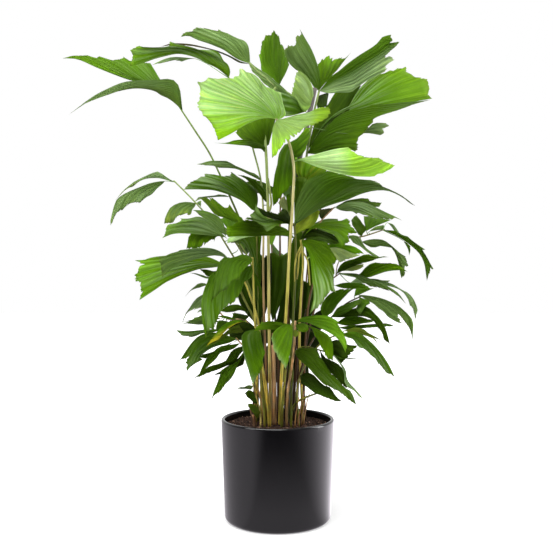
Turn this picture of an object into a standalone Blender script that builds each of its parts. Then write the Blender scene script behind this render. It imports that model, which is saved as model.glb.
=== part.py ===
"""Fishtail palm in a round dark pot.

Frame: +Z up, the pot's underside rests on z = 0 and the pot's axis is the z axis. -Y is the front.
The fronds are drawn in centimetres on the upright plane through the pot's axis, as they look from a
station 2.15 m in front of it. A third number moves a point towards (-) or away from (+) that station
along its own line of sight, so the drawing keeps its outline whatever the depths are.
"""

import math

import bpy
import bmesh
import numpy as np
from mathutils import Vector
from mathutils.bvhtree import BVHTree
from mathutils.geometry import tessellate_polygon

# Driving dimensions, metres unless a name says cm.
pot_height = 0.250
rim_radius = 0.140
foot_radius = 0.131
wall = 0.0075
foot_round = 0.012
floor_thick = 0.008
soil_level = 0.232
gap = 0.0003
station_cm = 215.0
eye_cm = 66.4
blade_thick_cm = 0.10
petiolule_cm = 0.13
outline_slack_cm = 0.3
clear_cm = 0.05

# Each frond: where its petiole leaves the soil, its radius at the foot and at the tip, how far it is
# turned behind (+) or before (-) the drawing plane, its colour, the lines of its stalks, and its leaflets. A leaflet is: where it is borne; its long edge out to the tip;
# its ragged end back from the tip to the shoulder; its short edge; how far tip and shoulder stand
# behind (+) or before (-) the base; its shade of green.
fronds = {
    "frond_front_bright": {
        "root": (1.0, -3.8),
        "thick": (0.34, 0.26),
        "swing": -0.5,
        "colour": (0.24, 0.46, 0.03),
        "stalks": """
            1.7,34,-6 2.6,42,-8 3.5,48.5,-9
        """,
        "leaves": """
            3.4,48.1; 1,47.2 0,46.7 -2,46.9 -4,46.8 -6,46.5; -5.3,47.6 -4.6,48.1 -4.2,48.8 -3.4,48.7
              -2.5,49; -1,48.9 1,48.6; -5 -4; mid

            3.4,48.3; 3.7,47 3.6,45 3.4,43 3.1,41.4 2.8,39.6 2.4,38.2 1.9,37.1; 1.3,38 0.7,38.8
              0,39.7 -0.6,41.1 -1.2,42 -1.3,43.4 -1.6,44.6; -1,46.3 0.2,47.4 1.6,48.2; -5 -6; fresh
        """,
    },
    "frond_front_right": {
        "root": (2.2, -3.0),
        "thick": (0.3, 0.26),
        "swing": -0.35,
        "colour": (0.2, 0.42, 0.05),
        "stalks": """
            2.4,30.5,-3.4 3.2,36,-4.6 3.9,40.6,-6 4.2,45,-7.4 4.4,49,-8.4
        """,
        "leaves": """
            4.4,48.7; 6,48.7 7.4,48.6 9,47.9 11,47 12.8,46.1 14.3,45.1 15.2,44.2 16,43 16.9,41;
              17.3,42.8 17.1,44.4 16.5,46 15.5,47.4 15,48.2 15.2,48.8 14.2,49.4; 12.6,50.2 10.4,50.5
              8,50.3 6,49.9; -8 -5; fresh

            7.4,48; 10.4,46.8 12.6,45.5 13.4,44.4 13.8,41.8 13.7,39.1; 12.8,39.4 12.1,39.7 11.4,40.6
              10.9,42 10.3,43.6 9.8,44.5 9.2,45.2; 8.6,46.8; -2 -1; fresh

            4.2,47.9; 5.6,48.5 7.3,48.2 7.7,47; 7.1,46.2 5.5,46.3; 4.9,46.9; -2 -2; mid

            4.1,47.3; 5.1,46.4 5.2,45.5 4.5,45; 3.9,45.2; 3.8,46.4; -1 -1; dark
        """,
    },
    "frond_front_left": {
        "root": (-2.0, -3.6),
        "thick": (0.44, 0.28),
        "swing": -0.5,
        "colour": (0.17, 0.36, 0.06),
        "stalks": """
            -2.7,30,-4.4 -3.4,35,-5 -4.6,42,-6 -5.4,47.4,-6.6
        """,
        "leaves": """
            -5.4,47.2; -7,46.7 -8.8,45.9 -9,44 -8.8,42 -8.4,40.4 -7.9,38.6 -7.2,36.6 -6.7,34.6
              -5.9,32.9; -5.5,34.3 -5.1,35.1 -4.3,35.8 -3.8,37 -3.5,38.2 -3.7,39.4 -3.3,40.4
              -3.1,41.2; -3.5,42.4 -4,44.4 -4.4,46.4; -5 -4; mid

            -5.6,47; -6.6,47.8 -8,48.8 -9.6,48; -9,47 -8.4,46.1; -7,46.4; 1.5 1.5; deep
        """,
    },
    "frond_lime": {
        "root": (0.5, -1.6),
        "thick": (0.42, 0.3),
        "swing": -0.5,
        "colour": (0.36, 0.62, 0.1),
        "stalks": """
            1,36,-3.4 1.9,48.8,-3.6 2.3,54.2,-3.8 2.8,64.2,-4 3.3,71.6,-4 3.6,76.6,-4.2 3.9,83,-4.4
              3.9,88.2,-4.6 3.4,91,-4.6 2.7,93.6,-4.4 1.2,96.6,-4 -0.4,99.3,-3.6
        """,
        "leaves": """
            -0.4,99.2; -2,99.5 -4.4,99.2 -6.9,98.3 -9.4,96.9 -11.9,95.4 -14.9,93.9; -15.7,96.3
              -16.6,98.1 -17.4,98.9 -17.7,99.5 -18.6,100 -18.9,101 -19.7,101.5 -20.3,102.4
              -19.9,102.8 -20.3,103.2 -19.7,103.6 -19.6,105 -19.3,107 -20.4,108.6 -18.3,108.5
              -17.6,109.6 -15.3,109.3 -13,109.5 -11.2,109.4 -10.7,110 -9.7,109.9 -9.5,112.2
              -7.6,110.9 -6.6,110.8 -5,109.7 -3,107.3 -1.6,106.9 0,106 0.8,105.8; 1.3,103.2
              1.9,100.2 1,99.4; -5 -2; lime

            -0.7,99.2; -1.1,97.6 -1.4,95.4 -1.5,92.5 -1.4,89.5; -0.3,90.3 0.1,91.2 1,92.2 2.5,93.5
              4,94.4 5.5,95.7 6.2,96.6 8,97.7 9,97.5 9.4,98 10.4,98.2 11.4,98.9 12.6,99.7 13.2,100.6
              13.2,101.6 12.6,102.1; 10.6,102.1 9.3,101.7 8.4,101.1 6.8,100.7 4.3,100.2 1.8,99.4; -5
              -7; lime

            4,88.8; 5.8,88.9 7.5,88.2 9.6,87.4 12,86.6 15,85.7 18,85.1 21,84.9 24.6,85.2 25,85.7
              26,85.7 27.4,86.5 28.2,86.9 29.1,87.7; 28.2,88.2 27,88.5 26.1,89 25.4,89.6 21.8,89.8
              21.5,90.1 19.9,90.3 18.2,91.8 17.6,92.2; 15,91.9 11.5,91.1 8.5,90.2 5.5,89.3; -6 -4;
              pale
        """,
    },
    "frond_top": {
        "root": (-1.8, -0.4),
        "thick": (0.4, 0.34),
        "swing": 0.3,
        "colour": (0.15, 0.27, 0.1),
        "stalks": """
            -2.1,43,-0.4 -2.2,54.2,-0.4 -2.3,69.1,0 -2.4,76.6,0 -2.7,86.5,0.4 -2.9,91.5,0.6
              -3,98.7,1.4 -2,103,2 -0.5,107.4,2.6;
            -0.5,107.4,2.6 -3,109.5,2.9 -5,111,3.1 -7,113.2,3.2;
            -0.5,107.4,2.6 2,106,2.6 4.4,104.4,2.4 6.2,101.6,2.2;
            -2.4,75.6,0 -1.7,77,-0.1 -1.8,80.5,0 -2.4,84.5,0.3
        """,
        "leaves": """
            6.3,101.7; 6,103.3 4.6,104.9 3,105.6 1,107.4 -1,109 -2.4,110.3 -4.2,111.4 -5.5,112.2
              -7.4,113.9; -7,112.2 -6.4,111 -5,109.8 -3.6,108.1 -2.4,107.2 0,106 2.4,104.8; 4.4,104
              5.8,102.5; 1.5 0.6; sage

            -6.8,113.2; -8.3,113.4 -10,114.1 -12,115.4 -13.4,116.4 -15,117.1 -17,117.9 -20,118.9
              -22.3,119.9 -24.1,119.6; -23.6,120.5 -22.7,120.9 -21.4,121 -20.9,121.7 -20.2,122.1
              -18,121.8 -15,121.1 -14.8,121.7 -14.2,121.1 -12.6,120.6; -10,119.3 -8.2,118.6
              -7.4,117.6 -7,115.6; 4 2; sage

            -7.1,112.7; -9.5,113.6 -12,115 -15,116.2 -18,116.9 -22,117.6 -26,118.1 -29.3,117.1;
              -26,117.7 -21,117.3 -16,116.3; -12,114.6 -9.5,113.2; 4 2; under

            0.5,107.6; -1.6,109.6 -4,111.2 -4.2,113 -4.7,115.2; -4.2,116.3 -4.1,118 -3.9,118.8
              -3.3,119.2 -3.1,120.1 -1.9,120.3 -0.9,121.4 -0.4,120.6 0.3,120.1 0.7,118.2 1.5,117.3
              2,115.4 2.9,112.8; 1.9,110.4 0.9,108.6; 3 4; fresh

            -2.7,92.2; -5,93 -8.9,94.2 -10.5,95.9; -8.6,98.8 -5.5,100.4 -2.5,100.6 -0.4,99.6;
              -1.1,97 -1.9,94 -2.2,92.8; 2 2; deep

            -2.6,92; -5,93.6 -9.3,94.1 -11,93.9 -12.8,93.3 -15.9,93.3; -12.5,93 -9.5,92.7 -7.2,92.5
              -6,91.9; -4,91.7 -3.3,91; -2 -1; dark
        """,
    },
    "frond_centre": {
        "root": (2.4, 1.6),
        "thick": (0.38, 0.26),
        "swing": 0.12,
        "colour": (0.12, 0.27, 0.04),
        "stalks": """
            3.3,40,0.4 4.1,55,0 4.5,66,-0.6 4.4,69.5,-1 4.1,73.4,-1
        """,
        "leaves": """
            4.3,69.5; 2,70.1 0,70.2 -3,70.2 -6,70 -9,70.1 -12.4,69.9; -13,70.8 -13,71.6 -12.6,72.7
              -11.4,72.8 -10.5,73.4 -9.7,74 -8.8,73.9 -8.2,74.3 -7,74; -5.6,73.9 -4,73.4 -1,72.9
              2,72; -6 -5; dark

            3.6,73; 2.4,73.4 1,74 -1,74.2 -3,74.8 -4.4,76.2 -5.5,78.1; -5.8,76.4 -6.9,75.5 -8.2,74.4
              -6.6,74.1 -5.2,73.7 -4.9,73.2 -4,72.8 -3.4,72 -2.7,71.1; -1.2,72.1 0.2,72.9 1.5,73.2;
              -7 -7; mid

            3.8,72.5; 3,75 2.2,76.6 1.2,77; 0,75.8 -0.9,75.8 -1.7,76.3 -3.4,76.7 -5.1,77.4;
              -4.6,75.8 -2,74.6 1,73.7; -4.6 -4; deep

            -7,70; -9.6,70.1 -12.1,69.9 -12.6,68.3; -11.2,68.6 -9.4,69.3; -8.2,69.7; 0 0; pale

            4.1,73.1; 6,74 8,75.4 11,77 14,78.1 17.3,79.1 20,80.3 23,81.2 26,81.5 28,81.2 30,80.3
              31.5,79.4 33,78.2 34.2,77.6; 31.4,79.9 29.6,80.9 28,81.7 26.3,82.3 25.3,83.4 24.6,83.8
              22.9,84.1 20,84.2 18.4,84.9 14,86.1 12.4,86.4; 9.6,85 7.4,84 5.6,81 4.4,77; 3 1; dark

            4.3,70.4; 5.6,71.1 8,72 9.3,73.2 10.4,76.4 9.9,77.3; 8,76.2 6.4,75; 4.6,73.2; 2 1.5; mid
        """,
    },
    "frond_big_hanging": {
        "root": (6.2, 0.8),
        "thick": (0.34, 0.26),
        "swing": -0.3,
        "colour": (0.18, 0.38, 0.05),
        "stalks": """
            5.4,44,-0.6 5.5,50,-1 5.9,57,-1.6 6.2,62,-2 6.3,66,-2.4 5.7,69.2,-2.4;
            6,67.6,-2.3 5,66,-2.2 4.3,63,-1.8 4.2,58.8,-1.4;
            6.1,67,-2.3 5.4,65.6,-2.4 5.1,62,-2.2 4.8,59.4,-2;
            6.3,66.4,-2.4 7.3,64.4,-2 7.8,61,-1.8 8,57.9,-1.6
        """,
        "leaves": """
            6,68.9; 6.4,67.7 7.4,66.6 8,64.8 8.3,62.5 8.6,59 8.9,56.4 8.8,54 8.3,52.2 7.9,50.7;
              9.2,52 9.8,51.9 10.3,52.7 11,53 11.5,54.3 12.2,55.2 13,56.3 14.6,56 14,57.2 13.9,60
              14.3,61 13.8,62.7 14.8,64.3 13.9,65.8 13,67; 12.6,68.2 10.5,68.9 8,69.3; -5 -3; fresh

            5.6,69.4; 7,71.9 9,72.1 11,71.4 14.2,70.2 16.2,68.4; 14.4,68.3 13.4,69.3 10.6,69.4
              8.2,69.5; 6.4,69.4; 2 1; deep

            5.8,69.2; 8.6,70 12,69.9 15.8,68.4; 14,67.9 11.6,68.3 9.2,68.9; 7,69.1; 1.6 0.6; dark

            6.4,70; 8.4,71.9 10,72.1 12.3,71.1 14.4,70.1 15,69 16.1,66.9; 16.7,67.9 17.9,68.7
              17.6,69.9 18,70.7 19.9,70.8 19.1,72 17.9,73.2 18.2,73.9 17.2,74.6 17,74; 14,73.9
              11,73.5 8.6,72.6; -1.5 -0.5; fresh

            11.9,67.6; 13.8,68.6 16.6,68 18.6,67.7 20.2,66.9 21.5,65.7; 19.8,65.6 18,65.8 16.6,66.5;
              14.4,66.6; 3 2; fresh

            12.3,67; 14,67.4 16,67 18.2,66 20.6,65.4; 19,64.8 17.4,64.2 15.6,63.6; 14.6,64.4
              13.8,65.6; 1 0; under
        """,
    },
    "frond_low_fan_left": {
        "root": (-3.0, -1.6),
        "thick": (0.34, 0.24),
        "swing": -0.35,
        "colour": (0.17, 0.34, 0.06),
        "stalks": """
            -3.9,36,-2 -4.8,45,-3 -5.4,48,-3.2 -7,51.8,-3.4 -9.2,56.2,-3.6 -10.8,60.4,-3.4
              -12.3,64.8,-3.2
        """,
        "leaves": """
            -12.2,64.9; -14,65.1 -16,65.3 -18.5,64.8 -21,64.2 -23,63.4 -25,62.5 -26.7,61.9
              -28.8,59.8; -29,61.5 -29.3,63 -29.9,64.3 -29.7,64.9 -28,65.2 -26.8,65.8 -25,66.2
              -24.8,66.6 -23,66.8; -20,67.2 -17.2,67.2 -15.4,66.8 -13.6,65.9; -3 -2; sage
        """,
    },
    "frond_hanging_left": {
        "root": (-5.6, 0.2),
        "thick": (0.32, 0.24),
        "swing": -0.5,
        "colour": (0.16, 0.33, 0.06),
        "stalks": """
            -5.2,36,-3.6 -5.6,48,-5.6 -6,56,-6 -6.3,64.8,-6
        """,
        "leaves": """
            -6.4,64.6; -7.6,65.4 -9,65.6 -10.2,65.1 -12,64.7 -13.4,64.9 -14.5,63.8 -15,62.4
              -15.5,60.5 -16.1,57.5 -16.6,53.6; -16,54.5 -15.3,55 -14.3,56.2 -13.4,56.3 -12.4,57
              -11.9,58 -10.8,59.3 -9.6,59.2 -8.9,60.9 -8.3,61.7 -7.4,62.8; -6.7,63.4 -6.3,64; -6 -3;
              mid

            -6.2,62.8; -9,62.4 -13,61.8 -15.4,61.3 -17,60.3 -17.4,59 -18.3,57 -18.8,55 -19.1,53
              -18.9,50 -18.5,47.5 -18,44.5; -17.2,46.4 -16.7,47.1 -15.8,46.5 -15.3,48.4 -14.9,49.6
              -14.2,51.2 -13,52.3 -10.8,53.6 -9.9,54.8 -8.9,56.6 -8.4,58.7 -7.4,59.3; -6.8,59.7
              -6.2,61.2; -4 -1; mid
        """,
    },
    "frond_wide_fan_left": {
        "root": (-4.2, 0.9),
        "thick": (0.3, 0.2),
        "swing": -0.08,
        "colour": (0.17, 0.35, 0.05),
        "stalks": """
            -4.2,40,-0.8 -4.7,48.2,-1.4 -5.9,52.5,-1.6 -7,55.6,-1.8 -8.3,58.9,-1.8 -10.4,61.4,-1.6
              -13.1,63,-1.4
        """,
        "leaves": """
            -13,62.8; -16,62.3 -19.5,61.9 -22,61.1 -24,60.4 -26,59.5 -28,58.5 -30,57.1 -33,55.1
              -34.4,54.2; -34.1,56 -34.3,58.6 -35.8,58.9 -35.4,59.8 -35.7,60.5 -34.9,61 -34.7,62.4
              -34.3,63.6 -35.6,64.1 -33.2,64.2 -32,64.7 -30.5,65; -27,65.3 -22,65 -17.6,65 -15,64; 0
              3; mid

            -14.8,61.6; -15.9,61.4 -17.5,61.8 -19.4,61.9; -18.4,60.8 -17.4,60; -16,60.4; 1 1; deep

            -15.6,60; -17.4,59.5 -19,60 -20.4,60.6 -21.9,61; -20.3,60.9 -18.8,60.5; -17.4,60; 1 1;
              deep
        """,
    },
    "frond_left_yellow": {
        "root": (-3.2, -4.2),
        "thick": (0.26, 0.18),
        "swing": -0.45,
        "colour": (0.36, 0.42, 0.05),
        "stalks": """
            -4.4,36,-3.4 -5.8,44,-3.8 -6.9,47.5,-4 -8.2,49.2,-4
        """,
        "leaves": """
            -8.1,49.1; -10,48.5 -11.6,47.6 -12.9,46.6 -14,45.3 -15,44.2 -16.4,43.7 -17.8,42.6;
              -17.2,43.8 -16,45.3 -15,46.6 -14,47.7 -12.8,48.6; -11.4,49.1 -10,49.3; -3 -2; straw

            -7.5,48.2; -8.2,46.6 -9.6,46 -11.4,46 -13,45.2 -14.8,43.9 -16.4,42.9; -15.4,44.2
              -14,45.4 -12.2,47; -9.6,48.2; -1.5 -1; mid
        """,
    },
    "frond_low_left": {
        "root": (-5.2, -2.6),
        "thick": (0.28, 0.18),
        "swing": -0.6,
        "colour": (0.14, 0.29, 0.05),
        "stalks": """
            -5.4,34,-1.8 -7,40,-2 -9,43.6,-2 -10.4,44.8,-2
        """,
        "leaves": """
            -10,44.6; -13,45.6 -16,46.2 -18.6,45.8 -20.2,44.9 -21.6,43.4 -23.2,41.1 -24,39.8
              -24.9,38.5; -24.2,39.4 -23,39.5 -22.6,39.9 -23,38.6 -22.8,37.6 -22.6,36.4 -22,37.3
              -20.5,38.5; -18.6,39.6 -19.4,40 -18.2,41.1 -16.6,42.2 -14,43.1 -12,43.6; -2 -1; mid

            -9.4,43.4; -12,43.1 -14,42.8 -15.4,42 -16.4,41 -17.6,40 -18.3,38.6 -19,37.1 -19.8,35;
              -19,35.6 -18,36.9 -17.2,37.9 -16.2,38.7 -15.2,39.7; -14.3,41 -12.4,41.6 -10.8,42.2; 1
              1; mid

            -8.6,42.9; -10.6,42.2 -11.8,41.2 -12.3,40.2 -12.9,39.2 -14.4,38.5 -17.3,37.6 -19,36.3
              -20.9,34.7; -19,35.2 -17.8,35.8 -16.4,36.3 -14.4,37.1; -12.6,37.9 -10.8,38.6 -9.4,40.7
              -8.4,42; 2 1.5; dark

            -8.2,41.8; -8.2,40 -8.4,38.3 -10,37.5 -13,36.1 -16,35.5; -14.4,36.6 -12,38.2; -10,39.6;
              3.5 3; deep

            -8.4,42.2; -9.6,39.2 -12,37.9 -13.9,36.7 -14.5,35.2 -15.2,33.2 -15.9,31.6 -16.3,30
              -16.8,28.8; -15.9,30.4 -15,30.9 -14.2,31.3 -13.5,32.4 -13.2,33.1 -12.3,33.9; -11.4,35
              -10.7,36.2 -10.2,37.5 -8.8,40; -1 0; mid

            -10.8,43.8; -13.4,42.8 -15.6,41.6 -17.4,41 -18.6,40.8 -19.6,39.9; -18,39.6 -16.8,40.4;
              -14,42; 1.5 1; deep
        """,
    },
    "frond_low_right": {
        "root": (3.3, -4.0),
        "thick": (0.28, 0.16),
        "swing": -0.65,
        "colour": (0.12, 0.3, 0.05),
        "stalks": """
            3.4,32,-4 3.9,38,-5 4.2,42,-5.6 9.4,42,-6 13.6,40.8,-6
        """,
        "leaves": """
            4.5,41.8; 5.6,42.3 8,42.2 9.8,42.3 10.1,41 10.6,40 11.4,38.9 12.4,37.4 13.2,36 14.2,35.2
              15,34.4 16.6,32.5 17.8,31.9 18.5,31 19.5,28.2; 18.5,28.7 17.8,29.2 17,30 16,30.6
              15.2,31.5 14,31.9 13.2,32.5 12.2,32.8 11.3,33.4; 9.8,34.9 8.6,36.2 7.6,37.4 5.8,39
              4.4,40.8; -3 -3; dark

            10.4,41.4; 12,39.8 13.6,39.1 15.2,38.2 16.2,37 16.9,35.4 17.5,33; 17,32.2 16,33
              14.4,34.8 12.8,36.4; 11.2,38.4; 0 0.5; deep

            13.6,40.7; 15,39.4 16,38.2 16.7,37.2 17.1,36 17.1,34.8 18,33.4 19,32.4 20.2,31
              21.4,29.5; 20.2,30.2 19.4,31.2 18.4,32 17.4,32.4; 16.6,33.8 16.5,36 15.4,38.4; -1 -1;
              under

            11.8,42.4; 13.4,44 15,44.4 17.2,43.2 20,42.9; 18.8,41.4 17.4,39.9 15.8,38.4; 13.9,40.5;
              2.5 2; dark

            15.9,39.7; 17.4,39.9 19.4,39.7 21.6,39.2; 19.2,39.6; 17.6,39.6; 1 1; under
        """,
    },
    "frond_bottom_right": {
        "root": (3.2, -0.9),
        "thick": (0.3, 0.22),
        "swing": -0.6,
        "colour": (0.12, 0.27, 0.05),
        "stalks": """
            4.4,28.6,-2.6 6.2,29.7,-3.4 9.6,31,-4.6;
            4.4,28.6,-2.6 4.6,31,-3 5.4,35,-3.6 6.6,37.8,-4
        """,
        "leaves": """
            5.7,35.4; 6.8,36.1 8.4,36 9.8,34.7 11.4,33.1 12.9,32.6 13.7,31.6 14.5,30.3 16.1,29;
              14.8,28.9 13.8,29 12.5,29.7 11.3,30.1 10.6,30.5 9.3,31; 8,32 7,32.8 5.9,33.3; -4 -4;
              dark
        """,
    },
    "frond_low_shoot": {
        "root": (-4.2, -3.8),
        "thick": (0.22, 0.14),
        "swing": -0.4,
        "colour": (0.26, 0.32, 0.06),
        "stalks": """
            -4.3,26.3,-2.8 -4.9,28.6,-3.2 -5.5,31,-3.6 -6.3,33.6,-4
        """,
        "leaves": """
            -4.3,26.2; -5,27.5 -6.2,28.4 -7.5,28.5; -7.4,27.8; -6.2,26.3 -4.9,24.8; 0 -1; mid

            -5.1,29; -5.7,30.6 -6.1,31.4 -7.2,31.9 -8.2,31; -7.6,30 -6.4,29.1; -5.3,28.4; 2 2; deep

            -6.1,32.9; -7.3,33.1 -8.4,32.6 -9.4,32.6 -10.1,32.1; -9,32.1 -7.6,32.1; -6.6,32; 2 2;
              sage
        """,
    },
    "frond_right_low": {
        "root": (4.2, -3.6),
        "thick": (0.28, 0.16),
        "swing": -0.55,
        "colour": (0.14, 0.26, 0.06),
        "stalks": """
            4.8,32,-2 7.6,39.5,-2.4 11.4,44,-2.6 16.4,46,-2.6
        """,
        "leaves": """
            16.5,45.9; 18.4,46.4 20.4,46 22,44.8 24,43 26,40.6 27.4,38.5 28.4,36.6 29.1,34.9;
              28.2,35.7 27.2,35.9 26.4,36.5 25.9,37.5 25,38.2 24.4,39.5 23.2,40.4 22.4,41.3
              21.4,42.1 20.4,42.3; 19.6,43.2 18.6,44.5 17.1,45; -3 -2; dark

            16.6,46.7; 19.4,47.4 21.4,47 22.6,46 24.2,45.2 25.7,44.2; 23.6,44.9 22,45.3; 20,45.8
              18,46; 0 0; straw

            21.6,45.7; 23.4,45.3 24.3,44.4 24.9,43.2; 23.8,44.6; 22.4,45.2; 0 0; straw
        """,
    },
    "frond_right_spray": {
        "root": (4.8, 0.6),
        "thick": (0.3, 0.16),
        "swing": -0.3,
        "colour": (0.13, 0.27, 0.05),
        "stalks": """
            5.2,34,-1 8.2,43.5,-0.6 13.2,49.8,-0.6 17,53.3,-0.6 18.9,55.2,-0.6 21,55.3,-0.6
        """,
        "leaves": """
            11.4,49.9; 13.3,50.9 15,53.3 16.6,55 18.2,56.6 19.5,57.3; 17.6,57.1 15.4,57 14.4,56.6
              13.6,56.2; 12.5,55.4 11.5,54.2 10.6,52; -1 -1; dark

            19,55.1; 20.4,55.6 22.6,56.6 24,57.2; 21.4,57.1; 19.6,57.2; 2 2; deep

            20.2,55.5; 22,55.4 24,55.1 26,54.6 28,53.8 30,52.8 31.2,51.8 32.3,50.8 33.2,49.8
              33.7,48.4 33.6,46.2 33.5,44.2; 33,46.4 32.6,47.3 31.6,48.7 30.6,50 29.9,50.9 30.2,49.8
              30.9,48.5; 29.9,48.6 28.6,49.3 27.2,50.2 26.4,51.3 25,52.2 24.1,53.1 22.2,54.2; -3 -2;
              mid

            13.4,49.9; 16,51.6 19.4,52.2 22,52.7 24,51 25.8,49.1 26.8,47.2 27.4,45.2 27.9,43.1;
              26.8,44 26.3,44.4 26.2,45.4 25.8,46.3 24.9,47.2 24.4,48.8; 22.4,49.9 19.5,50.2
              16,49.9; 0 0; dark

            13.3,50.2; 15,52.4 17.2,53.3 19.4,54.2 21.4,54.6; 20.6,53.4 19.2,52.3 17,51; 15,50.2;
              -1.5 -1; deep

            20.4,54.8; 22.4,54.2 23.1,53.6 22,52.8 20.6,50.7; 20,51 19.4,52; 20,53.4; -1 -1; deep

            14.4,48.4; 17.6,47.8 20.6,48.3 23.4,48.7; 24.2,49.2 22,49.7 20.4,50.3 18.6,50.5;
              16.4,49.8; 1.5 1; mid

            15,47.4; 18,47.9 21,48.1 24,48.3 27.4,48.4 29.1,47.7; 27.2,47.6 24,47.4 20,47.1;
              17,46.9; 1 0.5; dark
        """,
    },
    "frond_right_middle": {
        "root": (7.0, 4.8),
        "thick": (0.3, 0.16),
        "swing": -0.05,
        "colour": (0.12, 0.27, 0.05),
        "stalks": """
            6.4,36,4 8.6,50,3.6 11.4,57,2.4 14.1,60.5,0.9 15.6,61,0.6;
            14.1,60.5,0.9 14.8,62.9,0.8 16.9,66.4,0.8
        """,
        "leaves": """
            14.2,60.6; 15,62 16,63.4 17.8,64.2 19.5,64.6 21,65.4 22.8,65.6 23.6,65.2 25,64.9
              26.2,65.1 27.6,64.9; 26,64.8 24.4,64.3 22.4,63.6 20,63; 18,62.3 16.5,61.6 15.2,61; -3
              -2; dark

            15,61.1; 17.4,62.2 19.6,62.9 21.4,63.2; 21.4,62.6 20.4,61.8 19.2,61.5 18.4,61.4;
              17.1,61.5; -1 -1; straw

            15.9,60.9; 18,60.9 20,60.7 22.5,59.7 25,58.5 28,57.3 30,55.9 31.9,53.2; 30.2,55
              28.3,56.3 25.5,57.1 23,57.6; 20.9,58.9 18.6,60.1; -3 -2; sage

            19.6,60.2; 22.4,59.8 24.6,60.5 27,61.3 29.4,61.6 30.8,61.6 32.5,61.2; 31.3,62 30.5,62.7
              29.6,63.2 28,63.5 26,63.4 24.4,63.6; 23,63.2 21.6,62.1 20.7,61; -2 -1; fresh

            19.6,59.9; 22,59.6 24.4,59 27.9,58.5 29.4,57.7 31,56.7 32.6,55.9 33.6,54.7 34.3,53.4
              34.8,51.6 34.4,50.4 34.2,49.2; 33.8,50.8 33.7,51.8 33.2,52.6 32.8,52.8 32.5,54.2
              31.3,56.2; 29.8,57.2 27.6,57.7 24,58.3; -1 0; sage

            19.8,59.8; 22.4,59.6 25,59.4 25.6,59.2 27.9,59.1; 27.6,58.6 25,58.8; 22.4,59.1; 1 1;
              dark

            14.1,57.8; 16,57.2 19,57 23.2,57; 22.6,57.6 21.6,58.2 20,58.6; 18,58.6 15.8,58.4; 1 1;
              mid

            18,58.5; 19.2,59.4 19.9,60 21.8,59.8 23.6,59; 22.4,58.4 21,58.3; 19.4,58.5; 2 2; mid
        """,
    },
    "frond_right_arching": {
        "root": (6.6, 3.4),
        "thick": (0.3, 0.16),
        "swing": 0.15,
        "colour": (0.13, 0.25, 0.06),
        "stalks": """
            6.9,44,3 8.2,56,2.6 11.4,65,2 15.6,69.2,1.4 20.7,69.8,1 22.9,71.3,1 26.6,71.8,1
        """,
        "leaves": """
            20.8,69.9; 21.4,71 22.3,71.8 21.1,73.2 20.5,74.2 19.5,75.3; 18.9,75 18.2,74.2 18.5,72.9;
              19.4,71.6 20,70.6; 3 2; deep

            22.1,71.4; 24.4,72.6 26.4,73.4 28.4,74.2; 25.6,74.6 23.8,75 21.4,75.2; 21.5,73.6; 3 2.5;
              dark

            22.6,71.2; 24.2,72.4 26.4,72.9; 26.5,71.7; 24.6,71.6; 0 0; under

            26.3,71.6; 28,70.9 29.6,70.1 31.3,69.1 33.4,67.5 35,66 35.9,64.6 36.5,63 36.8,61
              37.1,58.9; 37.4,59.9 37.9,60.8 38.1,61.6 38.8,61.9 38,63.2 37.2,64.8 36.7,65.6 36,66.6
              36.8,66.7; 35,67.9 33,69.4 32.4,70 31,70.4 29.6,71.3; -3 -2; dark

            31.2,69; 31.8,68 32.4,66.8 32.7,65.3; 33,66.4 33,67.6; 32.2,68.4; 0 0; dark

            27.2,73.5; 28.6,73.1 29.4,72.2 30.2,71; 29,71.4 28.6,72; 27.8,73; 1 1; under

            20.8,68.7; 22.2,67.8 23.2,67.3 24,67 24.6,67.6 26.6,67.5 28.3,67.2 29.2,65.8 29.8,64.2
              30.3,62 30.5,60.4 30.8,59.6; 31.3,60 31.8,60.8 31.4,61.6 31.8,62.4 32.6,62.6 32.1,64
              31.9,65; 30.4,65.9 29.2,67 28,68 26.4,69.1 24.6,69.4 22.4,69.2; -3 -2; dark

            17.4,70.2; 19.6,70.3 20.8,69.2 21.6,67.6 23,66.4 25.2,65; 24.5,64.6 22.4,66 20.6,67.5
              18.8,68.4; 18.1,69.4; -2 -1.5; sage
        """,
    },
    "frond_right_upper": {
        "root": (6.2, 6.0),
        "thick": (0.3, 0.18),
        "swing": 0.55,
        "colour": (0.22, 0.34, 0.14),
        "stalks": """
            6.6,50,4.6 7.4,62,4 8.4,70,3.4 11.2,74.4,3 14,77.2,2.6
        """,
        "leaves": """
            14.3,77.2; 15.6,77.9 17,78.5 19,78.7 21,78.6 23,78 25,77 27,76 29,75.1 31,74; 29.2,74.7
              28.4,74.1 26.6,74.2 25,74.2 23.9,74.9 23.4,74.6 22.4,75.2 21.2,75.4 20.2,75.9
              19.6,75.6; 18.6,76.2 17,76.3 15.4,76.6; -4 -3; sage

            14.1,77.3; 18,78.3 22,78.2 25.1,77.3 25.9,78.5; 24.4,78.6 23,78.9 22.6,79.5 21,79.6;
              19,79.3 17,78.9 15.6,78.1; 2 1; dark

            11,74.2; 10.4,75 10.3,76.9; 12,77 13.8,77.2; 12.6,75.8; 1 1; deep
        """,
    },
    "frond_fan_left": {
        "root": (-5.0, 2.6),
        "thick": (0.34, 0.2),
        "swing": 0.3,
        "colour": (0.19, 0.36, 0.07),
        "stalks": """
            -5.4,48,1 -6.6,56,0.4 -8.6,61,0 -11,65,-0.6 -14.1,70.1,-1
        """,
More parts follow.
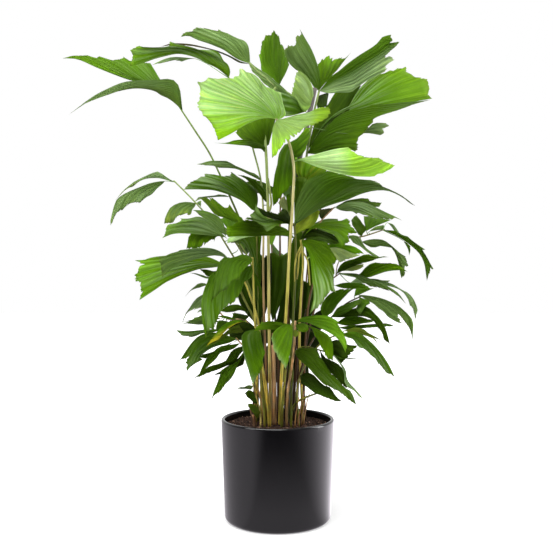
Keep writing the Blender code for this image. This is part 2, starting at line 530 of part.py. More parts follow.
        "leaves": """
            -12.3,69.3; -13.2,69.9 -15,70.1 -18.5,70.4 -21.8,70.7 -24,70.8 -26.2,70.6 -28.7,69.6;
              -28,70.8 -27.8,72.8 -27,73.1 -25.3,73.3 -24.2,73.9 -24.3,74.5; -22,74.5 -20,75
              -18.4,74.7 -16.8,73.8 -15,71.9 -13.6,70.6; -4 -3; fresh

            -12.9,70.3; -13.2,72.6 -14.2,74.6 -16,75.7 -18.5,76.5 -21.1,76.6; -20,75.8 -19.5,75.3
              -18,74.3; -15.8,72.2 -14,71; 3 1; dark

            -14.2,70.3; -18.4,71.2 -21.9,70.6 -22.3,68.8 -22.7,66.9; -20.6,66.9 -18.4,67.4 -18,68.1
              -16.8,69 -16.3,69.2 -15.8,68.7; -15.4,69.8; 0 0; fresh

            -9.9,66.6; -9.4,72.6 -12.5,74.4 -15.6,75.5 -17.3,77.6 -19.3,79.6; -17.5,79.9 -16.2,79.7
              -14.3,78.1 -13.4,77.3 -12.6,77.2 -12,78.1; -11,76.6 -10.4,75.9 -9.9,75.3 -8.7,74.5
              -8.6,71.5; 3 2; fresh
        """,
    },
    "frond_far_left": {
        "root": (-2.6, 3.2),
        "thick": (0.34, 0.17),
        "swing": -0.1,
        "colour": (0.16, 0.27, 0.07),
        "stalks": """
            -3.6,60,2.6 -3.6,76,2.2 -4.2,84,2 -5.2,88.3,2 -6.2,92,2.6 -8.5,100,4.5 -12.3,109.8,5
        """,
        "leaves": """
            -12.3,109.4; -13,110.2 -15,111.8 -17.5,113 -20,114.3 -22.5,115.1 -25,115.4 -28,114.8
              -31,114 -33.5,113.1 -36.7,112.4; -36.3,114 -36.1,115.2 -36.8,116.4 -34.6,117.5
              -33.8,117.2 -30,116.9 -27.1,117.3 -26.9,118.6 -25,117.9 -22,117.2 -20,116.5 -16,116.4;
              -14.5,115.6 -13.4,113.7 -12.4,112.8 -11.8,111; 3 1; dark

            -20.4,114.2; -23,114.5 -26.5,114.6 -29,113.8 -31.2,112.7; -28.7,113.1 -26,113.8
              -23.8,113.5; -22,114.1; 2 1; under

            -4.1,84.1; -5,85.3 -7,86.1 -9,87 -10.5,87.6 -12,88.5 -13.1,88.9 -14.5,88.8 -16,88.9
              -17.5,88.7 -19,88.2 -20.2,88; -18.5,87.7 -16.5,87.6 -14.6,87.1; -12,87 -10.3,86.8
              -7,85.3; -3 -2.5; sage

            -2.1,78; -3,78.6 -4,79.9 -5.3,81.7 -6.7,83.2 -8.3,84.6 -10.2,85.4; -8.4,85.2 -6.9,84.7
              -6.2,84.5 -5.3,84.2; -4.9,83.3 -4,82.6 -2.9,81.2; -3 -1; deep
        """,
    },
    "frond_upper_left": {
        "root": (-1.0, 6.0),
        "thick": (0.36, 0.2),
        "swing": 0.4,
        "colour": (0.16, 0.28, 0.07),
        "stalks": """
            -3.4,45,4.5 -5.5,60,4.5 -8,70,4 -10.1,76,3.5 -11.8,79.8,3 -14.4,85.5,2 -16,89,1.5
              -17.9,92.3,1 -20.2,95.8,0.5 -23.9,101.4,0
        """,
        "leaves": """
            -23.8,101.2; -24,104.5 -24.4,107 -25.2,108.4 -26.3,109.1 -30,109 -35,108.8 -38.3,108.4
              -42,106.9 -45.5,105.1 -51.9,100.3; -50,101.6 -48,103 -45,104.2 -40,106 -36,106.9
              -33,107 -30.9,106.7; -29.3,105.3 -27.2,104.3 -25,102.6; -5 -2; sage

            -24.4,102; -27,105.5 -31,107.9 -36.5,108.8 -40,110 -45,112 -50,114.1 -53.5,114.3;
              -51,115 -47.3,115.1 -45.2,114.3 -44.5,114.9 -41,113.8 -40,114.3 -39.4,114 -38.4,114.9
              -37,113.8 -34,113.6 -31.6,113.1; -30.7,111.6 -28.9,108.6 -26.5,105; 6 7; mid

            -11.6,79.9; -14,79.9 -17,79.7 -19,79.4 -20.7,78.6; -19.8,79.8 -18,80 -16.3,80
              -14.8,80.5; -13,80.3; -2 -1; deep
        """,
    },
    "frond_left": {
        "root": (-3.9, 4.6),
        "thick": (0.36, 0.22),
        "swing": 0.35,
        "colour": (0.1, 0.2, 0.05),
        "stalks": """
            -4.7,45,4 -4.9,60,3 -5.2,70,2 -5.5,76.6,1.4
        """,
        "leaves": """
            -5.5,76.4; -6.6,76.8 -7.8,78 -9,78.9 -11,79.9 -14,81 -16,81.5 -19,81.7 -23.4,81.7;
              -22.6,82.8 -21.8,83.6 -20,84.3 -19.5,84.9 -18.5,85 -18.3,85.7 -15,85.4 -13.7,85
              -12.6,85.3 -11.9,85.2 -11.8,86.4 -10.7,85.5 -9.1,84 -8,83.1; -6.2,82.5 -5.2,81
              -4.9,79; 2 4; dark

            -4.9,56; -5.4,60 -6.2,63.6 -7,66 -9,68.4 -11.6,68.4; -11.6,70.4 -8,71.6 -5,71.4 -4,70;
              -4.3,66 -4,62 -4.2,58.5; 2 0; deep

            -4.7,49.5; -5,52.4 -5.8,55.5 -6.4,59 -6.9,62.5; -5.9,61.8 -4.8,59.6; -3.8,56.5 -2.8,53.2
              -3.4,50.5; -3 -2; dark
        """,
    },
    "frond_mid_left": {
        "root": (-2.4, 7.4),
        "thick": (0.34, 0.18),
        "swing": 0.6,
        "colour": (0.17, 0.3, 0.08),
        "stalks": """
            -4.4,48,6 -6.8,60,5 -10,68,4 -14,72.5,3 -18.7,76.5,2 -20.6,78.6,2 -23.3,81.5,2
              -25.8,83.9,2
        """,
        "leaves": """
            -25.5,83.7; -26.6,84.1 -27.8,84.9 -29,85.8 -30,86.2 -31.2,85.8 -32.6,85.2 -34.2,84.4
              -35.6,83.7 -37,82.6 -38.4,81.4 -40.3,79; -38.2,81.3 -36.9,82.1 -36,82.3 -34.3,84
              -32,84.5; -29.5,84.5 -27.4,84; 3 2; sage

            -28,83.8; -29.6,83.7 -32,83.2 -34,82.4 -36.5,81.4 -38.5,80.4 -40,79.2 -40.7,77.5
              -41.2,75.5 -41.6,73.6 -41.5,72.7; -41,73.5 -40.5,74.8 -40,75.9 -38.6,76.5 -37.7,77.2
              -36.9,78.1 -35.6,78.4 -34.3,78.2 -33.4,79.1 -32.6,79.8; -31.3,80.5 -29.9,82
              -28.6,83.1; -2 -1; mid

            -20.3,78.3; -22,78.6 -23.5,78.6 -25,78.2 -26.6,77.3 -27.4,76 -28,74.6 -28.2,73.2;
              -26.2,73.3 -25.6,73.8 -25,75 -24.2,75.2 -23,75.6 -22.2,75.3; -21.6,75.5 -21.2,76.7
              -20.5,77.6; -3 -2; sage

            -20,78.5; -19.3,78.9 -18.9,78.9; -19,78.2 -19,77.3; -19.6,77.9; 1 1; sage
        """,
    },
    "frond_left_behind": {
        "root": (-6.2, 4.0),
        "thick": (0.3, 0.16),
        "swing": 0.35,
        "colour": (0.15, 0.28, 0.06),
        "stalks": """
            -5.8,36,2 -6.9,46,1.6 -8.4,49.6,1.2 -12.6,49.6,0.8 -14.6,51,0.6 -16.4,55,0.4
              -17.4,58.2,0.4
        """,
        "leaves": """
            -7.5,51.5; -9.4,53 -11.2,53.1 -12.8,52.6 -14.1,51.4; -12.6,51.1 -10.9,51.3; -9.4,51.7
              -8.2,51.4; -1 -0.5; dark

            -7.5,49.2; -9.6,49.6 -11.3,49.7; -11.3,51 -10,51 -8.6,50.7; -7.2,50.2; -2 -2; dark

            -9.6,49.6; -11.4,49.9 -13.6,50.4 -15.1,50.1; -13.6,49.8; -11.6,49.4; -1 -1; deep

            -11.4,48.6; -12.8,49 -14.8,49.1 -15.3,47.6; -15.4,46.7 -14.2,46.9; -12.8,48; 1 1; deep

            -13.6,47; -16,47 -18.2,46.9 -20,46.7 -22.5,46.5 -25.3,46.8; -24.3,45.8 -23.9,45.4
              -22.6,45.1 -21.4,45; -20.2,45.3 -18.9,45.9 -16,46.2; -1 0; sage

            -14,49.6; -17,49 -19.4,48.9 -21.8,48.9 -24.2,48.9; -22.4,49.1 -21.2,49.4 -21.1,49.9
              -20,50 -19.2,50.4; -17,50.4; 0 1; straw

            -14,49; -17,49.2 -19.4,49.3 -21.6,49 -23.8,48.3; -22,48.3 -20,48.1; -17.4,48.2; 2 2;
              sage

            -17,56.2; -18.6,55.6 -20,54.8 -21,53.7 -21.8,52.4 -22.6,51.3 -23.2,50.2 -23.6,49
              -24.1,47.4; -23,50.2 -22.3,51.3 -21,51.7 -20.2,52 -19.1,52.3; -18,54; -1 1; sage

            -17.4,58.2; -18.4,58.5 -20.2,58.1 -20.7,57.5 -21.4,57 -22.2,56.1 -23.1,55; -21.8,56.4
              -20.6,57 -19.4,57.3; -18,57.8; 1 1; dark

            -17.2,52.6; -18.6,51.7 -19.2,51.9 -20.1,51; -19.2,51.4; -18.2,51.4; 1 1; straw
        """,
    },
    "frond_upper_right": {
        "root": (3.9, 4.2),
        "thick": (0.36, 0.28),
        "swing": 0.4,
        "colour": (0.13, 0.27, 0.05),
        "stalks": """
            5.6,50,3.4 6,57,3 6.3,68,2.6 6.6,78,2.4 6.9,86,2.2 7.1,91,2 7.9,94.4,2 8.4,98,2
              9.3,102,1.8 10,105,1.6 10.4,106.6,1.6
        """,
        "leaves": """
            10.3,106.2; 10.7,107.8 10.5,109.5 10.3,111.2 9.8,113 9.1,115 8.2,117 7,119 6.2,120.4
              5.5,121.6; 5.9,120.4 5,120.1 4.4,119.7 4.5,118.2 4.3,117.6 2.9,117.5 2.4,117.9
              2.4,117.2 1.4,116.5; 2,114.6 3,112.9 4.6,111.4 5.6,110.8 6.5,109.6 7,108.9 8,108.7
              8.7,107.5 9.6,106.5; -3 -3.5; dark

            10.6,106.4; 11,107.2 12.9,109.4 14.9,111.5 16.4,113.5 18.3,115.8; 16.9,114.4 16,114.7
              15,114.3 14,114.3 13.6,114.8 13,115.1 12,114.8 11,114.3 10.6,113.4 9.9,113; 10.4,110
              10.5,108; 4 3; fresh

            10.5,106.1; 11.6,107.8 13.2,109.8 15,111 17,112.7 20,114.9 24.8,118.1 26,119.6
              28.2,120.2; 28.4,119.2 28.8,118.8 28,118.1 30.5,118.6 29.5,117.3 26.8,114.9 28.2,114.8
              29.2,114 27.8,113.2 26.8,112.4 27.4,111.8 26.6,110.9 25.8,110.6; 22,108.6 19.6,106.9
              18.5,106 15,105.8 12.5,105.6; -6 -3; sage

            10,105; 11.2,105.4 12.6,105.7 12.4,104 12.2,102.3; 11.2,101.8 9.9,101.8; 9.7,103.2; 2
              1.5; deep

            7.4,91.1; 9.4,94.4 12,97.6 16.5,99.8 20,101.2 26,102.4 32,103.2 38.4,104.3; 37.6,105.2
              37.8,107 37.3,109.2 35.3,109.6 34.3,109.6 32.4,111 32,112.4 31.2,111.9 30,112 29,111.2
              28,111.4 26.6,110.6 25.2,110.5; 22.6,109 20.7,107.2 19.2,105.1 18.2,103.2 17,101.4
              12.6,99.2; 2 0; fresh

            7.3,90.8; 9,93.8 12.5,97.6 15.6,100.4 18.6,101.5 20.2,101.8 22.6,102.4 24,103 25.5,102.8
              30,103.3 34.5,103.6 38,104; 34,102.9 30,101.4 26,100.2 23.7,99.2 23.9,98.6 23,97.6
              21.4,95.6 20.4,94.9 20,94 20,92.8 20.3,92 19.3,91 18.4,91.6; 14,91.5 10,90.5; -3 -4;
              deep

            7.4,91.6; 8.3,95 9.2,98.2 10.4,100.8 12.3,102.6 14.3,105.8 16,107.4; 18.6,107.6
              20.8,107.6; 19.2,104.8 17.6,101 14.5,97.6 10.5,94; 1.5 0.5; deep

            17,95.6; 20,96.3 22.3,96.8 23.4,97.9 24.8,98.3 27,98.2; 27.8,97.5 26.4,96.8 26.5,95.6
              25.5,95.2; 22.3,95.7 20,95.5; 4 3; sage

            6.9,83.4; 5.2,84.8 4.3,86.6 4.2,89.2; 5.6,89.8 7.6,89.4 9.6,88.2 12.6,87; 11.4,85.6
              9,84.4; 0.6 0.6; straw
        """,
    },
    "frond_dark_centre": {
        "root": (1.9, 4.9),
        "thick": (0.34, 0.22),
        "swing": 0.2,
        "colour": (0.13, 0.26, 0.04),
        "stalks": """
            2.5,50,4 2.7,66,3 2.9,73,2.5 3.3,80,2 3.8,88,1.5 3.9,93,1
        """,
        "leaves": """
            3.8,92.8; 2.4,93.3 0.8,91.6 0.2,90.2 -0.1,88 -0.7,85.8 -1.1,83 -1.4,80.6 -1.1,77.6;
              -0.2,78.3 0.8,79.8 1.9,80.9 3.2,82.4 4.6,84.5; 4.4,88.5; 1.5 1; dark

            3.7,89.6; 3,91.4 2.4,93.2 3.3,93.6 4.9,94.5 6,95.8 7.2,97.2; 8.2,97.2 8.1,95 7.1,91.8;
              5.6,89.9; 1 0.5; dark

            2.9,72.8; 2.1,74.6 1.9,76.4 2.2,78 2.1,79.4 2.5,80.6; 3,80.6 3.4,80.2 3.5,77.8;
              3.4,74.6; -0.4 -0.4; dark

            2.6,75.4; 1.6,76.4 0.9,77.2 0.1,78.5; 0.9,79.7 1.6,80.4 2.2,79.2; 2.5,77.4; -1.2 -1;
              under

            4.2,73; 4.1,77.6 4.2,81.6 4.6,84.8; 5.6,85 6.6,84.8 7.4,84.4; 6.4,80 5.2,76; 1 1; mid
        """,
    },
    "frond_grey_cane": {
        "root": (3.4, 7.6),
        "thick": (0.45, 0.36),
        "swing": 0.3,
        "colour": (0.14, 0.28, 0.06),
        "stalks": """
            4.4,50,6 4.8,70,4.6 5,84,3.4 5.5,90,2.6 6.6,94.2,1.6 7.3,98,0.8 8.1,101.4,0.4 9,104.2,0
              9.2,106.9,0
        """,
        "leaves": """
            9,103.4; 8.9,105.6 8.6,107.4 7.9,108.9 6.6,110.4 4.9,111.4; 4.3,110 4,108.4 3.6,107.1
              3.3,105.2; 4.5,104.3 5.8,101.8 6.8,100.9 7.8,101.9; -2.2 -1.6; pale

            6.8,101; 5.4,103.4 4.4,104.3 1,105.8 -2.8,106.8; -3.4,104 -2.5,101; 0,100.2 2.4,99.9
              4.5,100.3; -0.5 -0.5; dark
        """,
    },
    "frond_back_high": {
        "root": (0.8, 8.6),
        "thick": (0.36, 0.2),
        "swing": 0.0,
        "colour": (0.12, 0.25, 0.04),
        "stalks": """
            0.8,52,12 0.6,68,16 0.8,80,22 1.4,85,27 2,86.5,31
        """,
        "leaves": """
            1,82.5; 3,85.6 6,87.4 9.4,87.6; 9.6,86 9,84.6 8,83.6; 5,82.6; 9 8; mid

            0.9,81; -2,82.8 -5.4,84 -8.4,83.4; -8.2,82.2 -7.4,81.4 -5.4,80.8; -2.4,80.6; 8 9; dark

            1.6,85.4; 4.4,88.4 6.4,90.4; 4.6,90.6 2.6,90.4 0.6,89.6; 1.2,88; 12 9; fresh

            2,86.4; 2.6,84 3.6,81.4 4.4,78.4; 2.8,79 1.6,80 0.8,81.6; 1.4,84.6; 14 11; mid
        """,
    },
    "frond_back_middle": {
        "root": (-0.6, 9.4),
        "thick": (0.36, 0.2),
        "swing": 0.0,
        "colour": (0.11, 0.24, 0.04),
        "stalks": """
            -0.6,50,14 -1,60,19 -1.4,66,26 -1.6,69,32
        """,
        "leaves": """
            -1.1,61.6; -3,64.4 -5.2,66.4 -7.4,67.4; -7.4,65.6 -6.6,63.6 -5.2,62.2; -3,61.4; 9 8;
              dark

            -1.2,63; 1.4,65.4 4,66.8 6.6,66.9; 6.2,65.2 5.4,63.8 4.4,62.8; 1.6,62.4; 8 10; mid

            -1.5,67.4; -2.8,70.4 -3.8,72.8 -4.2,75.4; -2.4,75.2 -0.8,74.4 0.8,73.2; -0.4,70.2; 12
              10; fresh

            -1.6,68.8; -0.2,67 1.6,65.4 3.4,64.6; 2.6,63.4 1,62.6 -0.6,62.2; -1.4,65.4; 14 13; mid
        """,
    },
    "frond_back_right": {
        "root": (2.8, 9.0),
        "thick": (0.34, 0.2),
        "swing": 0.3,
        "colour": (0.12, 0.26, 0.05),
        "stalks": """
            3,50,12 5,66,15 8,76,20 10,79.4,25
        """,
        "leaves": """
            6.4,71.6; 9,73.2 12,74.4 15,74.4; 15.4,72.6 14.8,71 13.4,70; 9.8,70.2; 9 8; dark

            8.2,76.4; 6.4,79.2 5,82 4.4,84.6; 6.6,84.8 8.6,84 10.2,82.6; 9.2,79.4; 9 12; mid

            9.9,79.2; 12.6,81 15.4,82.4 18,82.6; 18.2,81.2 17.2,80 15.4,79.2; 12.4,78.6; 9 10; mid

            10,79.4; 11.2,80.6 12.2,82.4 12.8,84.2; 11.2,84.2 9.8,83.6 9,82.4; 9.2,80.8; 13 12;
              fresh
        """,
    },
    "frond_back_left": {
        "root": (-3.6, 9.0),
        "thick": (0.34, 0.2),
        "swing": 0.3,
        "colour": (0.12, 0.25, 0.05),
        "stalks": """
            -3.8,48,12 -5,58,15 -8,66,19 -10.6,69.6,23
        """,
        "leaves": """
            -6.2,62; -8.6,63.4 -11.4,64 -14,63.6; -14,62.2 -13,61 -11,60.4; -8.2,60.6; 8 9; dark

            -8.4,66.6; -7.2,69.4 -6.8,72 -7.2,74.4; -9.2,74 -11,72.8 -12,71.2; -10.4,68.8; 12 9; mid

            -10.5,69.4; -13,70.6 -16,71 -19,70.6; -18.6,72.2 -17.4,73.6 -15.4,74; -12.6,72; 10 12;
              mid

            -8.2,65.2; -8.9,66.4 -9.6,67.8 -10.2,69.4; -9.2,69.8 -8,69.6 -6.8,69; -6.6,67; 8 8; dark

            -9.8,68.4; -11.4,70.4 -12.8,72.4 -14.2,74.4; -12.8,75.2 -11.6,75 -10.4,73.8; -9.6,71; 8
              8; mid
        """,
    },
    "frond_inner_left": {
        "root": (-2.6, 6.2),
        "thick": (0.3, 0.24),
        "swing": 0.0,
        "colour": (0.05, 0.13, 0.02),
        "stalks": """
            -3.2,34,6 -3.8,42,6.4 -4.3,47.6,7
        """,
        "leaves": """
            -4.3,47.6; -6.6,49.5 -9,52.6 -10.4,56.6; -9.6,59 -7.8,60.6 -5.8,61; -4.8,57 -4.4,52; 2
              2; deep

            -4.1,46.8; -4.4,50 -5.2,55 -5.8,62; -4.6,64 -3,65.4 -1.6,65.6; -1.4,60 -2.2,54; 1 1;
              deep

            -3.9,43.4; -5.2,44.4 -6.2,45.8 -6.6,47; -4.8,48 -2.6,48.2 -0.2,47.6; -0.8,45.4 -2,43.6;
              -0.4 -0.4; deep

            -4.2,46.4; -6.2,48 -8.4,49.8 -10.8,51.2; -12,49 -12.4,46.6 -12,44.8; -9,44.2 -6,45; 1 1;
              deep
        """,
    },
    "frond_inner_middle": {
        "root": (-0.2, 6.4),
        "thick": (0.3, 0.24),
        "swing": 0.0,
        "colour": (0.06, 0.15, 0.02),
        "stalks": """
            -0.8,34,6.2 -1.2,42,6.4 -1.3,49,6.8
        """,
        "leaves": """
            -1.3,48.8; -2.4,54 -2.8,60 -2.6,65.8; -1,66.2 0,65.7 1.2,65.3 2.6,65.9; 2.6,62.6 1.8,57
              0.4,52.6; 1 1; dark

            -1.2,46.4; 0,50.4 0.8,55 1.4,60.6; 2.4,61.2 3.4,60.8 4.2,59.8; 4.2,54 2.4,49; 1 1; deep

            -1.1,44.6; -2.8,42.6 -4.2,39 -4.6,34.6; -3.6,33.6 -2.4,33.4 -1.4,33.8; -1.2,37.5
              -1.1,41; 1 1; deep

            -1,43.2; -1.4,41 -1.4,37 -0.8,33.8; 0.6,33.2 2.2,33.6 3.2,34.2; 3,38 1.2,42; 0.4 0.4;
              deep
        """,
    },
    "frond_inner_right": {
        "root": (3.2, 6.2),
        "thick": (0.3, 0.24),
        "swing": 0.0,
        "colour": (0.05, 0.13, 0.02),
        "stalks": """
            3.6,34,6.2 4.4,42,6.2 5,46.6,6.6;
            4,38.4,6.2 3.8,46,5.2 4.2,51.6,4;
            4.6,43.6,6.3 6.2,48,5.4 7,52,4.2
        """,
        "leaves": """
            4.7,46.2; 3.2,49.4 2.4,53 2.3,57.8; 3.4,59.6 4.8,60.2 6.2,60.6; 6.2,56.6 5.7,51; 0.2
              0.2; deep

            5.1,47.2; 5.8,50 6,54.6 6,59.4; 7,59 7.9,58.2 9,57.5; 9.4,55 8.4,50.2; 1.2 1.2; deep

            4.5,42.6; 4.8,44.6 5.2,46.2; 6.4,46.8 8.4,46.8 10,45.8 11,43.6; 9,41.8; -0.6 -0.6; deep

            4.3,41.8; 3.2,40 2.8,37 2.8,34; 4.2,33.4 6,33.6 7.8,34.4; 7.6,37.6 6.2,40.4; 0.4 0.4;
              deep

            5.6,46; 7,48.8 9.4,51 11.6,52.2; 12.6,51 13,49.4 12.6,47.8; 10,46.6 7.4,45.6; 2.8 2.8;
              deep

            4.2,51.6; 3.2,56 3,61 3,67.4; 3.8,69.6 4.8,71.2 6,71.8; 6.5,66 6.2,60 5.2,55; 3 3; dark

            7,52; 7.2,56 7.5,60 7.3,64 6.8,68.2; 7.2,69 7.8,68.6 8.4,66.8; 9,60 8.4,55; 1.8 2; dark
        """,
    },
}
# Dead and cut stalks: place at the soil, line, radius at foot and end, colour.
stubs = {
    "cane_fibrous": {
        "root": (-0.4, -1.4),
        "line": "-0.4,30,-1.6 -0.5,36,-1.4 -0.7,43,-1",
        "thick": (0.60, 0.45),
        "colour": (0.28, 0.17, 0.08),
    },
    "cane_brown": {
        "root": (-0.9, 1.4),
        "line": "-1.1,32,1.2 -1.1,40,1.2 -1.2,46,1.4",
        "thick": (0.42, 0.3),
        "colour": (0.22, 0.13, 0.06),
    },
    "stub_left": {
        "root": (-6.1, -0.6),
        "line": "-6.4,25.6,-0.8 -6.9,27.6,-1",
        "thick": (0.34, 0.24),
        "colour": (0.13, 0.08, 0.05),
    },
    "stub_left_low": {
        "root": (-5.2, -3.6),
        "line": "-5.4,24.6,-3.8 -5.7,25.8,-4",
        "thick": (0.38, 0.3),
        "colour": (0.20, 0.12, 0.07),
    },
    "dead_stalk_a": {
        "root": (5.0, -3.2),
        "line": "5.4,26,-3.4 5.9,28.6,-3.6 6.6,31.6,-3.8",
        "thick": (0.2, 0.1),
        "colour": (0.25, 0.14, 0.07),
    },
    "dead_stalk_b": {
        "root": (5.8, -2.0),
        "line": "6.2,26,-2 6.6,28.6,-2 7.1,30.6,-2",
        "thick": (0.2, 0.1),
        "colour": (0.22, 0.12, 0.06),
    },
    "dead_stalk_c": {
        "root": (6.4, -0.6),
        "line": "6.8,26,-0.6 7.3,29,-0.6 7.9,31,-0.6",
        "thick": (0.18, 0.09),
        "colour": (0.30, 0.18, 0.09),
    },
    "dead_stalk_d": {
        "root": (4.2, -3.9),
        "line": "4.5,25.6,-4 4.9,28,-4.2 5.3,30,-4.4",
        "thick": (0.18, 0.09),
        "colour": (0.30, 0.20, 0.10),
    },
    "cane_dark_middle": {
        "root": (0.2, 3.4),
        "line": "0.2,32,3.4 0.1,38,3.2 0,42,3",
        "thick": (0.46, 0.36),
        "colour": (0.10, 0.06, 0.03),
    },
    "cane_dark_left": {
        "root": (-3.4, 3.0),
        "line": "-3.6,31,3 -3.8,36,3 -4,40,3",
        "thick": (0.42, 0.34),
        "colour": (0.09, 0.06, 0.03),
    },
    "cane_dark_right": {
        "root": (4.6, 2.4),
        "line": "4.9,31,2.4 5.1,35,2.4 5.3,38,2.4",
        "thick": (0.44, 0.34),
        "colour": (0.09, 0.06, 0.03),
    },
}


def numbers(text):
    """Points of a line written as "a,h a,h" or "a,h,d a,h,d"."""
    return np.array([[float(n) for n in p.split(",")] for p in text.split()], float)


def along(points, count, smooth=True):
    """The line through the points, cut at evenly spaced places by length."""
    points = np.asarray(points, float)
    if len(points) == 1:
        return np.repeat(points, count, axis=0)
    steps = np.maximum(np.linalg.norm(np.diff(points, axis=0), axis=1), 1e-6)
    at = np.concatenate([[0.0], np.cumsum(steps)])
    where = np.linspace(0.0, at[-1], count)
    k = np.clip(np.searchsorted(at, where, side="right") - 1, 0, len(steps) - 1)
    s = ((where - at[k]) / steps[k])[:, None]
    if not smooth or len(points) == 2:
        return points[k] * (1 - s) + points[k + 1] * s
    slope = np.diff(points, axis=0) / steps[:, None]
    tangent = np.vstack([slope[:1], (slope[1:] + slope[:-1]) / 2, slope[-1:]])
    h = steps[k][:, None]
    return (
        points[k] * (1 + 2 * s) * (1 - s) ** 2
        + tangent[k] * h * s * (1 - s) ** 2
        + points[k + 1] * s**2 * (3 - 2 * s)
        + tangent[k + 1] * h * s**2 * (s - 1)
    )


def place(drawn):
    """Metres from drawn (a, h, depth) in centimetres."""
    drawn = np.asarray(drawn, float)
    a, h, d = drawn[..., 0], drawn[..., 1], drawn[..., 2]
    scale = (station_cm + d) / station_cm
    return np.stack([a * scale, d, eye_cm + (h - eye_cm) * scale], axis=-1) / 100


def drawn_from(x, y, z):
    """Drawn (a, h, depth) of a place in centimetres."""
    scale = (station_cm + y) / station_cm
    return np.array([x / scale, eye_cm + (z - eye_cm) / scale, y])


def lathe(profile, segments):
    """Closed mesh of (radius, height) points turned about the z axis; the ends lie on the axis."""
    profile = np.array(profile)
    turn = np.arange(segments) * 2 * math.pi / segments
    ring = profile[1:-1]
    points = [(0.0, 0.0, profile[0][1])]
    for r, z in ring:
        points += [(r * math.cos(t), r * math.sin(t), z) for t in turn]
    points.append((0.0, 0.0, profile[-1][1]))
    faces = []
    for j in range(segments):
        k = (j + 1) % segments
        faces.append((0, 1 + k, 1 + j))
        for i in range(len(ring) - 1):
            low, high = 1 + i * segments, 1 + (i + 1) * segments
            faces.append((low + j, low + k, high + k, high + j))
        last = 1 + (len(ring) - 1) * segments
        faces.append((last + j, last + k, len(points) - 1))
    return np.array(points), faces


def tube(line, radii, sides=5, flat_foot=False):
    """Closed round bar along a line of points in metres; a ring at each point."""
    line = np.asarray(line)
    ahead = np.gradient(line, axis=0)
    ahead /= np.linalg.norm(ahead, axis=1)[:, None]
    across = np.cross(ahead, (0.0, 1.0, 0.0))
    across /= np.linalg.norm(across, axis=1)[:, None]
    up = np.cross(across, ahead)
    turn = np.arange(sides) * 2 * math.pi / sides
    ring = np.cos(turn)[None, :, None] * across[:, None, :] + np.sin(turn)[None, :, None] * up[:, None, :]
    points = (line[:, None, :] + ring * np.asarray(radii)[:, None, None]).reshape(-1, 3)
    if flat_foot:
        points[:sides, 2] = line[0, 2]
    faces = []
    for i in range(len(line) - 1):
        for j in range(sides):
            k = (j + 1) % sides
            faces.append((i * sides + j, i * sides + k, (i + 1) * sides + k, (i + 1) * sides + j))
    faces.append(tuple(range(sides))[::-1])
    faces.append(tuple(range((len(line) - 1) * sides, len(line) * sides)))
    return points, faces


def turned_left(outline):
    """The outline's points in the order that keeps its inside on the left."""
    a, h = outline[:, 0], outline[:, 1]
    area = np.dot(a, np.roll(h, -1)) - np.dot(h, np.roll(a, -1))
    return outline if area > 0 else outline[::-1]


def thinned(line, slack):
    """The line without the points that stand less than the slack off it."""
    if len(line) < 3:
        return line
    start, end = line[0, :2], line[-1, :2]
    ahead = end - start
    off = line[1:-1, :2] - start
    away = np.abs(ahead[0] * off[:, 1] - ahead[1] * off[:, 0]) / max(np.linalg.norm(ahead), 1e-9)
    k = int(away.argmax()) + 1
    if away[k - 1] < slack:
        return line[[0, -1]]
    return np.vstack([thinned(line[: k + 1], slack)[:-1], thinned(line[k:], slack)])


def plate(outline, thick_cm):
    """Closed thin solid over a drawn outline of (a, h, depth)."""
    outline = turned_left(outline)
    count = len(outline)
    front, back = outline.copy(), outline.copy()
    front[:, 2] -= thick_cm / 2
    back[:, 2] += thick_cm / 2
    flat = [Vector((a, h, 0)) for a, h in outline[:, :2]]
    faces = []
    for i, j, k in tessellate_polygon([flat]):
        p, q, r = outline[i], outline[j], outline[k]
        left = (q[0] - p[0]) * (r[1] - p[1]) - (q[1] - p[1]) * (r[0] - p[0]) > 0
        i, j, k = (i, j, k) if left else (i, k, j)
        faces += [(i, j, k), (count + k, count + j, count + i)]
    for i in range(count):
        j = (i + 1) % count
        faces.append((j, i, count + i, count + j))
    return place(np.vstack([front, back])), faces


def leaflets_of(text):
    """Each leaflet's fields as arrays."""
    found = []
    for block in text.strip().split("\n\n"):
        base, long_edge, end, short_edge, depths, tone = [part.strip() for part in block.split(";")]
        found.append(
            {
                "base": numbers(base)[0],
                "long": numbers(long_edge),
                "end": numbers(end),
                "short": numbers(short_edge) if short_edge else np.zeros((0, 2)),
                "depths": [float(n) for n in depths.split()],
                "tone": tone,
                "order": len(found),
            }
        )
    return found


def swung(frond, a):
    """Depth that the frond's turn about the pot's axis gives to a place beside the clump."""
    return frond["swing"] * np.maximum(np.abs(a) - 4, 0)


def stalks_of(frond, move=(0, 0)):
    """The frond's stalks as drawn lines of (a, h, depth); the first starts at the soil."""
    lines = [numbers(part) for part in frond["stalks"].split(";")]
    x, y = frond["root"][0] + move[0], frond["root"][1] + move[1]
    foot = drawn_from(x, y, (soil_level + gap) * 100)
    low = drawn_from(x, y, soil_level * 100 + 1.5)
    for line in lines:
        line[:, 2] += swung(frond, line[:, 0])
    lines[0] = np.vstack([foot, low, lines[0]])
    return lines


def shifted(lines, bias):
    """Stalk lines moved in depth by a bias that grows from nothing near the soil."""
    moved = []
    for line in lines:
        line = line.copy()
        rise = np.clip((line[:, 1] - 27) / 22, 0, 1)
        line[:, 2] += bias * rise * rise * (3 - 2 * rise)
        moved.append(line)
    for line in moved[1:]:
        line[0] = nearest(moved[:1], line[0])
    return moved


def spine(line):
    """A stalk's line at the places where its bar has a ring."""
    return along(line, 5 + int(np.linalg.norm(np.diff(line, axis=0), axis=1).sum() / 9))


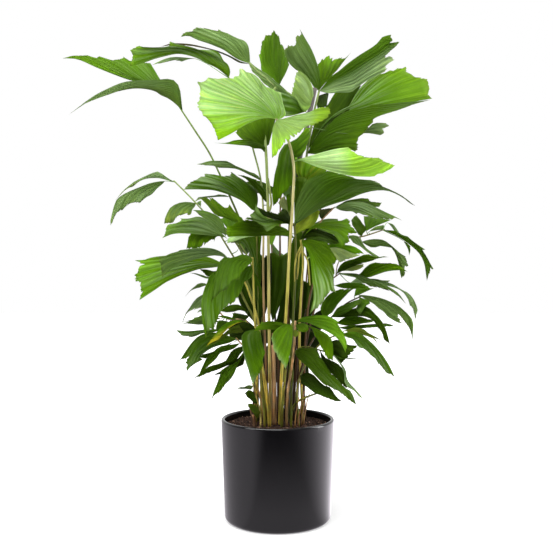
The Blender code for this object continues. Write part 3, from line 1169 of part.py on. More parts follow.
def nearest(lines, spot):
    """The point of the stalks nearest to a drawn spot, short of a stalk's very end."""
    best = None
    for line in lines:
        fine = along(spine(line), 241, smooth=False)
        fine = fine[np.linalg.norm(fine - fine[-1], axis=1) > 0.3]
        far = np.hypot(fine[:, 0] - spot[0], fine[:, 1] - spot[1])
        k = int(far.argmin())
        if best is None or far[k] < best[0]:
            best = (far[k], fine[k])
    return best[1]


def fractions(line):
    """How far along a line each of its points is, from 0 to 1."""
    steps = np.linalg.norm(np.diff(line, axis=0), axis=1)
    return np.concatenate([[0.0], np.cumsum(steps)]) / max(steps.sum(), 1e-9)


def leaf_outline(leaf, depth, lift, frond):
    """Drawn outline of a leaflet with depths: out along the long edge, back along the short one."""
    base, tip, shoulder = leaf["base"], leaf["long"][-1], leaf["end"][-1]
    to_tip, to_shoulder = leaf["depths"]
    out = np.vstack([base, leaf["long"]])
    end = np.vstack([tip, leaf["end"]])
    home = np.vstack([shoulder, leaf["short"], base])
    u, across, back = fractions(out), fractions(end), 1 - fractions(home)
    sag = 0.06 * min(np.linalg.norm(tip - shoulder), np.linalg.norm(tip - base))
    raised = lift * (1 - (1 - u) ** 2)
    out = np.column_stack([out, depth + u * to_tip + raised])
    deep = depth + lift + to_tip + across * (to_shoulder - to_tip) - sag * np.sin(math.pi * across)
    end = np.column_stack([end, deep])
    raised = lift * (1 - (1 - back) ** 2)
    home = np.column_stack([home, depth + back * to_shoulder + raised])
    loop = np.vstack([out[:-1], end[:-1], home[:-1]])
    area = abs(np.dot(loop[:, 0], np.roll(loop[:, 1], -1)) - np.dot(loop[:, 1], np.roll(loop[:, 0], -1))) / 2
    slack = min(outline_slack_cm, 0.22 * area / np.linalg.norm(tip - base))
    for line in (out, end, home):
        line[:, 2] += swung(frond, line[:, 0]) - swung(frond, base[0])
    return np.vstack([thinned(line, slack)[:-1] for line in (out, end, home)])


def stalk_solids(frond, lines):
    """Closed bars of a frond's stalks."""
    thick, thin = frond["thick"]
    solids = []
    for i, line in enumerate(lines):
        path = place(spine(line))
        start = thick if i == 0 else thin * 0.9
        end = thin if i == 0 else thin * 0.6
        radii = np.linspace(start, end, len(path)) / 100
        solids.append(tube(path, radii, flat_foot=i == 0))
    return solids


def leaf_solids(leaf, lines, lift, frond, thick=blade_thick_cm):
    """Closed blade of one leaflet and the short stalk that bears it."""
    joint = nearest(lines, leaf["base"])
    near = np.hypot(*(joint[:2] - leaf["base"])) < 0.5
    apart = 0.04 * np.array([math.cos(2.4 * leaf["order"]), math.sin(2.4 * leaf["order"])])
    joint = joint + np.append(apart, 0.3 * (0.618 * leaf["order"] % 1 - 0.5))
    held = dict(leaf, base=joint[:2]) if near else leaf
    outline = leaf_outline(held, joint[2], lift, frond)
    blade = plate(outline, thick)
    heart = np.append((held["base"] + leaf["long"][0] + leaf["end"][-1]) / 3, 0)
    if len(leaf["short"]):
        heart[:2] = held["base"] * 0.5 + leaf["long"][0] * 0.25 + leaf["short"][-1] * 0.25
    reach = np.linalg.norm(heart[:2] - held["base"]) / np.linalg.norm(leaf["long"][-1] - held["base"])
    heart[2] = joint[2] + reach * np.mean(leaf["depths"]) + lift * (1 - (1 - reach) ** 2)
    heart[2] += swung(frond, heart[0]) - swung(frond, held["base"][0])
    inside = heart
    start = joint if near else np.array([*leaf["base"], joint[2]])
    stem = [joint, start, start * 0.4 + inside * 0.6]
    if near:
        stem = [joint, joint * 0.3 + inside * 0.7]
    radii = np.full(len(stem), petiolule_cm / 100)
    return [blade, tube(place(np.array(stem)), radii, 4)]


def tree_of(solid):
    points, faces = solid
    return BVHTree.FromPolygons(points.tolist(), faces), points.min(axis=0), points.max(axis=0)


def meets(solids, placed):
    """Whether any of the solids crosses one already placed."""
    for solid in solids:
        tree, low, high = tree_of(solid)
        for other, other_low, other_high in placed:
            if (low > other_high + 4e-4).any() or (high < other_low - 4e-4).any():
                continue
            if tree.overlap(other):
                return True
    return False


def offsets(step, most):
    """0, -step, +step, -2 step ... out to the largest."""
    out = [0.0]
    for k in range(1, int(most / step) + 1):
        out += [-k * step, k * step]
    return out


def tries():
    """Small moves of a foot across the soil, each with depth biases for the rest of its stalk."""
    feet = [(0.0, 0.0)]
    for ring in (0.45, 0.9, 1.4, 2.0, 2.8):
        feet += [(ring * math.cos(k * math.pi / 4), ring * math.sin(k * math.pi / 4)) for k in range(8)]
    return [(foot, bias) for foot in feet for bias in offsets(0.5, 4)]


def settle():
    """Depths at which no frond crosses another: first the stalks, then the leaflets one by one."""
    fat = 1 + 2 * clear_cm / 0.3
    stalks, leaves, placed = {}, {}, {}
    for name, frond in fronds.items():
        others = [tree for trees in placed.values() for tree in trees]
        wide = dict(frond, thick=tuple(t * fat for t in frond["thick"]))
        for move, bias in tries():
            lines = shifted(stalks_of(frond, move), bias)
            if not meets(stalk_solids(wide, lines), others):
                break
        else:
            print("no room for the stalk of", name)
        stalks[name] = lines
        placed[name] = [tree_of(solid) for solid in stalk_solids(wide, lines)]
    for name, frond in fronds.items():
        others = [tree for other, trees in placed.items() if other != name for tree in trees]
        leaves[name] = []
        for number, leaf in enumerate(leaflets_of(frond["leaves"])):
            for lift in offsets(0.6, 15):
                if not meets(leaf_solids(leaf, stalks[name], lift, frond, thick=0.3), others):
                    break
            else:
                print("no room for leaflet", number, "of", name)
            leaves[name].append((leaf, lift))
            placed[name] += [tree_of(solid) for solid in leaf_solids(leaf, stalks[name], lift, frond)]
    return stalks, leaves, [tree for trees in placed.values() for tree in trees]


def new_object(name, points, faces):
    mesh = bpy.data.meshes.new(name)
    mesh.from_pydata(np.asarray(points).tolist(), [], faces)
    mesh.validate()
    obj = bpy.data.objects.new(name, mesh)
    bpy.context.scene.collection.objects.link(obj)
    return obj


def face_out(mesh):
    shape = bmesh.new()
    shape.from_mesh(mesh)
    bmesh.ops.recalc_face_normals(shape, faces=shape.faces)
    if shape.calc_volume(signed=True) < 0:
        bmesh.ops.reverse_faces(shape, faces=shape.faces)
    shape.to_mesh(mesh)
    shape.free()


def keep_largest(mesh):
    """Drops the slivers that a folded blade leaves, so that one body is left."""
    shape = bmesh.new()
    shape.from_mesh(mesh)
    shape.verts.ensure_lookup_table()
    seen, shells = set(), []
    for start in shape.verts:
        if start.index in seen:
            continue
        shell, rest = [], [start]
        seen.add(start.index)
        while rest:
            vert = rest.pop()
            shell.append(vert)
            for edge in vert.link_edges:
                other = edge.other_vert(vert)
                if other.index not in seen:
                    seen.add(other.index)
                    rest.append(other)
        shells.append(shell)
    shells.sort(key=len)
    bmesh.ops.delete(shape, geom=[v for shell in shells[:-1] for v in shell], context="VERTS")
    shape.to_mesh(mesh)
    shape.free()


def joined(name, solids):
    """One closed body from solids that run into one another."""
    body = new_object(name, *solids[0])
    face_out(body.data)
    helpers = bpy.data.collections.new(name + "_pieces")
    bpy.context.scene.collection.children.link(helpers)
    for i, (points, faces) in enumerate(solids[1:]):
        piece = new_object(f"{name}_piece_{i}", points, faces)
        face_out(piece.data)
        bpy.context.scene.collection.objects.unlink(piece)
        helpers.objects.link(piece)
    union = body.modifiers.new("join", "BOOLEAN")
    union.operation = "UNION"
    union.operand_type = "COLLECTION"
    union.collection = helpers
    union.solver = "EXACT"
    bpy.context.view_layer.update()
    evaluated = body.evaluated_get(bpy.context.evaluated_depsgraph_get())
    whole = bpy.data.meshes.new_from_object(evaluated)
    whole.name = name
    body.modifiers.clear()
    body.data = whole
    keep_largest(whole)
    for piece in list(helpers.objects):
        bpy.data.objects.remove(piece, do_unlink=True)
    bpy.data.collections.remove(helpers)
    return body


def finish(obj, colour, roughness, smooth=True):
    material = bpy.data.materials.new(obj.name)
    material.use_nodes = True
    shader = material.node_tree.nodes["Principled BSDF"]
    shader.inputs["Base Color"].default_value = (*colour, 1.0)
    shader.inputs["Roughness"].default_value = roughness
    obj.data.materials.clear()
    obj.data.materials.append(material)
    obj.data.polygons.foreach_set("use_smooth", [smooth] * len(obj.data.polygons))


def build_pot():
    """Round pot: rounded foot, slight outward taper, rounded lip, flat floor inside."""
    lip = wall / 2
    inner = rim_radius - wall
    low_inner = foot_radius - wall
    turn = np.linspace(0, math.pi / 2, 4)
    foot = [
        (foot_radius - foot_round * (1 - math.sin(t)), foot_round * (1 - math.cos(t))) for t in turn
    ]
    over = np.linspace(0, math.pi, 6)
    rim = [
        (rim_radius - lip + lip * math.cos(t), pot_height - lip + lip * math.sin(t)) for t in over
    ]
    profile = [(0, 0), *foot, *rim, (low_inner, floor_thick + 0.01), (low_inner - 0.01, floor_thick), (0, floor_thick)]
    pot = new_object("pot", *lathe(profile, 48))
    face_out(pot.data)
    finish(pot, (0.035, 0.034, 0.037), 0.38)
    return inner, low_inner


def inner_radius(z):
    """Radius of the pot's inner wall at a height."""
    low, high = floor_thick + 0.01, pot_height - wall / 2
    return foot_radius - wall + (rim_radius - foot_radius) * (z - low) / (high - low)


def build_soil():
    """Potting mix filling the pot up to the soil level."""
    low, high = floor_thick + 0.01, soil_level
    profile = [
        (0, floor_thick + gap),
        (inner_radius(low) - 0.0105, floor_thick + gap),
        (inner_radius(low) - gap * 2, low + gap),
        (inner_radius(high) - gap * 1.5, high),
        (0, high),
    ]
    soil = new_object("soil", *lathe(profile, 48))
    face_out(soil.data)
    finish(soil, (0.045, 0.025, 0.015), 0.95, smooth=False)


def build_fronds():
    stalks, leaves, placed = settle()
    for name, frond in fronds.items():
        solids = stalk_solids(frond, stalks[name])
        for leaf, lift in leaves[name]:
            solids += leaf_solids(leaf, stalks[name], lift, frond)
        body = joined(name, solids)
        finish(body, frond["colour"], 0.45, smooth=False)
    return placed


def stub_solid(stub, move):
    x, y = stub["root"]
    x, y = x + move[0], y + move[1]
    foot = drawn_from(x, y, (soil_level + gap) * 100)
    low = drawn_from(x, y, soil_level * 100 + 1.0)
    rest = numbers(stub["line"])
    rest[:, 0] += move[0]
    rest[:, 2] += move[1]
    path = place(along(np.vstack([foot, low, rest]), 5))
    return tube(path, np.linspace(*stub["thick"], len(path)) / 100, flat_foot=True)


def build_stubs(placed):
    """Cut-off and dead stalks that stand in the clump, each where it clears the rest."""
    for name, stub in stubs.items():
        for move in sorted({foot for foot, _ in tries()}, key=lambda foot: math.hypot(*foot)):
            solid = stub_solid(dict(stub, thick=[t + clear_cm for t in stub["thick"]]), move)
            if not meets([solid], placed):
                break
        else:
            print("no room for", name)
        solid = stub_solid(stub, move)
        placed.append(tree_of(solid))
        body = new_object(name, *solid)
        face_out(body.data)
        finish(body, stub["colour"], 0.8)


for old in list(bpy.data.objects):
    bpy.data.objects.remove(old, do_unlink=True)
build_pot()
build_soil()
build_stubs(build_fronds())
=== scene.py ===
import math

import bpy
import numpy as np
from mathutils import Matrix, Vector
from mathutils.bvhtree import BVHTree
from mathutils.geometry import tessellate_polygon


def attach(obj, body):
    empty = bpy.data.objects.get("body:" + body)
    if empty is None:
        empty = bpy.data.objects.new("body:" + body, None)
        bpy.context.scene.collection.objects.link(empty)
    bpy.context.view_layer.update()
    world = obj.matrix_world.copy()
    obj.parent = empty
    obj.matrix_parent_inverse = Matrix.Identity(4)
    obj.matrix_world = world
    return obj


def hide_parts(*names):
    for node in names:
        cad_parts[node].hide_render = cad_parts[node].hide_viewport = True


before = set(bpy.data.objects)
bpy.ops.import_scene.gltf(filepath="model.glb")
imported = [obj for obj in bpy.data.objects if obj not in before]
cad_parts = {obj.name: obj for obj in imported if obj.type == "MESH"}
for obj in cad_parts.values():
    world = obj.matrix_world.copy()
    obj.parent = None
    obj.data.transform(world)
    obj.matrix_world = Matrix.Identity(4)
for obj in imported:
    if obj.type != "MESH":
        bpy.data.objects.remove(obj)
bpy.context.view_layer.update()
rng = np.random.default_rng(11)
print("frame loaded")

# Lines are drawn in centimetres on the upright plane through the pot's axis, as seen from a station in
# front of it; a third number is a depth along the line of sight (+ away). Stalk lines are split by ; and
# the first runs up from the soil. Leaflet fields: where it is borne; long edge to the tip; ragged end from
# the tip to the shoulder; short edge; depth of tip and shoulder against the base.
# One entry per frond: place at the soil, radius at foot and end, swing in depth, stalk lines, leaflets.
fronds = {
    "frond_front_bright": {
        "root": (1.0, -3.8), "thick": (0.34, 0.26), "swing": -0.5,
        "stalks": "1.7,34,-6 2.6,42,-8 3.5,48.5,-9",
        "leaves": """
3.4,48.1; 1,47.2 0,46.7 -2,46.9 -4,46.8 -6,46.5; -5.3,47.6 -4.6,48.1 -4.2,48.8 -3.4,48.7 -2.5,49; -1,48.9 1,48.6; -5
-4

3.4,48.3; 3.7,47 3.6,45 3.4,43 3.1,41.4 2.8,39.6 2.4,38.2 1.9,37.1; 1.3,38 0.7,38.8 0,39.7 -0.6,41.1 -1.2,42
-1.3,43.4 -1.6,44.6; -1,46.3 0.2,47.4 1.6,48.2; -5 -6
""",
    },
    "frond_front_right": {
        "root": (2.2, -3.0), "thick": (0.3, 0.26), "swing": -0.35,
        "stalks": "2.4,30.5,-3.4 3.2,36,-4.6 3.9,40.6,-6 4.2,45,-7.4 4.4,49,-8.4",
        "leaves": """
4.4,48.7; 6,48.7 7.4,48.6 9,47.9 11,47 12.8,46.1 14.3,45.1 15.2,44.2 16,43 16.9,41; 17.3,42.8 17.1,44.4 16.5,46
15.5,47.4 15,48.2 15.2,48.8 14.2,49.4; 12.6,50.2 10.4,50.5 8,50.3 6,49.9; -8 -5

7.4,48; 10.4,46.8 12.6,45.5 13.4,44.4 13.8,41.8 13.7,39.1; 12.8,39.4 12.1,39.7 11.4,40.6 10.9,42 10.3,43.6 9.8,44.5
9.2,45.2; 8.6,46.8; -2 -1

4.2,47.9; 5.6,48.5 7.3,48.2 7.7,47; 7.1,46.2 5.5,46.3; 4.9,46.9; -2 -2

4.1,47.3; 5.1,46.4 5.2,45.5 4.5,45; 3.9,45.2; 3.8,46.4; -1 -1
""",
    },
    "frond_front_left": {
        "root": (-2.0, -3.6), "thick": (0.44, 0.28), "swing": -0.5,
        "stalks": "-2.7,30,-4.4 -3.4,35,-5 -4.6,42,-6 -5.4,47.4,-6.6",
        "leaves": """
-5.4,47.2; -7,46.7 -8.8,45.9 -9,44 -8.8,42 -8.4,40.4 -7.9,38.6 -7.2,36.6 -6.7,34.6 -5.9,32.9; -5.5,34.3 -5.1,35.1
-4.3,35.8 -3.8,37 -3.5,38.2 -3.7,39.4 -3.3,40.4 -3.1,41.2; -3.5,42.4 -4,44.4 -4.4,46.4; -5 -4

-5.6,47; -6.6,47.8 -8,48.8 -9.6,48; -9,47 -8.4,46.1; -7,46.4; 1.5 1.5
""",
    },
    "frond_lime": {
        "root": (0.5, -1.6), "thick": (0.42, 0.3), "swing": -0.5,
        "stalks": """
1,36,-3.4 1.9,48.8,-3.6 2.3,54.2,-3.8 2.8,64.2,-4 3.3,71.6,-4 3.6,76.6,-4.2 3.9,83,-4.4 3.9,88.2,-4.6 3.4,91,-4.6
2.7,93.6,-4.4 1.2,96.6,-4 -0.4,99.3,-3.6
""",
        "leaves": """
-0.4,99.2; -2,99.5 -4.4,99.2 -6.9,98.3 -9.4,96.9 -11.9,95.4 -14.9,93.9; -15.7,96.3 -16.6,98.1 -17.4,98.9 -17.7,99.5
-18.6,100 -18.9,101 -19.7,101.5 -20.3,102.4 -19.9,102.8 -20.3,103.2 -19.7,103.6 -19.6,105 -19.3,107 -20.4,108.6
-18.3,108.5 -17.6,109.6 -15.3,109.3 -13,109.5 -11.2,109.4 -10.7,110 -9.7,109.9 -9.5,112.2 -7.6,110.9 -6.6,110.8
-5,109.7 -3,107.3 -1.6,106.9 0,106 0.8,105.8; 1.3,103.2 1.9,100.2 1,99.4; -5 -2

-0.7,99.2; -1.1,97.6 -1.4,95.4 -1.5,92.5 -1.4,89.5; -0.3,90.3 0.1,91.2 1,92.2 2.5,93.5 4,94.4 5.5,95.7 6.2,96.6
8,97.7 9,97.5 9.4,98 10.4,98.2 11.4,98.9 12.6,99.7 13.2,100.6 13.2,101.6 12.6,102.1; 10.6,102.1 9.3,101.7 8.4,101.1
6.8,100.7 4.3,100.2 1.8,99.4; -5 -7

4,88.8; 5.8,88.9 7.5,88.2 9.6,87.4 12,86.6 15,85.7 18,85.1 21,84.9 24.6,85.2 25,85.7 26,85.7 27.4,86.5 28.2,86.9
29.1,87.7; 28.2,88.2 27,88.5 26.1,89 25.4,89.6 21.8,89.8 21.5,90.1 19.9,90.3 18.2,91.8 17.6,92.2; 15,91.9 11.5,91.1
8.5,90.2 5.5,89.3; -6 -4
""",
    },
    "frond_top": {
        "root": (-1.8, -0.4), "thick": (0.4, 0.34), "swing": 0.3,
        "stalks": """
-2.1,43,-0.4 -2.2,54.2,-0.4 -2.3,69.1,0 -2.4,76.6,0 -2.7,86.5,0.4 -2.9,91.5,0.6 -3,98.7,1.4 -2,103,2 -0.5,107.4,2.6;
-0.5,107.4,2.6 -3,109.5,2.9 -5,111,3.1 -7,113.2,3.2; -0.5,107.4,2.6 2,106,2.6 4.4,104.4,2.4 6.2,101.6,2.2;
-2.4,75.6,0 -1.7,77,-0.1 -1.8,80.5,0 -2.4,84.5,0.3
""",
        "leaves": """
6.3,101.7; 6,103.3 4.6,104.9 3,105.6 1,107.4 -1,109 -2.4,110.3 -4.2,111.4 -5.5,112.2 -7.4,113.9; -7,112.2 -6.4,111
-5,109.8 -3.6,108.1 -2.4,107.2 0,106 2.4,104.8; 4.4,104 5.8,102.5; 1.5 0.6

-6.8,113.2; -8.3,113.4 -10,114.1 -12,115.4 -13.4,116.4 -15,117.1 -17,117.9 -20,118.9 -22.3,119.9 -24.1,119.6;
-23.6,120.5 -22.7,120.9 -21.4,121 -20.9,121.7 -20.2,122.1 -18,121.8 -15,121.1 -14.8,121.7 -14.2,121.1 -12.6,120.6;
-10,119.3 -8.2,118.6 -7.4,117.6 -7,115.6; 4 2

-7.1,112.7; -9.5,113.6 -12,115 -15,116.2 -18,116.9 -22,117.6 -26,118.1 -29.3,117.1; -26,117.7 -21,117.3 -16,116.3;
-12,114.6 -9.5,113.2; 4 2

0.5,107.6; -1.6,109.6 -4,111.2 -4.2,113 -4.7,115.2; -4.2,116.3 -4.1,118 -3.9,118.8 -3.3,119.2 -3.1,120.1 -1.9,120.3
-0.9,121.4 -0.4,120.6 0.3,120.1 0.7,118.2 1.5,117.3 2,115.4 2.9,112.8; 1.9,110.4 0.9,108.6; 3 4

-2.7,92.2; -5,93 -8.9,94.2 -10.5,95.9; -8.6,98.8 -5.5,100.4 -2.5,100.6 -0.4,99.6; -1.1,97 -1.9,94 -2.2,92.8; 2 2

-2.6,92; -5,93.6 -9.3,94.1 -11,93.9 -12.8,93.3 -15.9,93.3; -12.5,93 -9.5,92.7 -7.2,92.5 -6,91.9; -4,91.7 -3.3,91; -2
-1
""",
    },
    "frond_centre": {
        "root": (2.4, 1.6), "thick": (0.38, 0.26), "swing": 0.12,
        "stalks": "3.3,40,0.4 4.1,55,0 4.5,66,-0.6 4.4,69.5,-1 4.1,73.4,-1",
        "leaves": """
4.3,69.5; 2,70.1 0,70.2 -3,70.2 -6,70 -9,70.1 -12.4,69.9; -13,70.8 -13,71.6 -12.6,72.7 -11.4,72.8 -10.5,73.4 -9.7,74
-8.8,73.9 -8.2,74.3 -7,74; -5.6,73.9 -4,73.4 -1,72.9 2,72; -6 -5

3.6,73; 2.4,73.4 1,74 -1,74.2 -3,74.8 -4.4,76.2 -5.5,78.1; -5.8,76.4 -6.9,75.5 -8.2,74.4 -6.6,74.1 -5.2,73.7
-4.9,73.2 -4,72.8 -3.4,72 -2.7,71.1; -1.2,72.1 0.2,72.9 1.5,73.2; -7 -7

3.8,72.5; 3,75 2.2,76.6 1.2,77; 0,75.8 -0.9,75.8 -1.7,76.3 -3.4,76.7 -5.1,77.4; -4.6,75.8 -2,74.6 1,73.7; -4.6 -4

-7,70; -9.6,70.1 -12.1,69.9 -12.6,68.3; -11.2,68.6 -9.4,69.3; -8.2,69.7; 0 0

4.1,73.1; 6,74 8,75.4 11,77 14,78.1 17.3,79.1 20,80.3 23,81.2 26,81.5 28,81.2 30,80.3 31.5,79.4 33,78.2 34.2,77.6;
31.4,79.9 29.6,80.9 28,81.7 26.3,82.3 25.3,83.4 24.6,83.8 22.9,84.1 20,84.2 18.4,84.9 14,86.1 12.4,86.4; 9.6,85
7.4,84 5.6,81 4.4,77; 3 1

4.3,70.4; 5.6,71.1 8,72 9.3,73.2 10.4,76.4 9.9,77.3; 8,76.2 6.4,75; 4.6,73.2; 2 1.5
""",
    },
    "frond_big_hanging": {
        "root": (6.2, 0.8), "thick": (0.34, 0.26), "swing": -0.3,
        "stalks": """
5.4,44,-0.6 5.5,50,-1 5.9,57,-1.6 6.2,62,-2 6.3,66,-2.4 5.7,69.2,-2.4; 6,67.6,-2.3 5,66,-2.2 4.3,63,-1.8
4.2,58.8,-1.4; 6.1,67,-2.3 5.4,65.6,-2.4 5.1,62,-2.2 4.8,59.4,-2; 6.3,66.4,-2.4 7.3,64.4,-2 7.8,61,-1.8 8,57.9,-1.6
""",
        "leaves": """
6,68.9; 6.4,67.7 7.4,66.6 8,64.8 8.3,62.5 8.6,59 8.9,56.4 8.8,54 8.3,52.2 7.9,50.7; 9.2,52 9.8,51.9 10.3,52.7 11,53
11.5,54.3 12.2,55.2 13,56.3 14.6,56 14,57.2 13.9,60 14.3,61 13.8,62.7 14.8,64.3 13.9,65.8 13,67; 12.6,68.2 10.5,68.9
8,69.3; -5 -3

5.6,69.4; 7,71.9 9,72.1 11,71.4 14.2,70.2 16.2,68.4; 14.4,68.3 13.4,69.3 10.6,69.4 8.2,69.5; 6.4,69.4; 2 1

5.8,69.2; 8.6,70 12,69.9 15.8,68.4; 14,67.9 11.6,68.3 9.2,68.9; 7,69.1; 1.6 0.6

6.4,70; 8.4,71.9 10,72.1 12.3,71.1 14.4,70.1 15,69 16.1,66.9; 16.7,67.9 17.9,68.7 17.6,69.9 18,70.7 19.9,70.8
19.1,72 17.9,73.2 18.2,73.9 17.2,74.6 17,74; 14,73.9 11,73.5 8.6,72.6; -1.5 -0.5

11.9,67.6; 13.8,68.6 16.6,68 18.6,67.7 20.2,66.9 21.5,65.7; 19.8,65.6 18,65.8 16.6,66.5; 14.4,66.6; 3 2

12.3,67; 14,67.4 16,67 18.2,66 20.6,65.4; 19,64.8 17.4,64.2 15.6,63.6; 14.6,64.4 13.8,65.6; 1 0
""",
    },
    "frond_low_fan_left": {
        "root": (-3.0, -1.6), "thick": (0.34, 0.24), "swing": -0.35,
        "stalks": "-3.9,36,-2 -4.8,45,-3 -5.4,48,-3.2 -7,51.8,-3.4 -9.2,56.2,-3.6 -10.8,60.4,-3.4 -12.3,64.8,-3.2",
        "leaves": """
-12.2,64.9; -14,65.1 -16,65.3 -18.5,64.8 -21,64.2 -23,63.4 -25,62.5 -26.7,61.9 -28.8,59.8; -29,61.5 -29.3,63
-29.9,64.3 -29.7,64.9 -28,65.2 -26.8,65.8 -25,66.2 -24.8,66.6 -23,66.8; -20,67.2 -17.2,67.2 -15.4,66.8 -13.6,65.9;
-3 -2
""",
    },
    "frond_hanging_left": {
        "root": (-5.6, 0.2), "thick": (0.32, 0.24), "swing": -0.5,
        "stalks": "-5.2,36,-3.6 -5.6,48,-5.6 -6,56,-6 -6.3,64.8,-6",
        "leaves": """
-6.4,64.6; -7.6,65.4 -9,65.6 -10.2,65.1 -12,64.7 -13.4,64.9 -14.5,63.8 -15,62.4 -15.5,60.5 -16.1,57.5 -16.6,53.6;
-16,54.5 -15.3,55 -14.3,56.2 -13.4,56.3 -12.4,57 -11.9,58 -10.8,59.3 -9.6,59.2 -8.9,60.9 -8.3,61.7 -7.4,62.8;
-6.7,63.4 -6.3,64; -6 -3

-6.2,62.8; -9,62.4 -13,61.8 -15.4,61.3 -17,60.3 -17.4,59 -18.3,57 -18.8,55 -19.1,53 -18.9,50 -18.5,47.5 -18,44.5;
-17.2,46.4 -16.7,47.1 -15.8,46.5 -15.3,48.4 -14.9,49.6 -14.2,51.2 -13,52.3 -10.8,53.6 -9.9,54.8 -8.9,56.6 -8.4,58.7
-7.4,59.3; -6.8,59.7 -6.2,61.2; -4 -1
""",
    },
    "frond_wide_fan_left": {
        "root": (-4.2, 0.9), "thick": (0.3, 0.2), "swing": -0.08,
        "stalks": """
-4.2,40,-0.8 -4.7,48.2,-1.4 -5.9,52.5,-1.6 -7,55.6,-1.8 -8.3,58.9,-1.8 -10.4,61.4,-1.6 -13.1,63,-1.4
""",
        "leaves": """
-13,62.8; -16,62.3 -19.5,61.9 -22,61.1 -24,60.4 -26,59.5 -28,58.5 -30,57.1 -33,55.1 -34.4,54.2; -34.1,56 -34.3,58.6
-35.8,58.9 -35.4,59.8 -35.7,60.5 -34.9,61 -34.7,62.4 -34.3,63.6 -35.6,64.1 -33.2,64.2 -32,64.7 -30.5,65; -27,65.3
-22,65 -17.6,65 -15,64; 0 3

-14.8,61.6; -15.9,61.4 -17.5,61.8 -19.4,61.9; -18.4,60.8 -17.4,60; -16,60.4; 1 1

-15.6,60; -17.4,59.5 -19,60 -20.4,60.6 -21.9,61; -20.3,60.9 -18.8,60.5; -17.4,60; 1 1
""",
    },
    "frond_left_yellow": {
        "root": (-3.2, -4.2), "thick": (0.26, 0.18), "swing": -0.45,
        "stalks": "-4.4,36,-3.4 -5.8,44,-3.8 -6.9,47.5,-4 -8.2,49.2,-4",
        "leaves": """
-8.1,49.1; -10,48.5 -11.6,47.6 -12.9,46.6 -14,45.3 -15,44.2 -16.4,43.7 -17.8,42.6; -17.2,43.8 -16,45.3 -15,46.6
-14,47.7 -12.8,48.6; -11.4,49.1 -10,49.3; -3 -2

-7.5,48.2; -8.2,46.6 -9.6,46 -11.4,46 -13,45.2 -14.8,43.9 -16.4,42.9; -15.4,44.2 -14,45.4 -12.2,47; -9.6,48.2; -1.5
-1
""",
    },
    "frond_low_left": {
        "root": (-5.2, -2.6), "thick": (0.28, 0.18), "swing": -0.6,
        "stalks": "-5.4,34,-1.8 -7,40,-2 -9,43.6,-2 -10.4,44.8,-2",
        "leaves": """
-10,44.6; -13,45.6 -16,46.2 -18.6,45.8 -20.2,44.9 -21.6,43.4 -23.2,41.1 -24,39.8 -24.9,38.5; -24.2,39.4 -23,39.5
-22.6,39.9 -23,38.6 -22.8,37.6 -22.6,36.4 -22,37.3 -20.5,38.5; -18.6,39.6 -19.4,40 -18.2,41.1 -16.6,42.2 -14,43.1
-12,43.6; -2 -1

-9.4,43.4; -12,43.1 -14,42.8 -15.4,42 -16.4,41 -17.6,40 -18.3,38.6 -19,37.1 -19.8,35; -19,35.6 -18,36.9 -17.2,37.9
-16.2,38.7 -15.2,39.7; -14.3,41 -12.4,41.6 -10.8,42.2; 1 1

-8.6,42.9; -10.6,42.2 -11.8,41.2 -12.3,40.2 -12.9,39.2 -14.4,38.5 -17.3,37.6 -19,36.3 -20.9,34.7; -19,35.2
-17.8,35.8 -16.4,36.3 -14.4,37.1; -12.6,37.9 -10.8,38.6 -9.4,40.7 -8.4,42; 2 1.5

-8.2,41.8; -8.2,40 -8.4,38.3 -10,37.5 -13,36.1 -16,35.5; -14.4,36.6 -12,38.2; -10,39.6; 3.5 3

-8.4,42.2; -9.6,39.2 -12,37.9 -13.9,36.7 -14.5,35.2 -15.2,33.2 -15.9,31.6 -16.3,30 -16.8,28.8; -15.9,30.4 -15,30.9
-14.2,31.3 -13.5,32.4 -13.2,33.1 -12.3,33.9; -11.4,35 -10.7,36.2 -10.2,37.5 -8.8,40; -1 0

-10.8,43.8; -13.4,42.8 -15.6,41.6 -17.4,41 -18.6,40.8 -19.6,39.9; -18,39.6 -16.8,40.4; -14,42; 1.5 1
""",
    },
    "frond_low_right": {
        "root": (3.3, -4.0), "thick": (0.28, 0.16), "swing": -0.65,
        "stalks": "3.4,32,-4 3.9,38,-5 4.2,42,-5.6 9.4,42,-6 13.6,40.8,-6",
        "leaves": """
4.5,41.8; 5.6,42.3 8,42.2 9.8,42.3 10.1,41 10.6,40 11.4,38.9 12.4,37.4 13.2,36 14.2,35.2 15,34.4 16.6,32.5 17.8,31.9
18.5,31 19.5,28.2; 18.5,28.7 17.8,29.2 17,30 16,30.6 15.2,31.5 14,31.9 13.2,32.5 12.2,32.8 11.3,33.4; 9.8,34.9
8.6,36.2 7.6,37.4 5.8,39 4.4,40.8; -3 -3

10.4,41.4; 12,39.8 13.6,39.1 15.2,38.2 16.2,37 16.9,35.4 17.5,33; 17,32.2 16,33 14.4,34.8 12.8,36.4; 11.2,38.4; 0
0.5

13.6,40.7; 15,39.4 16,38.2 16.7,37.2 17.1,36 17.1,34.8 18,33.4 19,32.4 20.2,31 21.4,29.5; 20.2,30.2 19.4,31.2
18.4,32 17.4,32.4; 16.6,33.8 16.5,36 15.4,38.4; -1 -1

11.8,42.4; 13.4,44 15,44.4 17.2,43.2 20,42.9; 18.8,41.4 17.4,39.9 15.8,38.4; 13.9,40.5; 2.5 2

15.9,39.7; 17.4,39.9 19.4,39.7 21.6,39.2; 19.2,39.6; 17.6,39.6; 1 1
""",
    },
    "frond_bottom_right": {
        "root": (3.2, -0.9), "thick": (0.3, 0.22), "swing": -0.6,
        "stalks": "4.4,28.6,-2.6 6.2,29.7,-3.4 9.6,31,-4.6; 4.4,28.6,-2.6 4.6,31,-3 5.4,35,-3.6 6.6,37.8,-4",
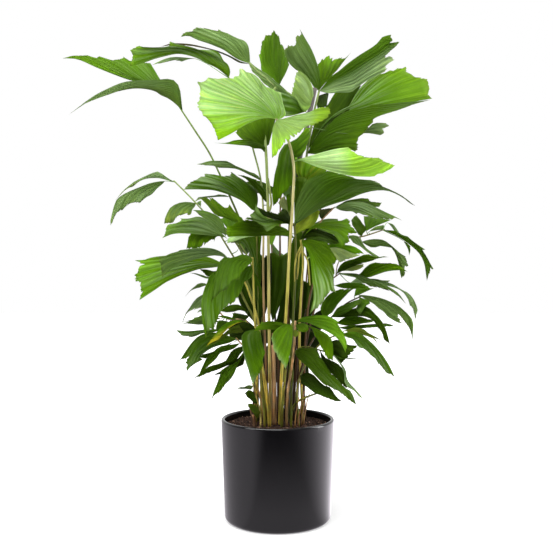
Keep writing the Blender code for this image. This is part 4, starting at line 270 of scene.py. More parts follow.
        "leaves": """
5.7,35.4; 6.8,36.1 8.4,36 9.8,34.7 11.4,33.1 12.9,32.6 13.7,31.6 14.5,30.3 16.1,29; 14.8,28.9 13.8,29 12.5,29.7
11.3,30.1 10.6,30.5 9.3,31; 8,32 7,32.8 5.9,33.3; -4 -4
""",
    },
    "frond_low_shoot": {
        "root": (-4.2, -3.8), "thick": (0.22, 0.14), "swing": -0.4,
        "stalks": "-4.3,26.3,-2.8 -4.9,28.6,-3.2 -5.5,31,-3.6 -6.3,33.6,-4",
        "leaves": """
-4.3,26.2; -5,27.5 -6.2,28.4 -7.5,28.5; -7.4,27.8; -6.2,26.3 -4.9,24.8; 0 -1

-5.1,29; -5.7,30.6 -6.1,31.4 -7.2,31.9 -8.2,31; -7.6,30 -6.4,29.1; -5.3,28.4; 2 2

-6.1,32.9; -7.3,33.1 -8.4,32.6 -9.4,32.6 -10.1,32.1; -9,32.1 -7.6,32.1; -6.6,32; 2 2
""",
    },
    "frond_right_low": {
        "root": (4.2, -3.6), "thick": (0.28, 0.16), "swing": -0.55,
        "stalks": "4.8,32,-2 7.6,39.5,-2.4 11.4,44,-2.6 16.4,46,-2.6",
        "leaves": """
16.5,45.9; 18.4,46.4 20.4,46 22,44.8 24,43 26,40.6 27.4,38.5 28.4,36.6 29.1,34.9; 28.2,35.7 27.2,35.9 26.4,36.5
25.9,37.5 25,38.2 24.4,39.5 23.2,40.4 22.4,41.3 21.4,42.1 20.4,42.3; 19.6,43.2 18.6,44.5 17.1,45; -3 -2

16.6,46.7; 19.4,47.4 21.4,47 22.6,46 24.2,45.2 25.7,44.2; 23.6,44.9 22,45.3; 20,45.8 18,46; 0 0

21.6,45.7; 23.4,45.3 24.3,44.4 24.9,43.2; 23.8,44.6; 22.4,45.2; 0 0
""",
    },
    "frond_right_spray": {
        "root": (4.8, 0.6), "thick": (0.3, 0.16), "swing": -0.3,
        "stalks": "5.2,34,-1 8.2,43.5,-0.6 13.2,49.8,-0.6 17,53.3,-0.6 18.9,55.2,-0.6 21,55.3,-0.6",
        "leaves": """
11.4,49.9; 13.3,50.9 15,53.3 16.6,55 18.2,56.6 19.5,57.3; 17.6,57.1 15.4,57 14.4,56.6 13.6,56.2; 12.5,55.4 11.5,54.2
10.6,52; -1 -1

19,55.1; 20.4,55.6 22.6,56.6 24,57.2; 21.4,57.1; 19.6,57.2; 2 2

20.2,55.5; 22,55.4 24,55.1 26,54.6 28,53.8 30,52.8 31.2,51.8 32.3,50.8 33.2,49.8 33.7,48.4 33.6,46.2 33.5,44.2;
33,46.4 32.6,47.3 31.6,48.7 30.6,50 29.9,50.9 30.2,49.8 30.9,48.5; 29.9,48.6 28.6,49.3 27.2,50.2 26.4,51.3 25,52.2
24.1,53.1 22.2,54.2; -3 -2

13.4,49.9; 16,51.6 19.4,52.2 22,52.7 24,51 25.8,49.1 26.8,47.2 27.4,45.2 27.9,43.1; 26.8,44 26.3,44.4 26.2,45.4
25.8,46.3 24.9,47.2 24.4,48.8; 22.4,49.9 19.5,50.2 16,49.9; 0 0

13.3,50.2; 15,52.4 17.2,53.3 19.4,54.2 21.4,54.6; 20.6,53.4 19.2,52.3 17,51; 15,50.2; -1.5 -1

20.4,54.8; 22.4,54.2 23.1,53.6 22,52.8 20.6,50.7; 20,51 19.4,52; 20,53.4; -1 -1

14.4,48.4; 17.6,47.8 20.6,48.3 23.4,48.7; 24.2,49.2 22,49.7 20.4,50.3 18.6,50.5; 16.4,49.8; 1.5 1

15,47.4; 18,47.9 21,48.1 24,48.3 27.4,48.4 29.1,47.7; 27.2,47.6 24,47.4 20,47.1; 17,46.9; 1 0.5
""",
    },
    "frond_right_middle": {
        "root": (7.0, 4.8), "thick": (0.3, 0.16), "swing": -0.05,
        "stalks": """
6.4,36,4 8.6,50,3.6 11.4,57,2.4 14.1,60.5,0.9 15.6,61,0.6; 14.1,60.5,0.9 14.8,62.9,0.8 16.9,66.4,0.8
""",
        "leaves": """
14.2,60.6; 15,62 16,63.4 17.8,64.2 19.5,64.6 21,65.4 22.8,65.6 23.6,65.2 25,64.9 26.2,65.1 27.6,64.9; 26,64.8
24.4,64.3 22.4,63.6 20,63; 18,62.3 16.5,61.6 15.2,61; -3 -2

15,61.1; 17.4,62.2 19.6,62.9 21.4,63.2; 21.4,62.6 20.4,61.8 19.2,61.5 18.4,61.4; 17.1,61.5; -1 -1

15.9,60.9; 18,60.9 20,60.7 22.5,59.7 25,58.5 28,57.3 30,55.9 31.9,53.2; 30.2,55 28.3,56.3 25.5,57.1 23,57.6;
20.9,58.9 18.6,60.1; -3 -2

19.6,60.2; 22.4,59.8 24.6,60.5 27,61.3 29.4,61.6 30.8,61.6 32.5,61.2; 31.3,62 30.5,62.7 29.6,63.2 28,63.5 26,63.4
24.4,63.6; 23,63.2 21.6,62.1 20.7,61; -2 -1

19.6,59.9; 22,59.6 24.4,59 27.9,58.5 29.4,57.7 31,56.7 32.6,55.9 33.6,54.7 34.3,53.4 34.8,51.6 34.4,50.4 34.2,49.2;
33.8,50.8 33.7,51.8 33.2,52.6 32.8,52.8 32.5,54.2 31.3,56.2; 29.8,57.2 27.6,57.7 24,58.3; -1 0

19.8,59.8; 22.4,59.6 25,59.4 25.6,59.2 27.9,59.1; 27.6,58.6 25,58.8; 22.4,59.1; 1 1

14.1,57.8; 16,57.2 19,57 23.2,57; 22.6,57.6 21.6,58.2 20,58.6; 18,58.6 15.8,58.4; 1 1

18,58.5; 19.2,59.4 19.9,60 21.8,59.8 23.6,59; 22.4,58.4 21,58.3; 19.4,58.5; 2 2
""",
    },
    "frond_right_arching": {
        "root": (6.6, 3.4), "thick": (0.3, 0.16), "swing": 0.15,
        "stalks": "6.9,44,3 8.2,56,2.6 11.4,65,2 15.6,69.2,1.4 20.7,69.8,1 22.9,71.3,1 26.6,71.8,1",
        "leaves": """
20.8,69.9; 21.4,71 22.3,71.8 21.1,73.2 20.5,74.2 19.5,75.3; 18.9,75 18.2,74.2 18.5,72.9; 19.4,71.6 20,70.6; 3 2

22.1,71.4; 24.4,72.6 26.4,73.4 28.4,74.2; 25.6,74.6 23.8,75 21.4,75.2; 21.5,73.6; 3 2.5

22.6,71.2; 24.2,72.4 26.4,72.9; 26.5,71.7; 24.6,71.6; 0 0

26.3,71.6; 28,70.9 29.6,70.1 31.3,69.1 33.4,67.5 35,66 35.9,64.6 36.5,63 36.8,61 37.1,58.9; 37.4,59.9 37.9,60.8
38.1,61.6 38.8,61.9 38,63.2 37.2,64.8 36.7,65.6 36,66.6 36.8,66.7; 35,67.9 33,69.4 32.4,70 31,70.4 29.6,71.3; -3 -2

31.2,69; 31.8,68 32.4,66.8 32.7,65.3; 33,66.4 33,67.6; 32.2,68.4; 0 0

27.2,73.5; 28.6,73.1 29.4,72.2 30.2,71; 29,71.4 28.6,72; 27.8,73; 1 1

20.8,68.7; 22.2,67.8 23.2,67.3 24,67 24.6,67.6 26.6,67.5 28.3,67.2 29.2,65.8 29.8,64.2 30.3,62 30.5,60.4 30.8,59.6;
31.3,60 31.8,60.8 31.4,61.6 31.8,62.4 32.6,62.6 32.1,64 31.9,65; 30.4,65.9 29.2,67 28,68 26.4,69.1 24.6,69.4
22.4,69.2; -3 -2

17.4,70.2; 19.6,70.3 20.8,69.2 21.6,67.6 23,66.4 25.2,65; 24.5,64.6 22.4,66 20.6,67.5 18.8,68.4; 18.1,69.4; -2 -1.5
""",
    },
    "frond_right_upper": {
        "root": (6.2, 6.0), "thick": (0.3, 0.18), "swing": 0.55,
        "stalks": "6.6,50,4.6 7.4,62,4 8.4,70,3.4 11.2,74.4,3 14,77.2,2.6",
        "leaves": """
14.3,77.2; 15.6,77.9 17,78.5 19,78.7 21,78.6 23,78 25,77 27,76 29,75.1 31,74; 29.2,74.7 28.4,74.1 26.6,74.2 25,74.2
23.9,74.9 23.4,74.6 22.4,75.2 21.2,75.4 20.2,75.9 19.6,75.6; 18.6,76.2 17,76.3 15.4,76.6; -4 -3

14.1,77.3; 18,78.3 22,78.2 25.1,77.3 25.9,78.5; 24.4,78.6 23,78.9 22.6,79.5 21,79.6; 19,79.3 17,78.9 15.6,78.1; 2 1

11,74.2; 10.4,75 10.3,76.9; 12,77 13.8,77.2; 12.6,75.8; 1 1
""",
    },
    "frond_fan_left": {
        "root": (-5.0, 2.6), "thick": (0.34, 0.2), "swing": 0.3,
        "stalks": "-5.4,48,1 -6.6,56,0.4 -8.6,61,0 -11,65,-0.6 -14.1,70.1,-1",
        "leaves": """
-12.3,69.3; -13.2,69.9 -15,70.1 -18.5,70.4 -21.8,70.7 -24,70.8 -26.2,70.6 -28.7,69.6; -28,70.8 -27.8,72.8 -27,73.1
-25.3,73.3 -24.2,73.9 -24.3,74.5; -22,74.5 -20,75 -18.4,74.7 -16.8,73.8 -15,71.9 -13.6,70.6; -4 -3

-12.9,70.3; -13.2,72.6 -14.2,74.6 -16,75.7 -18.5,76.5 -21.1,76.6; -20,75.8 -19.5,75.3 -18,74.3; -15.8,72.2 -14,71; 3
1

-14.2,70.3; -18.4,71.2 -21.9,70.6 -22.3,68.8 -22.7,66.9; -20.6,66.9 -18.4,67.4 -18,68.1 -16.8,69 -16.3,69.2
-15.8,68.7; -15.4,69.8; 0 0

-9.9,66.6; -9.4,72.6 -12.5,74.4 -15.6,75.5 -17.3,77.6 -19.3,79.6; -17.5,79.9 -16.2,79.7 -14.3,78.1 -13.4,77.3
-12.6,77.2 -12,78.1; -11,76.6 -10.4,75.9 -9.9,75.3 -8.7,74.5 -8.6,71.5; 3 2
""",
    },
    "frond_far_left": {
        "root": (-2.6, 3.2), "thick": (0.34, 0.17), "swing": -0.1,
        "stalks": "-3.6,60,2.6 -3.6,76,2.2 -4.2,84,2 -5.2,88.3,2 -6.2,92,2.6 -8.5,100,4.5 -12.3,109.8,5",
        "leaves": """
-12.3,109.4; -13,110.2 -15,111.8 -17.5,113 -20,114.3 -22.5,115.1 -25,115.4 -28,114.8 -31,114 -33.5,113.1
-36.7,112.4; -36.3,114 -36.1,115.2 -36.8,116.4 -34.6,117.5 -33.8,117.2 -30,116.9 -27.1,117.3 -26.9,118.6 -25,117.9
-22,117.2 -20,116.5 -16,116.4; -14.5,115.6 -13.4,113.7 -12.4,112.8 -11.8,111; 3 1

-20.4,114.2; -23,114.5 -26.5,114.6 -29,113.8 -31.2,112.7; -28.7,113.1 -26,113.8 -23.8,113.5; -22,114.1; 2 1

-4.1,84.1; -5,85.3 -7,86.1 -9,87 -10.5,87.6 -12,88.5 -13.1,88.9 -14.5,88.8 -16,88.9 -17.5,88.7 -19,88.2 -20.2,88;
-18.5,87.7 -16.5,87.6 -14.6,87.1; -12,87 -10.3,86.8 -7,85.3; -3 -2.5

-2.1,78; -3,78.6 -4,79.9 -5.3,81.7 -6.7,83.2 -8.3,84.6 -10.2,85.4; -8.4,85.2 -6.9,84.7 -6.2,84.5 -5.3,84.2;
-4.9,83.3 -4,82.6 -2.9,81.2; -3 -1
""",
    },
    "frond_upper_left": {
        "root": (-1.0, 6.0), "thick": (0.36, 0.2), "swing": 0.4,
        "stalks": """
-3.4,45,4.5 -5.5,60,4.5 -8,70,4 -10.1,76,3.5 -11.8,79.8,3 -14.4,85.5,2 -16,89,1.5 -17.9,92.3,1 -20.2,95.8,0.5
-23.9,101.4,0
""",
        "leaves": """
-23.8,101.2; -24,104.5 -24.4,107 -25.2,108.4 -26.3,109.1 -30,109 -35,108.8 -38.3,108.4 -42,106.9 -45.5,105.1
-51.9,100.3; -50,101.6 -48,103 -45,104.2 -40,106 -36,106.9 -33,107 -30.9,106.7; -29.3,105.3 -27.2,104.3 -25,102.6;
-5 -2

-24.4,102; -27,105.5 -31,107.9 -36.5,108.8 -40,110 -45,112 -50,114.1 -53.5,114.3; -51,115 -47.3,115.1 -45.2,114.3
-44.5,114.9 -41,113.8 -40,114.3 -39.4,114 -38.4,114.9 -37,113.8 -34,113.6 -31.6,113.1; -30.7,111.6 -28.9,108.6
-26.5,105; 6 7

-11.6,79.9; -14,79.9 -17,79.7 -19,79.4 -20.7,78.6; -19.8,79.8 -18,80 -16.3,80 -14.8,80.5; -13,80.3; -2 -1
""",
    },
    "frond_left": {
        "root": (-3.9, 4.6), "thick": (0.36, 0.22), "swing": 0.35,
        "stalks": "-4.7,45,4 -4.9,60,3 -5.2,70,2 -5.5,76.6,1.4",
        "leaves": """
-5.5,76.4; -6.6,76.8 -7.8,78 -9,78.9 -11,79.9 -14,81 -16,81.5 -19,81.7 -23.4,81.7; -22.6,82.8 -21.8,83.6 -20,84.3
-19.5,84.9 -18.5,85 -18.3,85.7 -15,85.4 -13.7,85 -12.6,85.3 -11.9,85.2 -11.8,86.4 -10.7,85.5 -9.1,84 -8,83.1;
-6.2,82.5 -5.2,81 -4.9,79; 2 4

-4.9,56; -5.4,60 -6.2,63.6 -7,66 -9,68.4 -11.6,68.4; -11.6,70.4 -8,71.6 -5,71.4 -4,70; -4.3,66 -4,62 -4.2,58.5; 2 0

-4.7,49.5; -5,52.4 -5.8,55.5 -6.4,59 -6.9,62.5; -5.9,61.8 -4.8,59.6; -3.8,56.5 -2.8,53.2 -3.4,50.5; -3 -2
""",
    },
    "frond_mid_left": {
        "root": (-2.4, 7.4), "thick": (0.34, 0.18), "swing": 0.6,
        "stalks": "-4.4,48,6 -6.8,60,5 -10,68,4 -14,72.5,3 -18.7,76.5,2 -20.6,78.6,2 -23.3,81.5,2 -25.8,83.9,2",
        "leaves": """
-25.5,83.7; -26.6,84.1 -27.8,84.9 -29,85.8 -30,86.2 -31.2,85.8 -32.6,85.2 -34.2,84.4 -35.6,83.7 -37,82.6 -38.4,81.4
-40.3,79; -38.2,81.3 -36.9,82.1 -36,82.3 -34.3,84 -32,84.5; -29.5,84.5 -27.4,84; 3 2

-28,83.8; -29.6,83.7 -32,83.2 -34,82.4 -36.5,81.4 -38.5,80.4 -40,79.2 -40.7,77.5 -41.2,75.5 -41.6,73.6 -41.5,72.7;
-41,73.5 -40.5,74.8 -40,75.9 -38.6,76.5 -37.7,77.2 -36.9,78.1 -35.6,78.4 -34.3,78.2 -33.4,79.1 -32.6,79.8;
-31.3,80.5 -29.9,82 -28.6,83.1; -2 -1

-20.3,78.3; -22,78.6 -23.5,78.6 -25,78.2 -26.6,77.3 -27.4,76 -28,74.6 -28.2,73.2; -26.2,73.3 -25.6,73.8 -25,75
-24.2,75.2 -23,75.6 -22.2,75.3; -21.6,75.5 -21.2,76.7 -20.5,77.6; -3 -2

-20,78.5; -19.3,78.9 -18.9,78.9; -19,78.2 -19,77.3; -19.6,77.9; 1 1
""",
    },
    "frond_left_behind": {
        "root": (-6.2, 4.0), "thick": (0.3, 0.16), "swing": 0.35,
        "stalks": "-5.8,36,2 -6.9,46,1.6 -8.4,49.6,1.2 -12.6,49.6,0.8 -14.6,51,0.6 -16.4,55,0.4 -17.4,58.2,0.4",
        "leaves": """
-7.5,51.5; -9.4,53 -11.2,53.1 -12.8,52.6 -14.1,51.4; -12.6,51.1 -10.9,51.3; -9.4,51.7 -8.2,51.4; -1 -0.5

-7.5,49.2; -9.6,49.6 -11.3,49.7; -11.3,51 -10,51 -8.6,50.7; -7.2,50.2; -2 -2

-9.6,49.6; -11.4,49.9 -13.6,50.4 -15.1,50.1; -13.6,49.8; -11.6,49.4; -1 -1

-11.4,48.6; -12.8,49 -14.8,49.1 -15.3,47.6; -15.4,46.7 -14.2,46.9; -12.8,48; 1 1

-13.6,47; -16,47 -18.2,46.9 -20,46.7 -22.5,46.5 -25.3,46.8; -24.3,45.8 -23.9,45.4 -22.6,45.1 -21.4,45; -20.2,45.3
-18.9,45.9 -16,46.2; -1 0

-14,49.6; -17,49 -19.4,48.9 -21.8,48.9 -24.2,48.9; -22.4,49.1 -21.2,49.4 -21.1,49.9 -20,50 -19.2,50.4; -17,50.4; 0 1

-14,49; -17,49.2 -19.4,49.3 -21.6,49 -23.8,48.3; -22,48.3 -20,48.1; -17.4,48.2; 2 2

-17,56.2; -18.6,55.6 -20,54.8 -21,53.7 -21.8,52.4 -22.6,51.3 -23.2,50.2 -23.6,49 -24.1,47.4; -23,50.2 -22.3,51.3
-21,51.7 -20.2,52 -19.1,52.3; -18,54; -1 1

-17.4,58.2; -18.4,58.5 -20.2,58.1 -20.7,57.5 -21.4,57 -22.2,56.1 -23.1,55; -21.8,56.4 -20.6,57 -19.4,57.3; -18,57.8;
1 1

-17.2,52.6; -18.6,51.7 -19.2,51.9 -20.1,51; -19.2,51.4; -18.2,51.4; 1 1
""",
    },
    "frond_upper_right": {
        "root": (3.9, 4.2), "thick": (0.36, 0.28), "swing": 0.4,
        "stalks": """
5.6,50,3.4 6,57,3 6.3,68,2.6 6.6,78,2.4 6.9,86,2.2 7.1,91,2 7.9,94.4,2 8.4,98,2 9.3,102,1.8 10,105,1.6
10.4,106.6,1.6
""",
        "leaves": """
10.3,106.2; 10.7,107.8 10.5,109.5 10.3,111.2 9.8,113 9.1,115 8.2,117 7,119 6.2,120.4 5.5,121.6; 5.9,120.4 5,120.1
4.4,119.7 4.5,118.2 4.3,117.6 2.9,117.5 2.4,117.9 2.4,117.2 1.4,116.5; 2,114.6 3,112.9 4.6,111.4 5.6,110.8 6.5,109.6
7,108.9 8,108.7 8.7,107.5 9.6,106.5; -3 -3.5

10.6,106.4; 11,107.2 12.9,109.4 14.9,111.5 16.4,113.5 18.3,115.8; 16.9,114.4 16,114.7 15,114.3 14,114.3 13.6,114.8
13,115.1 12,114.8 11,114.3 10.6,113.4 9.9,113; 10.4,110 10.5,108; 4 3

10.5,106.1; 11.6,107.8 13.2,109.8 15,111 17,112.7 20,114.9 24.8,118.1 26,119.6 28.2,120.2; 28.4,119.2 28.8,118.8
28,118.1 30.5,118.6 29.5,117.3 26.8,114.9 28.2,114.8 29.2,114 27.8,113.2 26.8,112.4 27.4,111.8 26.6,110.9
25.8,110.6; 22,108.6 19.6,106.9 18.5,106 15,105.8 12.5,105.6; -6 -3

10,105; 11.2,105.4 12.6,105.7 12.4,104 12.2,102.3; 11.2,101.8 9.9,101.8; 9.7,103.2; 2 1.5

7.4,91.1; 9.4,94.4 12,97.6 16.5,99.8 20,101.2 26,102.4 32,103.2 38.4,104.3; 37.6,105.2 37.8,107 37.3,109.2
35.3,109.6 34.3,109.6 32.4,111 32,112.4 31.2,111.9 30,112 29,111.2 28,111.4 26.6,110.6 25.2,110.5; 22.6,109
20.7,107.2 19.2,105.1 18.2,103.2 17,101.4 12.6,99.2; 2 0

7.3,90.8; 9,93.8 12.5,97.6 15.6,100.4 18.6,101.5 20.2,101.8 22.6,102.4 24,103 25.5,102.8 30,103.3 34.5,103.6 38,104;
34,102.9 30,101.4 26,100.2 23.7,99.2 23.9,98.6 23,97.6 21.4,95.6 20.4,94.9 20,94 20,92.8 20.3,92 19.3,91 18.4,91.6;
14,91.5 10,90.5; -3 -4

7.4,91.6; 8.3,95 9.2,98.2 10.4,100.8 12.3,102.6 14.3,105.8 16,107.4; 18.6,107.6 20.8,107.6; 19.2,104.8 17.6,101
14.5,97.6 10.5,94; 1.5 0.5

17,95.6; 20,96.3 22.3,96.8 23.4,97.9 24.8,98.3 27,98.2; 27.8,97.5 26.4,96.8 26.5,95.6 25.5,95.2; 22.3,95.7 20,95.5;
4 3

6.9,83.4; 5.2,84.8 4.3,86.6 4.2,89.2; 5.6,89.8 7.6,89.4 9.6,88.2 12.6,87; 11.4,85.6 9,84.4; 0.6 0.6
""",
    },
    "frond_dark_centre": {
        "root": (1.9, 4.9), "thick": (0.34, 0.22), "swing": 0.2,
        "stalks": "2.5,50,4 2.7,66,3 2.9,73,2.5 3.3,80,2 3.8,88,1.5 3.9,93,1",
        "leaves": """
3.8,92.8; 2.4,93.3 0.8,91.6 0.2,90.2 -0.1,88 -0.7,85.8 -1.1,83 -1.4,80.6 -1.1,77.6; -0.2,78.3 0.8,79.8 1.9,80.9
3.2,82.4 4.6,84.5; 4.4,88.5; 1.5 1

3.7,89.6; 3,91.4 2.4,93.2 3.3,93.6 4.9,94.5 6,95.8 7.2,97.2; 8.2,97.2 8.1,95 7.1,91.8; 5.6,89.9; 1 0.5

2.9,72.8; 2.1,74.6 1.9,76.4 2.2,78 2.1,79.4 2.5,80.6; 3,80.6 3.4,80.2 3.5,77.8; 3.4,74.6; -0.4 -0.4

2.6,75.4; 1.6,76.4 0.9,77.2 0.1,78.5; 0.9,79.7 1.6,80.4 2.2,79.2; 2.5,77.4; -1.2 -1

4.2,73; 4.1,77.6 4.2,81.6 4.6,84.8; 5.6,85 6.6,84.8 7.4,84.4; 6.4,80 5.2,76; 1 1
""",
    },
    "frond_grey_cane": {
        "root": (3.4, 7.6), "thick": (0.45, 0.36), "swing": 0.3,
        "stalks": """
4.4,50,6 4.8,70,4.6 5,84,3.4 5.5,90,2.6 6.6,94.2,1.6 7.3,98,0.8 8.1,101.4,0.4 9,104.2,0 9.2,106.9,0
""",
        "leaves": """
9,103.4; 8.9,105.6 8.6,107.4 7.9,108.9 6.6,110.4 4.9,111.4; 4.3,110 4,108.4 3.6,107.1 3.3,105.2; 4.5,104.3 5.8,101.8
6.8,100.9 7.8,101.9; -2.2 -1.6

6.8,101; 5.4,103.4 4.4,104.3 1,105.8 -2.8,106.8; -3.4,104 -2.5,101; 0,100.2 2.4,99.9 4.5,100.3; -0.5 -0.5
""",
    },
    "frond_back_high": {
        "root": (0.8, 8.6), "thick": (0.36, 0.2), "swing": 0.0,
        "stalks": "0.8,52,12 0.6,68,16 0.8,80,22 1.4,85,27 2,86.5,31",
        "leaves": """
1,82.5; 3,85.6 6,87.4 9.4,87.6; 9.6,86 9,84.6 8,83.6; 5,82.6; 9 8

0.9,81; -2,82.8 -5.4,84 -8.4,83.4; -8.2,82.2 -7.4,81.4 -5.4,80.8; -2.4,80.6; 8 9

1.6,85.4; 4.4,88.4 6.4,90.4; 4.6,90.6 2.6,90.4 0.6,89.6; 1.2,88; 12 9

2,86.4; 2.6,84 3.6,81.4 4.4,78.4; 2.8,79 1.6,80 0.8,81.6; 1.4,84.6; 14 11
""",
    },
    "frond_back_middle": {
        "root": (-0.6, 9.4), "thick": (0.36, 0.2), "swing": 0.0,
        "stalks": "-0.6,50,14 -1,60,19 -1.4,66,26 -1.6,69,32",
        "leaves": """
-1.1,61.6; -3,64.4 -5.2,66.4 -7.4,67.4; -7.4,65.6 -6.6,63.6 -5.2,62.2; -3,61.4; 9 8

-1.2,63; 1.4,65.4 4,66.8 6.6,66.9; 6.2,65.2 5.4,63.8 4.4,62.8; 1.6,62.4; 8 10

-1.5,67.4; -2.8,70.4 -3.8,72.8 -4.2,75.4; -2.4,75.2 -0.8,74.4 0.8,73.2; -0.4,70.2; 12 10

-1.6,68.8; -0.2,67 1.6,65.4 3.4,64.6; 2.6,63.4 1,62.6 -0.6,62.2; -1.4,65.4; 14 13
""",
    },
    "frond_back_right": {
        "root": (2.8, 9.0), "thick": (0.34, 0.2), "swing": 0.3,
        "stalks": "3,50,12 5,66,15 8,76,20 10,79.4,25",
        "leaves": """
6.4,71.6; 9,73.2 12,74.4 15,74.4; 15.4,72.6 14.8,71 13.4,70; 9.8,70.2; 9 8

8.2,76.4; 6.4,79.2 5,82 4.4,84.6; 6.6,84.8 8.6,84 10.2,82.6; 9.2,79.4; 9 12

9.9,79.2; 12.6,81 15.4,82.4 18,82.6; 18.2,81.2 17.2,80 15.4,79.2; 12.4,78.6; 9 10

10,79.4; 11.2,80.6 12.2,82.4 12.8,84.2; 11.2,84.2 9.8,83.6 9,82.4; 9.2,80.8; 13 12
""",
    },
    "frond_back_left": {
        "root": (-3.6, 9.0), "thick": (0.34, 0.2), "swing": 0.3,
        "stalks": "-3.8,48,12 -5,58,15 -8,66,19 -10.6,69.6,23",
        "leaves": """
-6.2,62; -8.6,63.4 -11.4,64 -14,63.6; -14,62.2 -13,61 -11,60.4; -8.2,60.6; 8 9

-8.4,66.6; -7.2,69.4 -6.8,72 -7.2,74.4; -9.2,74 -11,72.8 -12,71.2; -10.4,68.8; 12 9

-10.5,69.4; -13,70.6 -16,71 -19,70.6; -18.6,72.2 -17.4,73.6 -15.4,74; -12.6,72; 10 12

-8.2,65.2; -8.9,66.4 -9.6,67.8 -10.2,69.4; -9.2,69.8 -8,69.6 -6.8,69; -6.6,67; 8 8

-9.8,68.4; -11.4,70.4 -12.8,72.4 -14.2,74.4; -12.8,75.2 -11.6,75 -10.4,73.8; -9.6,71; 8 8
""",
    },
    # the inner fronds fill the clump with blades whose near black colour is painted shade
    "frond_inner_left": {
        "root": (-2.6, 6.2), "thick": (0.3, 0.24), "swing": 0.0,
        "stalks": "-3.2,34,6 -3.8,42,6.4 -4.3,47.6,7",
        "leaves": """
-4.3,47.6; -6.6,49.5 -9,52.6 -10.4,56.6; -9.6,59 -7.8,60.6 -5.8,61; -4.8,57 -4.4,52; 2 2

-4.1,46.8; -4.4,50 -5.2,55 -5.8,62; -4.6,64 -3,65.4 -1.6,65.6; -1.4,60 -2.2,54; 1 1

-3.9,43.4; -5.2,44.4 -6.2,45.8 -6.6,47; -4.8,48 -2.6,48.2 -0.2,47.6; -0.8,45.4 -2,43.6; -0.4 -0.4

-4.2,46.4; -6.2,48 -8.4,49.8 -10.8,51.2; -12,49 -12.4,46.6 -12,44.8; -9,44.2 -6,45; 1 1
""",
    },
    "frond_inner_middle": {
        "root": (-0.2, 6.4), "thick": (0.3, 0.24), "swing": 0.0,
        "stalks": "-0.8,34,6.2 -1.2,42,6.4 -1.3,49,6.8",
        "leaves": """
-1.3,48.8; -2.4,54 -2.8,60 -2.6,65.8; -1,66.2 0,65.7 1.2,65.3 2.6,65.9; 2.6,62.6 1.8,57 0.4,52.6; 1 1

-1.2,46.4; 0,50.4 0.8,55 1.4,60.6; 2.4,61.2 3.4,60.8 4.2,59.8; 4.2,54 2.4,49; 1 1

-1.1,44.6; -2.8,42.6 -4.2,39 -4.6,34.6; -3.6,33.6 -2.4,33.4 -1.4,33.8; -1.2,37.5 -1.1,41; 1 1

-1,43.2; -1.4,41 -1.4,37 -0.8,33.8; 0.6,33.2 2.2,33.6 3.2,34.2; 3,38 1.2,42; 0.4 0.4
""",
    },
    "frond_inner_right": {
        "root": (3.2, 6.2), "thick": (0.3, 0.24), "swing": 0.0,
        "stalks": """
3.6,34,6.2 4.4,42,6.2 5,46.6,6.6; 4,38.4,6.2 3.8,46,5.2 4.2,51.6,4; 4.6,43.6,6.3 6.2,48,5.4 7,52,4.2
""",
        "leaves": """
4.7,46.2; 3.2,49.4 2.4,53 2.3,57.8; 3.4,59.6 4.8,60.2 6.2,60.6; 6.2,56.6 5.7,51; 0.2 0.2

5.1,47.2; 5.8,50 6,54.6 6,59.4; 7,59 7.9,58.2 9,57.5; 9.4,55 8.4,50.2; 1.2 1.2

4.5,42.6; 4.8,44.6 5.2,46.2; 6.4,46.8 8.4,46.8 10,45.8 11,43.6; 9,41.8; -0.6 -0.6

4.3,41.8; 3.2,40 2.8,37 2.8,34; 4.2,33.4 6,33.6 7.8,34.4; 7.6,37.6 6.2,40.4; 0.4 0.4

5.6,46; 7,48.8 9.4,51 11.6,52.2; 12.6,51 13,49.4 12.6,47.8; 10,46.6 7.4,45.6; 2.8 2.8

4.2,51.6; 3.2,56 3,61 3,67.4; 3.8,69.6 4.8,71.2 6,71.8; 6.5,66 6.2,60 5.2,55; 3 3

7,52; 7.2,56 7.5,60 7.3,64 6.8,68.2; 7.2,69 7.8,68.6 8.4,66.8; 9,60 8.4,55; 1.8 2
""",
    },
}
